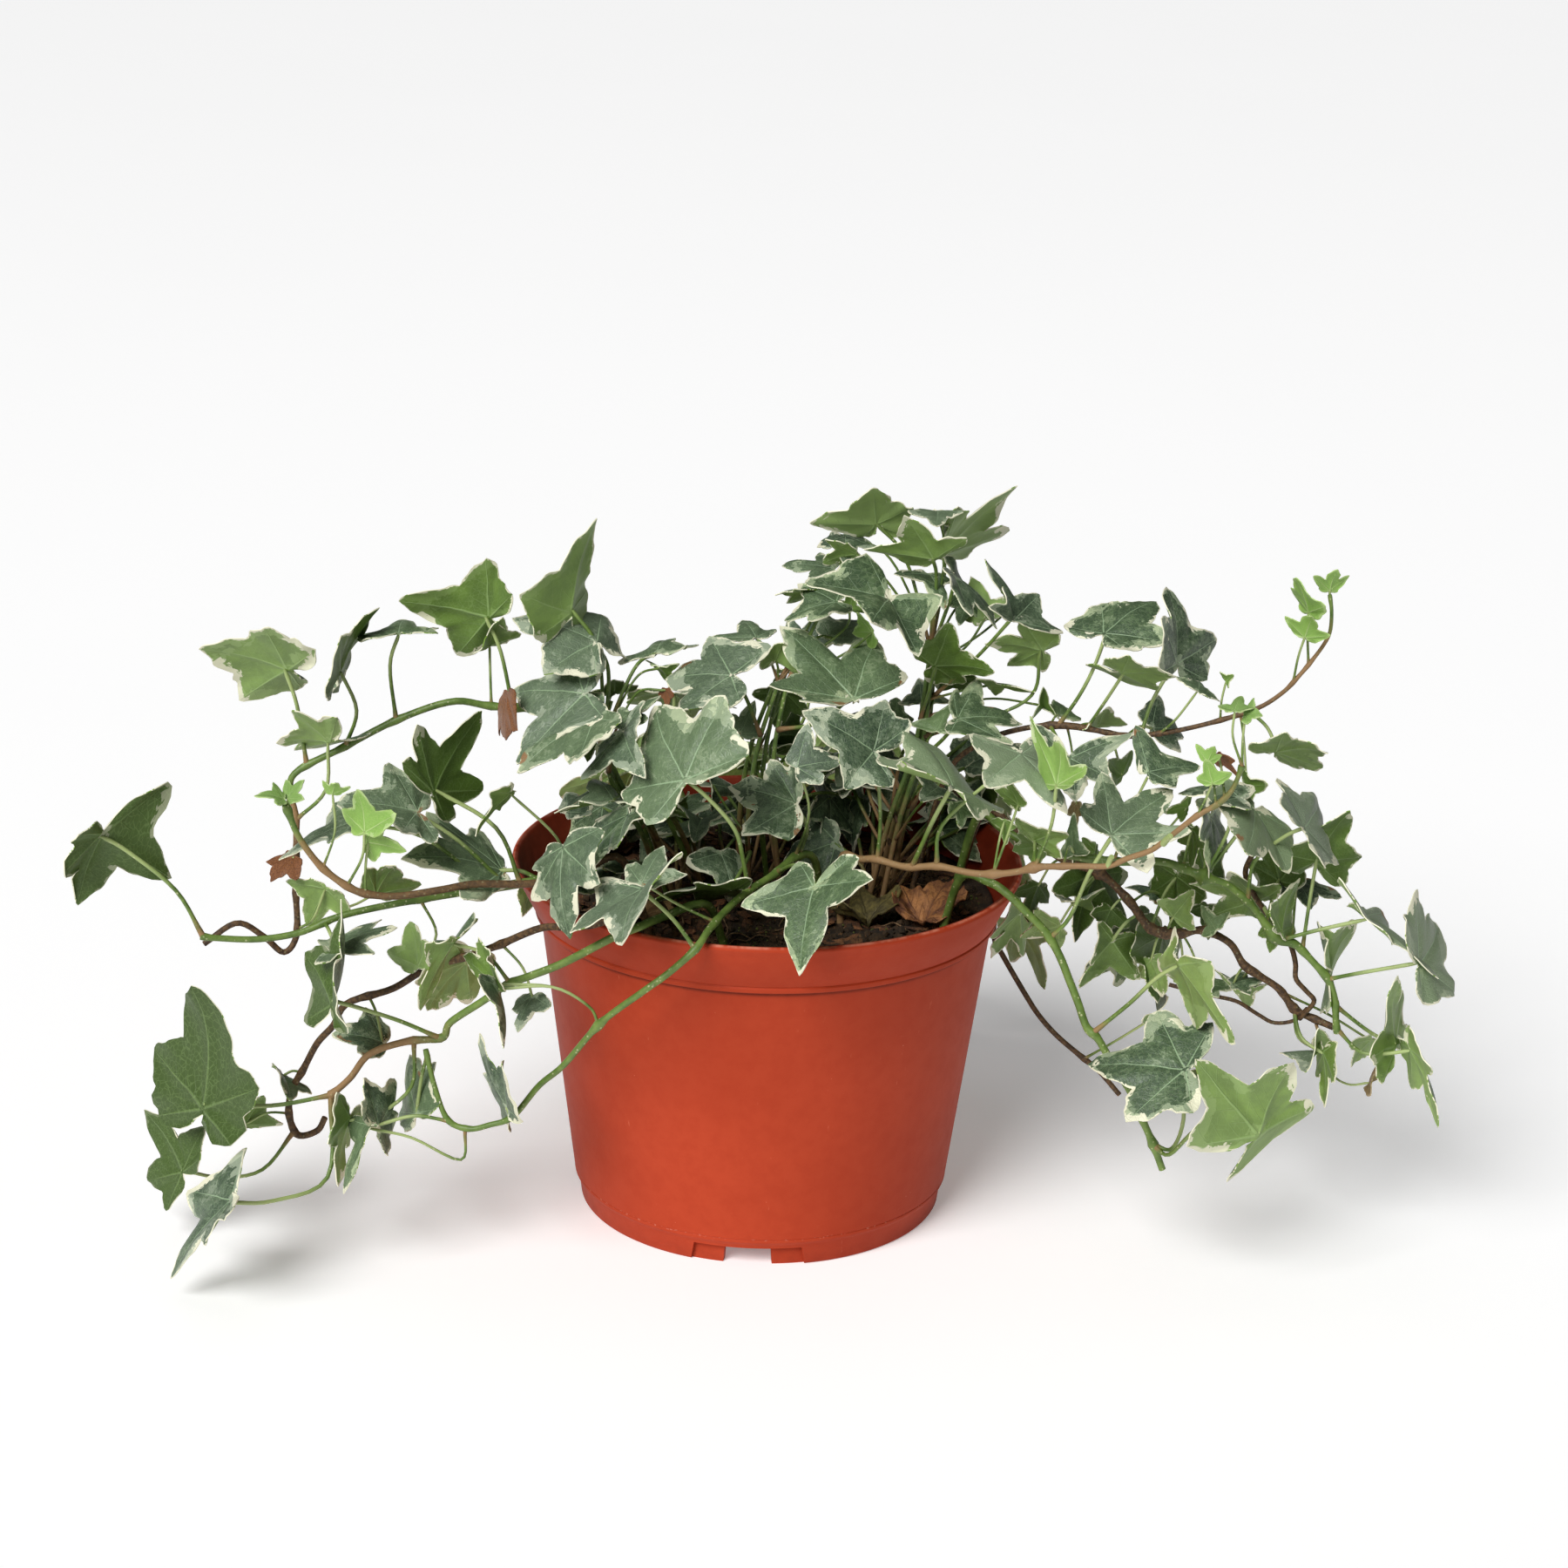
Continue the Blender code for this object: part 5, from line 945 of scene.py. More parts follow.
def tube(name, line, radii, tones, smoothness=2):
    """A closed round tube along a line, with a radius at each of its points and a tone at its ends."""
    curve = bpy.data.curves.new(name, "CURVE")
    curve.dimensions = "3D"
    curve.bevel_depth = MM
    curve.bevel_resolution = smoothness
    curve.use_fill_caps = True
    spline = curve.splines.new("POLY")
    spline.points.add(len(line) - 1)
    for point, place, radius in zip(spline.points, line, radii):
        point.co = (*(place * MM), 1.0)
        point.radius = radius
    only(added(name, curve))
    bpy.ops.object.convert(target="MESH")
    open_mesh()
    bpy.ops.mesh.remove_doubles(threshold=0.004 * MM)
    close_mesh()
    piece = bpy.context.object
    points = np.array([vertex.co for vertex in piece.data.vertices]) / MM
    spots = np.array(line)
    nearest = np.argmin(((points[:, None] - spots[None]) ** 2).sum(axis=2), axis=1)
    tone = np.interp(nearest / (len(line) - 1), np.linspace(0, 1, len(tones)), tones)
    mark(piece, "tone", tone)
    return piece


def joined(name, pieces):
    """One mesh from several, under the first one's name."""
    bpy.ops.object.select_all(action="DESELECT")
    for piece in pieces:
        piece.select_set(True)
    bpy.context.view_layer.objects.active = pieces[0]
    if len(pieces) > 1:
        bpy.ops.object.join()
    pieces[0].name = name
    pieces[0].data.name = name
    return pieces[0]


def applied(piece, kind, settings):
    """Adds a modifier, sets it up and applies it."""
    only(piece)
    step = piece.modifiers.new(kind.lower(), kind)
    for name, value in settings.items():
        setattr(step, name, value)
    bpy.ops.object.modifier_apply(modifier=step.name)


def smoothed(piece, degrees):
    """Soft shading, but for edges that are sharper than so many degrees."""
    only(piece)
    bpy.ops.object.shade_smooth_by_angle(angle=math.radians(degrees))


def wear(piece, *finishes):
    piece.data.materials.clear()
    for finish in finishes:
        piece.data.materials.append(finish)


def dressed(piece, node):
    """Ties a finished piece to the measured model: what it rides on and what it replaces."""
    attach(piece, "root")
    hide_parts(node)
    triangles = sum(len(face.vertices) - 2 for face in piece.data.polygons)
    print(piece.name, "has", triangles, "triangles and replaces", node)


print("a leaf 35 mm long has a stalk with a radius of", round(STALK_RADIUS + STALK_GROWTH * 35, 2), "mm")

# %% [markdown]
# ## The finish of a leaf's upper side
#
# This ivy is variegated: a dark grey-green heart spreads round the veins, paler grey-green patches with
# jagged borders lie outside it, and an uneven cream band follows the edge, because the outer layers of
# the leaf hold less green. The borders follow the small fields between the finest veins, so they are
# cut along angular cells. The veins themselves are pale lines, a little sunken. All of it is read from
# the leaf's flat coordinates, so it bends with the leaf, and leaf_seed makes every leaf's map its own.

# %% Leaf finishes
VEIN_PALE = tint(160, 186, 146)
HEART_DARK = tint(60, 79, 58)
HEART_SOFT = tint(88, 107, 81)
HEART_LIT = tint(118, 135, 108)
PATCH_GREY = tint(146, 158, 136)
PATCH_LIGHT = tint(176, 185, 160)
CREAM = tint(230, 228, 200)
YOUNG_GREEN = tint(112, 162, 52)
YOUNG_PALE = tint(168, 200, 112)
YOUNG_VEIN = tint(190, 214, 140)
UNDER_GREEN = tint(120, 153, 55)
UNDER_DEEP = tint(76, 104, 29)
UNDER_DARK = tint(50, 70, 18)
UNDER_PALE = tint(150, 175, 108)
UNDER_VEIN = tint(152, 180, 112)
WITHERED = tint(100, 58, 32)
WITHERED_PALE = tint(146, 96, 58)
WARM_WASH = tint(240, 255, 205)
SIDE_VEIN_GAP = 0.135
LEAF_RELIEF = 0.4


class LeafFinish(Finish):
    """A finish that knows where it is on a leaf."""

    def __init__(self, name, **constants):
        super().__init__(name, **constants)
        self.seed = self.attribute("leaf_seed") * 37.0
        self.youth = self.attribute("youth")
        self.edge_gap = self.attribute("edge_gap")
        self.chart = self.node("ShaderNodeUVMap", {"uv_map": "UVMap"})
        x, y, _ = self.parts(self.chart)
        wander = self.blots(5.0, 2.0) - 0.5
        self.x = (x - UV_MIDDLE[0]) / UV_SCALE + wander * 0.05
        self.y = (y - UV_MIDDLE[1]) / UV_SCALE + wander * 0.04

    def blots(self, scale, detail=1.0, rough=0.5, shift=0.0):
        """Clouds on the leaf's own chart. shift takes them from another place."""
        return self.clouds(self.chart, scale, detail, rough, self.seed + shift)

    def grain(self):
        return self.blots(60.0, 2.0, 0.6)

    def veins(self, width):
        """Main veins and their side veins, each from 0 to 1. They are kept as the leaf's ribs."""
        side = abs(self.x)
        main = None
        nearest = None
        branch = None
        for lobe, reach in zip(LOBES[2:], VEIN_LENGTHS[2:]):
            along_x, along_y = lobe / reach
            along = side * float(along_x) + self.y * float(along_y)
            off = abs(side * float(along_y) - self.y * float(along_x))
            off = off + along.step(0.03, -0.03)
            taper = 1.25 - along / reach
            line = (off / taper.high(0.15)).step(width, width * 0.25)
            line = line * along.step(reach * 1.02, reach * 0.9)
            rungs = ((along - off * 0.95) / SIDE_VEIN_GAP).fraction()
            rung = abs(rungs - 0.5).step(0.46, 0.5) * off.step(0.34, 0.02) * along.step(0.04, 0.12)
            if main is None:
                main, nearest, branch = line, off, rung
                continue
            closer = (nearest - off).step(-0.004, 0.004)
            branch = branch * (1 - closer) + rung * closer
            nearest = nearest.low(off)
            main = main.high(line)
        self.ribs = (main, branch)
        return main, branch

    def fields(self):
        """The large and small fields between the veins, each with its own number, and their mesh."""
        large = self.tiles(self.chart, 19.0, self.seed) - 0.5
        small = self.tiles(self.chart, 50.0, self.seed) - 0.5
        return large, small, self.cells(self.chart, 36.0, self.seed, "DISTANCE_TO_EDGE")

    def near_edge(self, fields, by_large, by_small):
        """How far the edge is, with a border that is cut along the fields."""
        return self.edge_gap + fields[0] * by_large + fields[1] * by_small

    def heart(self, fields, reach):
        """1 on the dark heart of the leaf."""
        drift = self.blots(3.6, shift=9.0) - 0.5
        return (self.near_edge(fields, 0.10, 0.035) + drift * 0.8).step(reach, reach + 0.004)

    def cream(self, fields):
        """1 on the cream edge: a narrow toothed band, and a few broad wedges."""
        band = self.blots(8.0, shift=5.0) - 0.5
        narrow = (self.near_edge(fields, 0.012, 0.022) + band * 0.10).step(0.013, 0.010)
        spot = self.blots(4.2, shift=31.0).step(0.585, 0.60)
        return narrow.high(self.near_edge(fields, 0.06, 0.04).step(0.082, 0.078) * spot)

    def finish_leaf(self, colour, grain):
        """Youth and withering are laid over the leaf's own colours."""
        main, branch = self.ribs
        edge = self.edge_gap.step(0.10, 0.0) * 0.5
        fresh = self.mix((grain - 0.1 + edge).low(1.0), YOUNG_GREEN, YOUNG_PALE)
        fresh = self.mix(main * 0.7 + branch * 0.3, fresh, YOUNG_VEIN)
        colour = self.mix(self.youth * 0.85, colour, fresh)
        withered = self.mix(grain.step(0.35, 0.65), WITHERED, WITHERED_PALE)
        self.colour(self.mix(self.attribute("dry"), colour, withered))


def leaf_top_finish():
    look = LeafFinish("ivy_leaf_upper_side", roughness=0.46)
    main, branch = look.veins(0.012)
    fields = look.fields()
    heart = look.heart(fields, 0.055)
    cream = look.cream(fields)
    blotch = look.blots(7.0, 3.0, 0.6, 21.0)
    grain = look.grain()
    large, small, mesh = fields
    dark = look.mix((blotch + small * 0.2).step(0.42, 0.56), HEART_DARK, HEART_SOFT)
    # shade, set for a leaf or drawn from its seed, paints light into it: a low one mixes in the lit heart,
    # painted light, and one below 0 turns the leaf grey, a painted sheen
    shade = look.attribute("shade")
    dark = look.mix((1 - shade) * 0.55, dark, HEART_LIT)
    pale = look.mix((blotch + large * 0.25).step(0.50, 0.53), PATCH_GREY, PATCH_LIGHT)
    colour = look.mix(heart, pale, dark)
    colour = look.mix((shade * -1).high(0.0).low(1.0) * 0.6, colour, PATCH_GREY)
    silver = (blotch + large * 0.10 + small * 0.22).step(0.63, 0.65) * heart
    colour = look.mix(silver * 0.5, colour, PATCH_GREY)
    colour = look.mix(mesh.step(0.035, 0.0) * 0.2, colour, PATCH_LIGHT)
    warmth = (look.attribute("leaf_seed") * 7.0).fraction()
    colour = look.mix(warmth * 0.6, colour, WARM_WASH, "MULTIPLY")
    scorch = look.blots(3.0, 2.0, shift=70.0).step(0.66, 0.68)
    scorch = scorch * (look.edge_gap + large * 0.06).step(0.09, 0.07)
    colour = look.mix(scorch * 0.8, colour, WITHERED_PALE)
    colour = look.mix(branch * 0.32 + main * 0.7, colour, VEIN_PALE)
    specks = look.cells(look.chart, 90.0, look.seed).step(0.16, 0.10)
    rare = look.blots(11.0, shift=50.0).step(0.55, 0.60)
    colour = look.mix(specks * rare * 0.6, colour, CREAM)
    colour = look.mix(cream * 0.95, colour, CREAM)
    look.finish_leaf(colour, grain)
    look.rough(0.38 + cream * 0.12 + grain * 0.14)
    height = main * -0.6 + branch * -0.3 + mesh.step(0.0, 0.12) * 0.25 + grain * 0.12
    look.relief(height, LEAF_RELIEF, 0.6)
    return look.material


def leaf_under_finish():
    look = LeafFinish("ivy_leaf_underside", roughness=0.55)
    main, branch = look.veins(0.018)
    fields = look.fields()
    heart = look.heart(fields, 0.045)
    cream = look.cream(fields)
    blotch = look.blots(6.0, 3.0, 0.6, 21.0)
    grain = look.grain()
    # shade paints light and shade here too: a low one mixes in pale green, painted light, and one above 1
    # mixes in dark green, painted shade. A leaf in painted shade also loses most of its pale patches, and
    # its veins and cream edge fade
    shade = look.attribute("shade")
    colour = look.mix(blotch.step(0.3, 0.7) * (1 - shade * 0.7), UNDER_DEEP, UNDER_GREEN)
    colour = look.mix((1 - shade).high(0.0) * 0.5, colour, UNDER_PALE)
    colour = look.mix((shade - 1.0).high(0.0), colour, UNDER_DARK)
    colour = look.mix((1 - heart) * (1.3 - shade).high(0.0).low(1.0) * 0.6, colour, UNDER_PALE)
    colour = look.mix(fields[2].step(0.06, 0.0) * 0.18, colour, UNDER_VEIN)
    vein = (branch * 0.32 + main * 0.7) * (1.4 - shade * 0.75).high(0.3).low(1.0)
    colour = look.mix(vein, colour, UNDER_VEIN)
    colour = look.mix(cream * (1.8 - shade).low(0.9), colour, CREAM)
    look.finish_leaf(colour, grain)
    look.rough(0.50 + grain * 0.12)
    look.relief(main * 0.7 + branch * 0.35 + grain * 0.15, LEAF_RELIEF, 0.6)
    return look.material


def leaf_edge_finish():
    look = LeafFinish("ivy_leaf_cut_edge", roughness=0.5)
    look.veins(0.02)
    look.finish_leaf(look.mix(look.cream(look.fields()), UNDER_GREEN, CREAM), look.grain())
    return look.material


STALK_GREEN = tint(80, 106, 42)
STALK_LIGHT = tint(112, 136, 62)
STALK_PALE = tint(160, 176, 112)
BARK_BROWN = tint(102, 75, 44)
BARK_DARK = tint(60, 42, 24)
BARK_TAN = tint(158, 124, 82)
FLECK = tint(186, 190, 142)


def stem_finish():
    look = Finish("ivy_stem_and_stalk", roughness=0.5)
    place = look.place()
    tone = look.attribute("tone")
    patches = look.clouds(place, 260.0, 3.0, 0.6)
    streaks = look.clouds(place, 900.0, 2.0, 0.6)
    flecks = look.cells(place, 800.0).step(0.32, 0.2)
    green = look.mix(patches.step(0.3, 0.7), STALK_GREEN, STALK_LIGHT)
    green = look.mix(tone.step(-0.1, -0.7), green, STALK_PALE)
    brown = look.mix(streaks.step(0.35, 0.65), BARK_DARK, BARK_BROWN)
    brown = look.mix(tone.step(0.95, 0.75) * 0.75, brown, BARK_TAN)
    bark = (tone + (patches - 0.5) * 0.5).step(0.35, 0.68)
    colour = look.mix(bark, green, brown)
    look.colour(look.mix(flecks * (0.75 - bark * 0.55), colour, FLECK))
    look.rough(0.46 + bark * 0.22)
    look.relief(streaks + flecks * 0.6, 0.25, 0.5)
    return look.material


leaf_finishes = [leaf_top_finish(), leaf_under_finish(), leaf_edge_finish()]
bark_finish = stem_finish()
print("leaf finishes:", [finish.name for finish in leaf_finishes])

# %% [markdown]
# ## Growing the stems
#
# Each stem is one finished piece: its tube, its stalks and its leaves, in the place of the measured
# stem. The leaves are still single sheets when they are joined, so that one Solidify gives them all
# their thickness and sorts their faces: the top keeps the first finish, the underside gets the second
# and the cut edge the third. The stalks leave the stem in a swollen brown knuckle.

# %% Grow a stem
SOIL_TOP = 95.0
STEM_FOOT = 76.0
STALK_TONES = (0.7, 0.25, -0.3, -0.6, -0.7, -0.5)
CROWN_TONES = (0.9, 0.5, 0.2, 0.0, -0.2, -0.3)
# The thicket's stalks are brown nearly to their tips: painted shade for the dark middle of the crown
THICKET_TONES = (1.0, 0.8, 0.6, 0.45, 0.3, 0.2)
STALK_INSET = 0.035
STALK_ARCH = 0.12
STALK_TIP = 0.6
STALK_KNUCKLE = 0.55
STALK_SWELL = 0.15
SMALL_STALK = 0.8
KNUCKLE_SWELL = 0.28
KNUCKLE_REACH = 1.8
CREEPING_THICK = 0.74
UPRIGHT_THICK = 0.58
SHOOT_COUNT = 4
SHOOT_SPREAD = 12.0
SHOOT_RADII = (0.9, 0.6)
SHOOT_TONES = (0.9, 0.5, 0.25, 0.1)
SIDE_SHOOT_TAPER = 0.85
LEAF_CORNER = 62
JUST_OPENED = 11.0


def stalk_end(base, tips, up):
    """The end of a stalk, just inside the blade."""
    return base + (tips[2] - base) * STALK_INSET - up * LEAF_THICKNESS * 0.5


def stalk_line(line, row, base, tips, up):
    """A leaf stalk's line, from inside its stem to its blade."""
    first, *rest = row["via"]
    start = min(line, key=lambda spot: (seen_at(*first, spot.y) - spot).length)
    between = []
    for k, place in enumerate(rest, 1):
        depth = start.y + (row["depth"] - start.y) * k / (len(rest) + 1)
        between.append(seen_at(*place, depth))
    if not between:
        between.append((start + base) / 2 + Vector((0.0, 0.0, STALK_ARCH * (base - start).length)))
    return smooth_route([start, *between, stalk_end(base, tips, up)], 5 * (1 + len(between)))


def shoots_of(line, draw):
    """The thin shoots that rise beside an upright stem and lean to it towards its top."""
    shoots = []
    for _ in range(SHOOT_COUNT):
        shift = Vector((draw.uniform(-1, 1), draw.uniform(-1, 1), 0.0)) * SHOOT_SPREAD
        ground = line[1] + shift
        ground.z = SOIL_TOP - 4
        spots = [line[len(line) * part // 4] + shift * (1 - 0.25 * part) for part in (1, 2, 3)]
        shoots.append(smooth_route([ground, *spots], 30))
    return shoots


def nearest_spot(line, place):
    return min(line, key=lambda spot: (spot - place).length)


def stalk(name, line, length, tones):
    """A leaf's stalk: a knuckle at the stem, an even middle and a soft swelling under the blade."""
    size = STALK_RADIUS + STALK_GROWTH * min(length, 40)
    size = size * (SMALL_STALK if length < SMALL_LEAF else 1.0)
    share = np.linspace(0, 1, len(line))
    radii = size * (1 + STALK_KNUCKLE * np.exp(-(share / 0.08) ** 2)
                    + STALK_SWELL * np.exp(-((1 - share) / 0.1) ** 2))
    radii[-1] *= STALK_TIP
    return tube(name, line, radii, tones)


def swollen(line, thick, knuckles, size):
    """A stem's radii, thinner towards the tip and swollen where the stalks leave it."""
    share = np.linspace(0, 1, len(line))
    radii = size * (thick[0] + (thick[1] - thick[0]) * share)
    for knuckle in knuckles:
        gaps = np.array([(spot - knuckle).length for spot in line])
        radii = radii * (1 + KNUCKLE_SWELL * np.exp(-(gaps / KNUCKLE_REACH) ** 2))
    return radii


def leafy_piece(name, stem_tube, stalks, leaves):
    """Joins a stem's tubes and leaves into one finished piece."""
    wood = joined(name + "_wood", [stem_tube, *stalks])
    wear(wood, bark_finish)
    foliage = joined(name + "_foliage", leaves)
    wear(foliage, *leaf_finishes)
    applied(foliage, "SOLIDIFY", {"thickness": LEAF_THICKNESS * MM, "offset": -1.0,
                                  "use_even_offset": False, "material_offset": 1,
                                  "material_offset_rim": 2})
    whole = joined(name, [foliage, wood])
    whole.name = name + "_leaves"
    smoothed(whole, LEAF_CORNER)
    dressed(whole, name)


# Leaves in the dark middle of the crown: how many each stem has, and across which stretch they stand
THICKET = {"crown_left_stem": (7, (-52, -22), (112, 124)),
           "crown_middle_stem": (11, (-22, 24), (112, 146)),
           "crown_right_stem": (17, (18, 60), (112, 150))}
THICKET_DEPTHS = (16, 54)
THICKET_LENGTHS = (14.5, 16.9)
THICKET_SPREAD = 1.25


def thicket(name, shoots):
    """Small leaves at seeded places in the dark middle, each on a stalk from one of the shoots."""
    draw = random.Random(name + "_thicket")
    count, reach_across, reach_up = THICKET[name]
    leaves = []
    stalks = []
    for k in range(count):
        base = seen_at(draw.uniform(*reach_across), draw.uniform(*reach_up), draw.uniform(*THICKET_DEPTHS))
        base.z = max(base.z, SOIL_TOP + 12)
        up = Vector((draw.uniform(-0.5, 0.5), draw.uniform(-0.9, 0.5), 0.8)).normalized()
        along = Vector((*around(1.0, draw.uniform(0, math.tau)), -0.5))
        length = draw.uniform(*THICKET_LENGTHS) * THICKET_SPREAD
        base, tips, up, length = grown_leaf(base, along, up, length)
        title = "%s_shaded_%02d" % (name, k)
        # A shade of 1.0 keeps them dark, with none of the painted light: painted shade for the crown's
        # middle
        leaves.append(bent_leaf(title, base, tips, up, length, shade=1.0))
        aim = Vector((base.x * 0.8, base.y * 0.7, base.z - 16))
        foot = nearest_spot(draw.choice(shoots), aim)
        bend = foot.lerp(base, 0.55) + Vector((draw.uniform(-3, 3), draw.uniform(-3, 3), 2.0))
        way = smooth_route([foot, bend, stalk_end(base, tips, up)], 12)
        stalks.append(stalk(title + "_stalk", way, length, THICKET_TONES))
    return leaves, stalks


def grow(name, root, route, thick, bark, leaves):
    """Grows one stem of the list, with its shoots, stalks and leaves."""
    route = [Vector((*root, SOIL_TOP + 2)), *(seen_at(*point) for point in route)]
    line = [Vector((*root, STEM_FOOT)), *smooth_route(route, 5 * len(route))]
    upright = name.startswith("crown_")
    draw = random.Random(name)
    shoots = shoots_of(line, draw) if upright else []
    stalks = [tube("%s_shoot_%d" % (name, k), way, np.linspace(*SHOOT_RADII, len(way)), SHOOT_TONES)
              for k, way in enumerate(shoots)]
    for owner, numbers, radius, tone in SIDE_SHOOTS:
        if owner == name:
            bends = [seen_at(*point) for point in grouped(numbers, 3)]
            way = smooth_route(bends, 4 * len(bends))
            radii = np.linspace(radius, radius * SIDE_SHOOT_TAPER, len(way))
            stalks.append(tube(name + "_side_shoot", way, radii, (tone, tone)))
    knuckles = []
    blades = []
    for k, row in enumerate(leaves):
        base, tips, up, length = leaf_shape(row)
        title = "%s_%02d" % (name, k)
        looks = {"youth": max(0.0, min(0.4, (JUST_OPENED - length) / 10))}
        looks.update((look, row[look]) for look in ("shade", "youth", "dry", "uncut") if look in row)
        blades.append(bent_leaf(title, base, tips, up, length, **looks))
        way = stalk_line(line, row, base, tips, up)
        knuckles.append(way[0])
        if upright:
            start = nearest_spot(draw.choice(shoots), way[0])
            way = smooth_route([start, way[len(way) // 2], way[-1]], 16)
        stalks.append(stalk(title + "_stalk", way, length, CROWN_TONES if upright else STALK_TONES))
    if upright:
        more_blades, more_stalks = thicket(name, shoots)
        blades += more_blades
        stalks += more_stalks
        radii = swollen(line, thick, [], UPRIGHT_THICK)
    else:
        radii = swollen(line, thick, knuckles, CREEPING_THICK)
    leafy_piece(name, tube(name, line, radii, bark, 3), stalks, blades)


for plant in STEMS:
    grow(**plant)

# %% [markdown]
# ## The stems at the back
#
# Nobody sees the back of the plant in the picture, but the model is turned round. Three stems leave the
# pot there and hang down behind it. Their leaves follow a rule instead of a reading: they stand off both
# sides of the stem and face away from the pot.

# %% Grow the back stems
RIM_RADIUS = 76.0
POT_HEIGHT = 108.0
BACK_LEAVES = 7
BACK_THICK = (1.4, 0.9)
BACK_TONES = (0.5, 0.2, 0.3)
BACK_LENGTHS = (22, 28)
# Each row: name, direction in degrees, place in the soil, how far the stem hangs down and sways, seed, and
# the leaves on its left side, as seen from outside the pot. The picture shows no leaves beside the left of
# the rim, so the left stem has only a low one there.
BACK_STEMS = [("back_left_stem", 124, (-20, 38), 56, 5, 3, (5,)),
              ("back_stem", 89, (8, 46), 62, -4, 6, (1, 3, 5)),
              ("back_right_stem", 52, (32, 38), 58, 5, 8, (1, 3, 5))]


def grow_back(name, azimuth, start, drop, sway, seed, left_leaves):
    draw = random.Random(seed)
    out = Vector((*around(1.0, math.radians(azimuth)), 0.0))
    left = Vector((-out.y, out.x, 0.0))
    rim = out * (RIM_RADIUS + 3.5) + SKYWARD * (POT_HEIGHT + 4)
    ground = Vector((*start, SOIL_TOP + 2))
    # Out of the soil, up over the rim and down behind it
    route = [ground, (ground + rim) / 2 + SKYWARD * 12, rim, rim + out * 14 + left * sway - SKYWARD * 12,
             rim + out * 20 - SKYWARD * drop * 0.5, rim + out * 17 - left * sway - SKYWARD * drop]
    coarse = smooth_route(route, 11)
    spots = [a.lerp(b, k / 8) for a, b in zip(coarse, coarse[1:]) for k in range(8)]
    leaves = []
    stalks = []
    knuckles = []
    for k in range(BACK_LEAVES):
        spot = spots[int(24 + 63 * k / (BACK_LEAVES - 1))]
        side = left * (1 if k in left_leaves else -1)
        # A leaf inside the rim stands up, and one behind the pot hangs
        if spot.xy.length < RIM_RADIUS - 6:
            base = spot + SKYWARD * draw.uniform(20, 28) + side * draw.uniform(5, 9)
            up = (SKYWARD + out * 0.4 + side * 0.3).normalized()
            along = out * 0.8 + side * draw.uniform(0.6, 1.2)
        else:
            base = spot + out * draw.uniform(9, 14) + side * draw.uniform(9, 15)
            base = base + SKYWARD * draw.uniform(-3, 5)
            up = (out + SKYWARD * 0.35 + side * 0.25).normalized()
            along = side * draw.uniform(0.5, 1.0) - SKYWARD
        base, tips, up, length = grown_leaf(base, along, up, draw.uniform(*BACK_LENGTHS))
        title = "%s_%02d" % (name, k)
        leaves.append(bent_leaf(title, base, tips, up, length))
        bend = (spot + base) / 2 + side * 3
        way = smooth_route([spot, bend, stalk_end(base, tips, up)], 12)
        stalks.append(stalk(title + "_stalk", way, length, STALK_TONES))
        knuckles.append(spot)
    line = [Vector((*start, STEM_FOOT)), *smooth_route(route, 44)]
    radii = swollen(line, BACK_THICK, knuckles, CREEPING_THICK)
    leafy_piece(name, tube(name, line, radii, BACK_TONES, 3), stalks, leaves)


for row in BACK_STEMS:
    grow_back(*row)

# %% [markdown]
# ## The pot
#
# A grower's pot is moulded from orange plastic: a thin tapered wall, a flared collar that lets the pots
# stack, and a small rolled bead round the lip. It is modelled as a moulder draws it, as one outline
# turned round the axis. A circle stands for the first point of the outline, and for each further point
# its edge is extruded and resized. The drainage notches in the foot are cut afterwards.

# %% Turn the pot
RIM_BEAD = 2.6
COLLAR_DEPTH = 16.5
COLLAR_TOP_RADIUS = 75.0
COLLAR_LOW_RADIUS = 69.2
BODY_TOP_RADIUS = 67.6
BODY_LOW_RADIUS = 56.8
BODY_LOW_HEIGHT = 9.5
FLOOR_HEIGHT = 5.5
FLOOR_THICKNESS = 2.0
FOOT_RADIUS = 54.8
FOOT_HEIGHT = 6.5
FOOT_WIDTH = 4.0
CENTRE_FOOT = 18.0
WALL = 1.7
FOOT_ROUND = 0.8
BODY_ROUND = 1.2
COLLAR_ROUND = 0.5
BEAD_ROUND = 1.05
POT_SIDES = 160
POT_CORNER = 34
COLLAR_FOOT = POT_HEIGHT - COLLAR_DEPTH
SEAM_HEIGHT = BODY_LOW_HEIGHT - 0.45
GROOVE_HEIGHT = COLLAR_FOOT + 1.9


def arc(middle, radius, start, end, steps):
    """Points of a round corner of the outline, between two directions in degrees."""
    points = []
    for k in range(steps + 1):
        x, y = around(radius, math.radians(start + (end - start) * k / steps))
        points.append((middle[0] + x, middle[1] + y))
    return points


def turned(name, outline, sides):
    """A shape turned round the axis from its outline of (radius, height) points, closed at both ends."""
    first_radius, first_height = outline[0]
    bpy.ops.mesh.primitive_circle_add(vertices=sides, radius=first_radius * MM)
    piece = bpy.context.object
    piece.name = name
    open_mesh()
    bpy.ops.transform.translate(value=(0, 0, first_height * MM))
    for (radius, height), (next_radius, next_height) in zip(outline, outline[1:]):
        rise = {"value": (0, 0, (next_height - height) * MM)}
        bpy.ops.mesh.extrude_region_move(TRANSFORM_OT_translate=rise)
        scale = next_radius / radius
        bpy.ops.transform.resize(value=(scale, scale, 1), center_override=(0, 0, next_height * MM))
    bpy.ops.mesh.extrude_region_move()
    bpy.ops.mesh.merge(type="CENTER")
    bpy.ops.mesh.select_all(action="DESELECT")
    bpy.ops.object.mode_set(mode="OBJECT")
    for vertex in piece.data.vertices[:sides]:
        vertex.select = True
    bpy.ops.object.mode_set(mode="EDIT")
    bpy.ops.mesh.extrude_region_move()
    bpy.ops.mesh.merge(type="CENTER")
    close_mesh()
    return piece


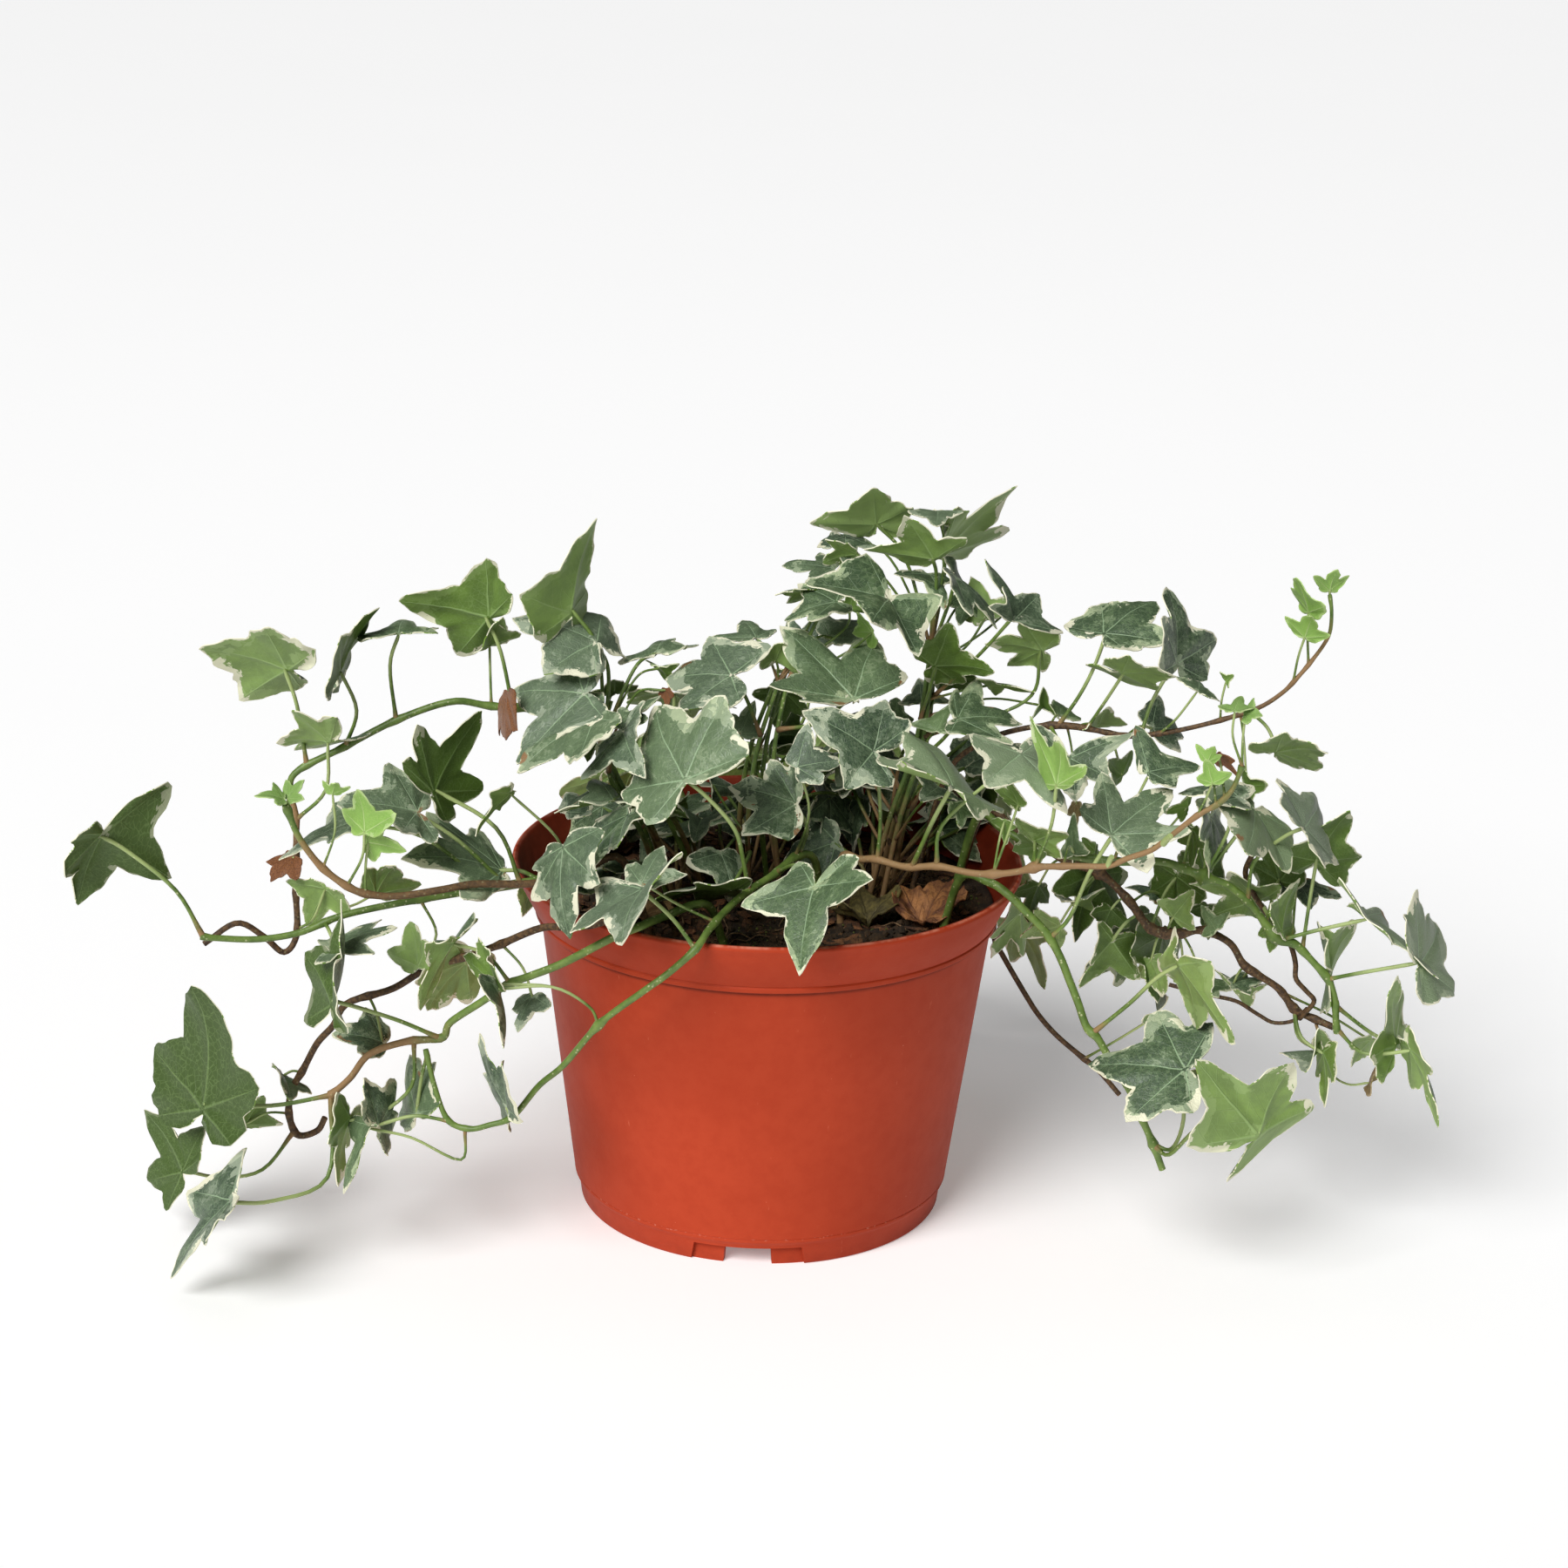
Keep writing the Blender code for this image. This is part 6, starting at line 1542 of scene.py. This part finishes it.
# From the middle of the foot outwards, up the outside, over the bead and down the inside to the floor
foot_inside = FOOT_RADIUS - FOOT_WIDTH
pot_outline = [
    (CENTRE_FOOT, 0.0), (CENTRE_FOOT + 0.5, FLOOR_HEIGHT), (foot_inside, FLOOR_HEIGHT),
    (foot_inside, 0.3), (foot_inside + 0.3, 0.0),
    *arc((FOOT_RADIUS - FOOT_ROUND, FOOT_ROUND), FOOT_ROUND, -90, 0, 4), (FOOT_RADIUS + 0.7, FOOT_HEIGHT),
    *arc((BODY_LOW_RADIUS - BODY_ROUND, BODY_LOW_HEIGHT - 1.0), BODY_ROUND, -40, 12, 4),
    (BODY_LOW_RADIUS + 0.02, BODY_LOW_HEIGHT - 0.6), (BODY_LOW_RADIUS - 0.12, SEAM_HEIGHT),
    (BODY_LOW_RADIUS + 0.06, BODY_LOW_HEIGHT - 0.25), (BODY_TOP_RADIUS - 0.1, COLLAR_FOOT - 0.8),
    (BODY_TOP_RADIUS + 0.15, COLLAR_FOOT - 0.25), (COLLAR_LOW_RADIUS - COLLAR_ROUND, COLLAR_FOOT),
    *arc((COLLAR_LOW_RADIUS - COLLAR_ROUND, COLLAR_FOOT + COLLAR_ROUND), COLLAR_ROUND, -90, 0, 3),
    (COLLAR_LOW_RADIUS + 0.15, COLLAR_FOOT + 1.4), (COLLAR_LOW_RADIUS - 0.12, GROOVE_HEIGHT),
    (COLLAR_LOW_RADIUS + 0.35, COLLAR_FOOT + 2.4), (COLLAR_TOP_RADIUS - 0.35, POT_HEIGHT - RIM_BEAD - 1.4),
    (COLLAR_TOP_RADIUS, POT_HEIGHT - RIM_BEAD - 0.3),
    *arc((RIM_RADIUS - BEAD_ROUND, POT_HEIGHT - BEAD_ROUND), BEAD_ROUND, -25, 150, 9),
    (RIM_RADIUS - WALL - 0.9, POT_HEIGHT - 1.4), (COLLAR_LOW_RADIUS - WALL, COLLAR_FOOT + 1.0),
    (BODY_TOP_RADIUS - WALL, COLLAR_FOOT - 1.0),
    (BODY_LOW_RADIUS - WALL - 0.6, FLOOR_HEIGHT + FLOOR_THICKNESS + 3.0),
    (BODY_LOW_RADIUS - WALL - 3.0, FLOOR_HEIGHT + FLOOR_THICKNESS)]
pot = turned("grower_pot", pot_outline, POT_SIDES)
print("the pot's outline has", len(pot_outline), "points")

# %% [markdown]
# ## Drainage notches
#
# Four times round the foot the wall steps back in a shallow recess with slanted ends, and in its middle
# an open notch lets the water out. Behind each notch the floor has a round hole. Each cutter is spun: a
# plane standing beside the axis is swept through a few degrees, which makes a block that is curved like
# the wall. A boolean then takes it out of the pot.

# %% Cut the notches
SLOT_WIDTH = 15.0
SLOT_HEIGHT = 4.8
SLOT_AZIMUTHS = (-93, 9, 165, 87)
RECESS_WIDTH = 35.0
RECESS_HEIGHT = 5.8
RECESS_DEPTH = 1.3
RECESS_SLANT = 1.6
SLOT_SLANT = 0.5
CUT_EDGE_ROUND = 0.22
DRAIN_RADIUS = 5.0
DRAIN_RING = 40.0
DRAIN_DEPTH = 12.0
DRAIN_SIDES = 32


def ring_block(near, far, low, high, azimuth, width, slant):
    """A cutter curved round the axis: width is along the wall, and slant narrows its top at each end."""
    bpy.ops.mesh.primitive_plane_add(size=1.0, rotation=(math.pi / 2, 0, 0),
                                     location=((near + far) / 2 * MM, 0, (low + high) / 2 * MM))
    block = bpy.context.object
    block.scale = ((far - near) * MM, (high - low) * MM, 1.0)
    bpy.ops.object.transform_apply(location=True, rotation=True, scale=True)
    open_mesh()
    bpy.ops.mesh.spin(steps=12, angle=width / FOOT_RADIUS, center=(0, 0, 0), axis=(0, 0, 1))
    bpy.ops.mesh.select_all(action="SELECT")
    bpy.ops.mesh.remove_doubles(threshold=0.001 * MM)
    close_mesh()
    turns = [math.atan2(vertex.co.y, vertex.co.x) for vertex in block.data.vertices]
    middle = (min(turns) + max(turns)) / 2
    half = (max(turns) - min(turns)) / 2
    for vertex, turn in zip(block.data.vertices, turns):
        share = (turn - middle) / half
        narrowed = half - (slant / FOOT_RADIUS if vertex.co.z / MM > (low + high) / 2 else 0.0)
        vertex.co.xy = around(vertex.co.xy.length, azimuth + share * narrowed)
    return block


def cut_out(body, cutter):
    """Takes a cutter away from a body, and removes the cutter."""
    applied(body, "BOOLEAN", {"operation": "DIFFERENCE", "object": cutter, "solver": "EXACT"})
    bpy.data.objects.remove(cutter)


for degrees in SLOT_AZIMUTHS:
    azimuth = math.radians(degrees)
    cut_out(pot, ring_block(FOOT_RADIUS - RECESS_DEPTH, FOOT_RADIUS + 4, -2, RECESS_HEIGHT, azimuth,
                            RECESS_WIDTH, RECESS_SLANT))
    cut_out(pot, ring_block(FOOT_RADIUS - FOOT_WIDTH - 3, FOOT_RADIUS + 4, -2, SLOT_HEIGHT, azimuth,
                            SLOT_WIDTH, SLOT_SLANT))
    x, y = around(DRAIN_RING, azimuth)
    bpy.ops.mesh.primitive_cylinder_add(vertices=DRAIN_SIDES, radius=DRAIN_RADIUS * MM,
                                        depth=DRAIN_DEPTH * MM,
                                        location=(x * MM, y * MM, (FLOOR_HEIGHT + 1) * MM))
    cut_out(pot, bpy.context.object)
applied(pot, "BEVEL", {"width": CUT_EDGE_ROUND * MM, "segments": 2, "limit_method": "ANGLE",
                       "angle_limit": math.radians(50), "harden_normals": False})
smoothed(pot, POT_CORNER)
print("the pot has", len(pot.data.polygons), "faces after its notches are cut")

# %% [markdown]
# ## The finish of the plastic
#
# Matt orange-red plastic is nearly even in colour. What makes it look real is small: slow clouds where
# the pigment is a little richer, fine pale specks and short upright scuffs from stacking, a faint pebbled
# skin that breaks the light, and a colour that is darker towards the foot. The line in the collar's groove
# is darker, partly dirt and partly painted shade; the pale line along the lip is partly wear and partly a
# painted highlight; and the inside of the wall is darkened with painted shade.

# %% Plastic finish
INNER_SHADE_RADIUS = 68.4
INNER_SHADE_HEIGHT = 92.5
INNER_SHADE_FLARE = 0.433


def terracotta_finish():
    look = Finish("terracotta_coloured_plastic", roughness=0.5, Specular_IOR_Level=0.12)
    place = look.place()
    across, along, height = (part / MM for part in look.parts(place))
    clouds = look.clouds(place, 16.0, 3.0, 0.5)
    mottle = look.clouds(place, 210.0, 3.0, 0.6)
    scuffs = look.clouds(look.stretched(place, (1.0, 1.0, 0.22)), 900.0, 2.0, 0.6).step(0.66, 0.76)
    specks = look.cells(place, 420.0).step(0.10, 0.04)
    rare = look.clouds(place, 60.0, 2.0, 0.6).step(0.52, 0.66)
    skin = look.clouds(place, 1500.0, 2.0, 0.5)
    colour = look.mix(clouds.step(0.3, 0.7), tint(168, 58, 30), tint(180, 65, 36))
    colour = look.mix(mottle.step(0.35, 0.7) * 0.25, colour, tint(158, 48, 24))
    colour = look.mix(scuffs * rare * 0.35, colour, tint(232, 140, 110))
    colour = look.mix(specks * rare * 0.6, colour, tint(240, 170, 140))
    seam = abs(height - SEAM_HEIGHT).step(0.45, 0.15)
    chips = look.clouds(place, 700.0, 2.0, 0.7).step(0.56, 0.64)
    colour = look.mix(seam * chips * 0.2, colour, tint(240, 190, 165))
    # A darker line in the collar's groove: partly dirt, partly painted shade
    groove_dirt_and_shade = abs(height - GROOVE_HEIGHT).step(0.5, 0.2)
    colour = look.mix(groove_dirt_and_shade * 0.12, colour, tint(120, 36, 18))
    # A pale line on top of the bead: partly wear, partly a painted highlight
    wear_and_highlight = look.clouds(place, 130.0, 3.0, 0.7).step(0.38, 0.62)
    lip = height.step(POT_HEIGHT - 0.7, POT_HEIGHT - 0.1) * wear_and_highlight
    colour = look.mix(lip * 0.45, colour, tint(232, 160, 134))
    # Painted shade: the inside of the wall is darkened, standing in for the shade that the leaves cast
    # there. It is told from the outside by a line along the collar's middle
    far = across.math("SQRT", across * across + along * along)
    inside = (far - (height - INNER_SHADE_HEIGHT) * INNER_SHADE_FLARE - INNER_SHADE_RADIUS).step(0.2, -0.2)
    colour = look.mix(inside * (0.5 + mottle * 0.4), colour, tint(84, 28, 14))
    # Darker towards the foot
    foot = height.step(6.0, 1.0)
    colour = look.mix(foot * mottle * 0.5, colour, tint(120, 44, 30))
    look.colour(colour)
    look.rough(0.50 + mottle * 0.14 + scuffs * rare * 0.15)
    look.relief(skin * 0.6 + mottle * 0.4, 0.12, 0.5)
    return look.material


wear(pot, terracotta_finish())
dressed(pot, "pot")

# %% [markdown]
# ## The soil
#
# Potting soil is peat with bark chips, crumbs, pale root threads and a few green moss granules. Its
# body is turned like the pot, and then its top rings are lifted to a lumpy surface. The crumbs, chips,
# granules and withered flakes are real small bodies, because light has to fall between them. Each kind
# is one blank of a few dozen faces, copied many times with its own turn and size.

# %% Fill the pot
SOIL_DISH = 2.5
SOIL_LUMP = 1.2
SEAT_GAP = 0.35
SOIL_SIDES = 120
SOIL_RINGS = 44
SOIL_EDGE = COLLAR_LOW_RADIUS - WALL - SEAT_GAP + 0.6


def soil_height(x, y):
    """The lumpy top of the soil, a little lower in the middle."""
    far = math.hypot(x, y) / COLLAR_LOW_RADIUS
    lumps = math.sin(x * 0.21 + 1.3) * math.sin(y * 0.17 + 0.4) + 0.5 * math.sin(x * 0.47 - y * 0.39)
    return SOIL_TOP - SOIL_DISH * (1 - far ** 2) + SOIL_LUMP * lumps * (1 - far ** 4)


def soil_surface(x, y):
    """The same surface with the fine lumps that crumbs make."""
    spot = Vector((x, y, 0.0))
    rough = noise.noise(spot * 0.35) * 0.9 + noise.noise(spot * 0.9) * 0.5 + noise.noise(spot * 2.1) * 0.2
    fade = min(1.0, (SOIL_EDGE - spot.length) / 3.0)
    return soil_height(x, y) + rough * max(0.0, fade)


floor_level = FLOOR_HEIGHT + FLOOR_THICKNESS + SEAT_GAP
soil_rings = [SOIL_EDGE * share for share in np.linspace(0.975, 0.015, SOIL_RINGS)]
soil_outline = [(BODY_LOW_RADIUS - WALL - 3.7, floor_level),
                (BODY_LOW_RADIUS - WALL - 1.1, floor_level + 3.0),
                (BODY_TOP_RADIUS - WALL - 0.55, COLLAR_FOOT - 1.0),
                (COLLAR_LOW_RADIUS - WALL - SEAT_GAP, COLLAR_FOOT + 1.0),
                (SOIL_EDGE, SOIL_TOP), *((radius, SOIL_TOP) for radius in soil_rings)]
soil = turned("potting_soil_fill", soil_outline, SOIL_SIDES)
for vertex in soil.data.vertices:
    if vertex.co.z > (SOIL_TOP - 0.1) * MM and vertex.co.xy.length < (SOIL_EDGE - 0.1) * MM:
        vertex.co.z = soil_surface(vertex.co.x / MM, vertex.co.y / MM) * MM
only(soil)
bpy.ops.object.shade_smooth()
print("the soil has", len(soil.data.polygons), "faces")

# %% Crumbs, bark chips and moss
SOIL_SEED = 11
LYING_FLAT = 0.5
MOSS_SHIFT = Vector((3.1, 0.0, 0.0))
MOSS_FROM = 0.12


def lump_blank(name, subdivisions, size, rough, seed):
    """A small uneven body: a ball whose points are pushed in and out."""
    bpy.ops.mesh.primitive_ico_sphere_add(subdivisions=subdivisions, radius=1.0)
    blank = bpy.context.object
    blank.name = name
    for vertex in blank.data.vertices:
        push = 1 + rough * noise.noise(vertex.co * 1.7 + Vector((seed, 0.0, 0.0)))
        vertex.co = Vector([part * push * reach for part, reach in zip(vertex.co, size)])
    return blank


def scattered(name, blank, places, finish):
    """Copies of a blank at (point, size, turn) places, as one mesh."""
    shape = np.array([vertex.co for vertex in blank.data.vertices])
    faces = np.array([list(face.vertices) for face in blank.data.polygons])
    points = []
    corners = []
    for k, (spot, size, turn) in enumerate(places):
        points.append((shape * size) @ np.array(turn.to_matrix()).T + np.array(spot))
        corners.append(faces + k * len(shape))
    mesh = bpy.data.meshes.new(name)
    mesh.from_pydata(np.concatenate(points) * MM, [], np.concatenate(corners))
    mesh.materials.append(finish)
    bpy.data.objects.remove(blank)
    return added(name, mesh)


def strewn(draw, count, low, high, spread, lift, tilt=3.1):
    """Seeded places on the soil: evenly over the disc, with a size between low and high."""
    places = []
    for _ in range(count):
        x, y = around((SOIL_EDGE - high) * math.sqrt(draw.random()) * spread, draw.uniform(0, math.tau))
        size = low + (high - low) * draw.random() ** 2
        turn = Matrix.Rotation(draw.uniform(0, 6.28), 3, "Z").to_quaternion()
        lean = Matrix.Rotation(draw.uniform(-tilt, tilt), 3, "X").to_quaternion()
        places.append((Vector((x, y, soil_surface(x, y) + size * lift)), size, turn @ lean))
    return places


def earth_finish(name, dark, light, warm, scale):
    look = Finish(name, roughness=0.92)
    place = look.place()
    coarse = look.clouds(place, scale * 0.3, 4.0, 0.65)
    fine = look.clouds(place, scale * 2.0, 3.0, 0.7)
    fibres = look.clouds(look.stretched(place, (1.0, 0.12, 1.0)), scale * 2.4, 2.0)
    colour = look.mix(coarse.step(0.35, 0.7), dark, light)
    colour = look.mix(fibres.step(0.60, 0.70) * 0.5, colour, warm)
    look.colour(look.mix(fine.step(0.3, 0.75) * 0.5, colour, dark))
    look.rough(0.82 + fine * 0.16)
    look.relief(coarse + fine * 0.5, 0.8, 0.8)
    return look.material


peat = earth_finish("dark_peat", tint(34, 24, 12), tint(76, 54, 28), tint(132, 94, 52), 500.0)
bark = earth_finish("bark_chips", tint(58, 36, 20), tint(128, 84, 48), tint(172, 122, 74), 900.0)
moss = earth_finish("moss_granules", tint(60, 66, 24), tint(122, 128, 50), tint(150, 140, 60), 1500.0)
flakes = earth_finish("withered_flakes", tint(84, 50, 30), tint(150, 98, 60), tint(190, 140, 92), 400.0)
draw = random.Random(SOIL_SEED)
crumbs = scattered("soil_crumbs", lump_blank("crumb", 1, (1.0, 0.8, 0.7), 0.7, 1.0),
                   strewn(draw, 2600, 0.3, 1.5, 0.97, 0.2), peat)
chips = scattered("bark_chips", lump_blank("chip", 2, (1.6, 0.75, 0.28), 0.55, 5.0),
                  strewn(draw, 420, 0.7, 3.0, 0.95, 0.25, LYING_FLAT), bark)
moss_places = [place for place in strewn(draw, 1500, 0.25, 0.6, 0.95, 0.6)
               if noise.noise(place[0] * 0.06 + MOSS_SHIFT) > MOSS_FROM]
granules = scattered("moss_granules", lump_blank("granule", 1, (1.0, 0.9, 0.9), 0.4, 9.0), moss_places, moss)
litter = scattered("leaf_litter", lump_blank("flake", 2, (1.3, 0.9, 0.14), 0.7, 3.0),
                   strewn(draw, 110, 1.1, 2.6, 0.96, 0.35, LYING_FLAT), flakes)
wear(soil, peat)
print("moss granules:", len(moss_places))

# %% Root threads
THREADS = 46
THREAD_STEP = 3.2
THREAD_RADII = (0.28, 0.12)
THREAD_LIFTS = (0.2, 0.9, 1.6, 1.0, 1.4, 0.7, 0.0)


def thread(name, draw):
    """One thin root that lies over the soil in a few curves, or None where it meets the pot."""
    x, y = around((SOIL_EDGE - 8) * math.sqrt(draw.random()), draw.uniform(0, math.tau))
    heading = draw.uniform(0, math.tau)
    points = []
    for lift in THREAD_LIFTS:
        points.append(Vector((x, y, soil_surface(x, y) + lift)))
        heading += draw.uniform(-0.9, 0.9)
        along, across = around(THREAD_STEP, heading)
        x += along
        y += across
        if math.hypot(x, y) > SOIL_EDGE - 3:
            break
    if len(points) < 3:
        return None
    line = smooth_route(points, 4 * (len(points) - 1))
    return tube(name, line, np.linspace(*THREAD_RADII, len(line)), (1.0, 1.0), 0)


threads = [piece for piece in (thread("root_thread_%02d" % k, draw) for k in range(THREADS)) if piece]
roots = joined("root_threads", threads)
wear(roots, earth_finish("root_threads", tint(96, 70, 48), tint(168, 136, 98), tint(186, 160, 122), 1200.0))
soil = joined("potting_soil_fill", [soil, crumbs, chips, granules, litter, roots])
dressed(soil, "soil")

# %% [markdown]
# ## Fallen leaves
#
# Three dead leaves lie on the soil. A dry ivy leaf turns brown, its edge curls up and it crumples. They
# are bent from the same blank, with deeper waves, and get a papery finish with darker veins.

# %% Lay the fallen leaves
# Each row: name, place on the soil, heading, length, how far it is crumpled up, seed
FALLEN_LEAVES = [("fallen_leaf_1", (46, -22), 60, 21, 0.42, 1),
                 ("fallen_leaf_2", (30, -20), 100, 19, 0.34, 2),
                 ("fallen_leaf_3", (-36, -21), 62, 16, 0.16, 4)]
BLADE_DEPTH = 0.75
BLADE_THICKNESS = 0.35


def dry_finish(name, dark, light):
    look = LeafFinish(name, roughness=0.7)
    main, branch = look.veins(0.03)
    blotch = look.blots(7.0, 4.0, 0.6)
    fine = look.blots(40.0, 3.0, 0.6)
    colour = look.mix(blotch.step(0.35, 0.65), dark, light)
    colour = look.mix(fine.step(0.4, 0.7) * 0.4, colour, dark)
    look.colour(look.mix(main * 0.6 + branch * 0.3, colour, dark))
    look.rough(0.6 + fine * 0.25)
    look.relief(main * 0.6 + branch * 0.5 + blotch + fine * 0.4, 0.8, 0.8)
    return look.material


dry_looks = [dry_finish("dry_leaf_bronze", tint(96, 56, 34), tint(172, 116, 66)),
             dry_finish("dry_leaf_olive", tint(66, 58, 28), tint(116, 104, 54)),
             dry_finish("dry_leaf_tan", tint(140, 100, 62), tint(196, 160, 112))]


def fallen_leaf(name, place, heading, length, crumple, seed, finish):
    draw = random.Random(seed)
    along = Vector((*around(1.0, math.radians(heading)), 0.0))
    across = Vector((-along.y, along.x, 0.0))
    flat = [(across * x + along * y) * length for x, y in LOBES]
    spots = [Vector((*place, 0.0)) + arm * share for arm in flat for share in (0.0, 0.35, 0.7, 1.0)]
    level = max(soil_height(spot.x, spot.y) for spot in spots) + BLADE_DEPTH + SEAT_GAP
    base = Vector((*place, level))
    tips = [base + arm * (1 - crumple * 0.5) + Vector((0.0, 0.0, draw.uniform(0.5, 1.3) * crumple * length))
            for arm in flat]
    piece = bent_leaf(name + "_blade", base, tips, SKYWARD, length, uncut=True)
    for vertex in piece.data.vertices:
        spot = vertex.co / MM
        lift = crumple * (5.0 * noise.noise(spot * 0.16) + 2.2 * noise.noise(spot * 0.42))
        lift = lift + noise.noise(spot * 0.9) * 0.4
        vertex.co.z = max(vertex.co.z + lift * MM, (soil_height(spot.x, spot.y) + 0.8) * MM)
    wear(piece, finish)
    applied(piece, "SOLIDIFY", {"thickness": BLADE_THICKNESS * MM, "offset": -1.0})
    smoothed(piece, LEAF_CORNER)
    piece.name = name + "_dry"
    dressed(piece, name)


for row, look in zip(FALLEN_LEAVES, dry_looks):
    fallen_leaf(*row, look)

# %% [markdown]
# ## Floor and light
#
# The picture was taken in a white studio: wide soft light from the upper left and front, so that the
# pot is brighter on its left and only a faint shadow lies on the right. One broad sun does the main
# work, a soft panel from above gives the leaves their sheen, and bright surroundings fill the rest.

# %% Floor, lights and surroundings
SUN_WIDTH = 34
SUN_POWER = 3.4
SUN_WAY = Vector((0.83, 1.28, -1.35))
PANEL_SIZE = 1.6
PANEL_POWER = 3.5
PANEL_PLACE = Vector((-0.2, 0.2, 1.9))
PLANT_MIDDLE = Vector((0.0, 0.0, 0.10))
WHITE = (1.0, 1.0, 1.0, 1.0)
FLOOR_SIZE = 12.0
FLOOR_GLOW = 0.24
SKY_GLOW = 0.05

bpy.data.objects.remove(big_blank)
bpy.data.objects.remove(small_blank)
bpy.ops.mesh.primitive_plane_add(size=FLOOR_SIZE, location=(0.0, 3.0, 0.0))
studio_floor = bpy.context.object
studio_floor.name = "studio_floor"
floor_look = Finish("pale_studio_floor", roughness=0.7, Emission_Color=WHITE, Emission_Strength=FLOOR_GLOW)
clouds = floor_look.clouds(floor_look.place(), 3.0)
floor_look.colour(floor_look.mix(clouds, tint(246, 246, 246), tint(248, 248, 248)))
wear(studio_floor, floor_look.material)


def lamp(name, kind, place, towards, power):
    """A light that shines in one direction."""
    bpy.ops.object.light_add(type=kind, location=place)
    light = bpy.context.object
    light.name = name
    light.data.energy = power
    light.rotation_euler = towards.to_track_quat("-Z", "Y").to_euler()
    return light.data


lamp("main_light", "SUN", (-0.8, -1.5, 1.5), SUN_WAY, SUN_POWER).angle = math.radians(SUN_WIDTH)
lamp("top_light", "AREA", PANEL_PLACE, PLANT_MIDDLE - PANEL_PLACE, PANEL_POWER).size = PANEL_SIZE
surroundings = bpy.data.worlds.new("white_studio")
bpy.context.scene.world = surroundings
surroundings.use_nodes = True
background = surroundings.node_tree.nodes["Background"]
background.inputs["Color"].default_value = WHITE
background.inputs["Strength"].default_value = SKY_GLOW
bpy.context.scene.view_settings.view_transform = "Standard"
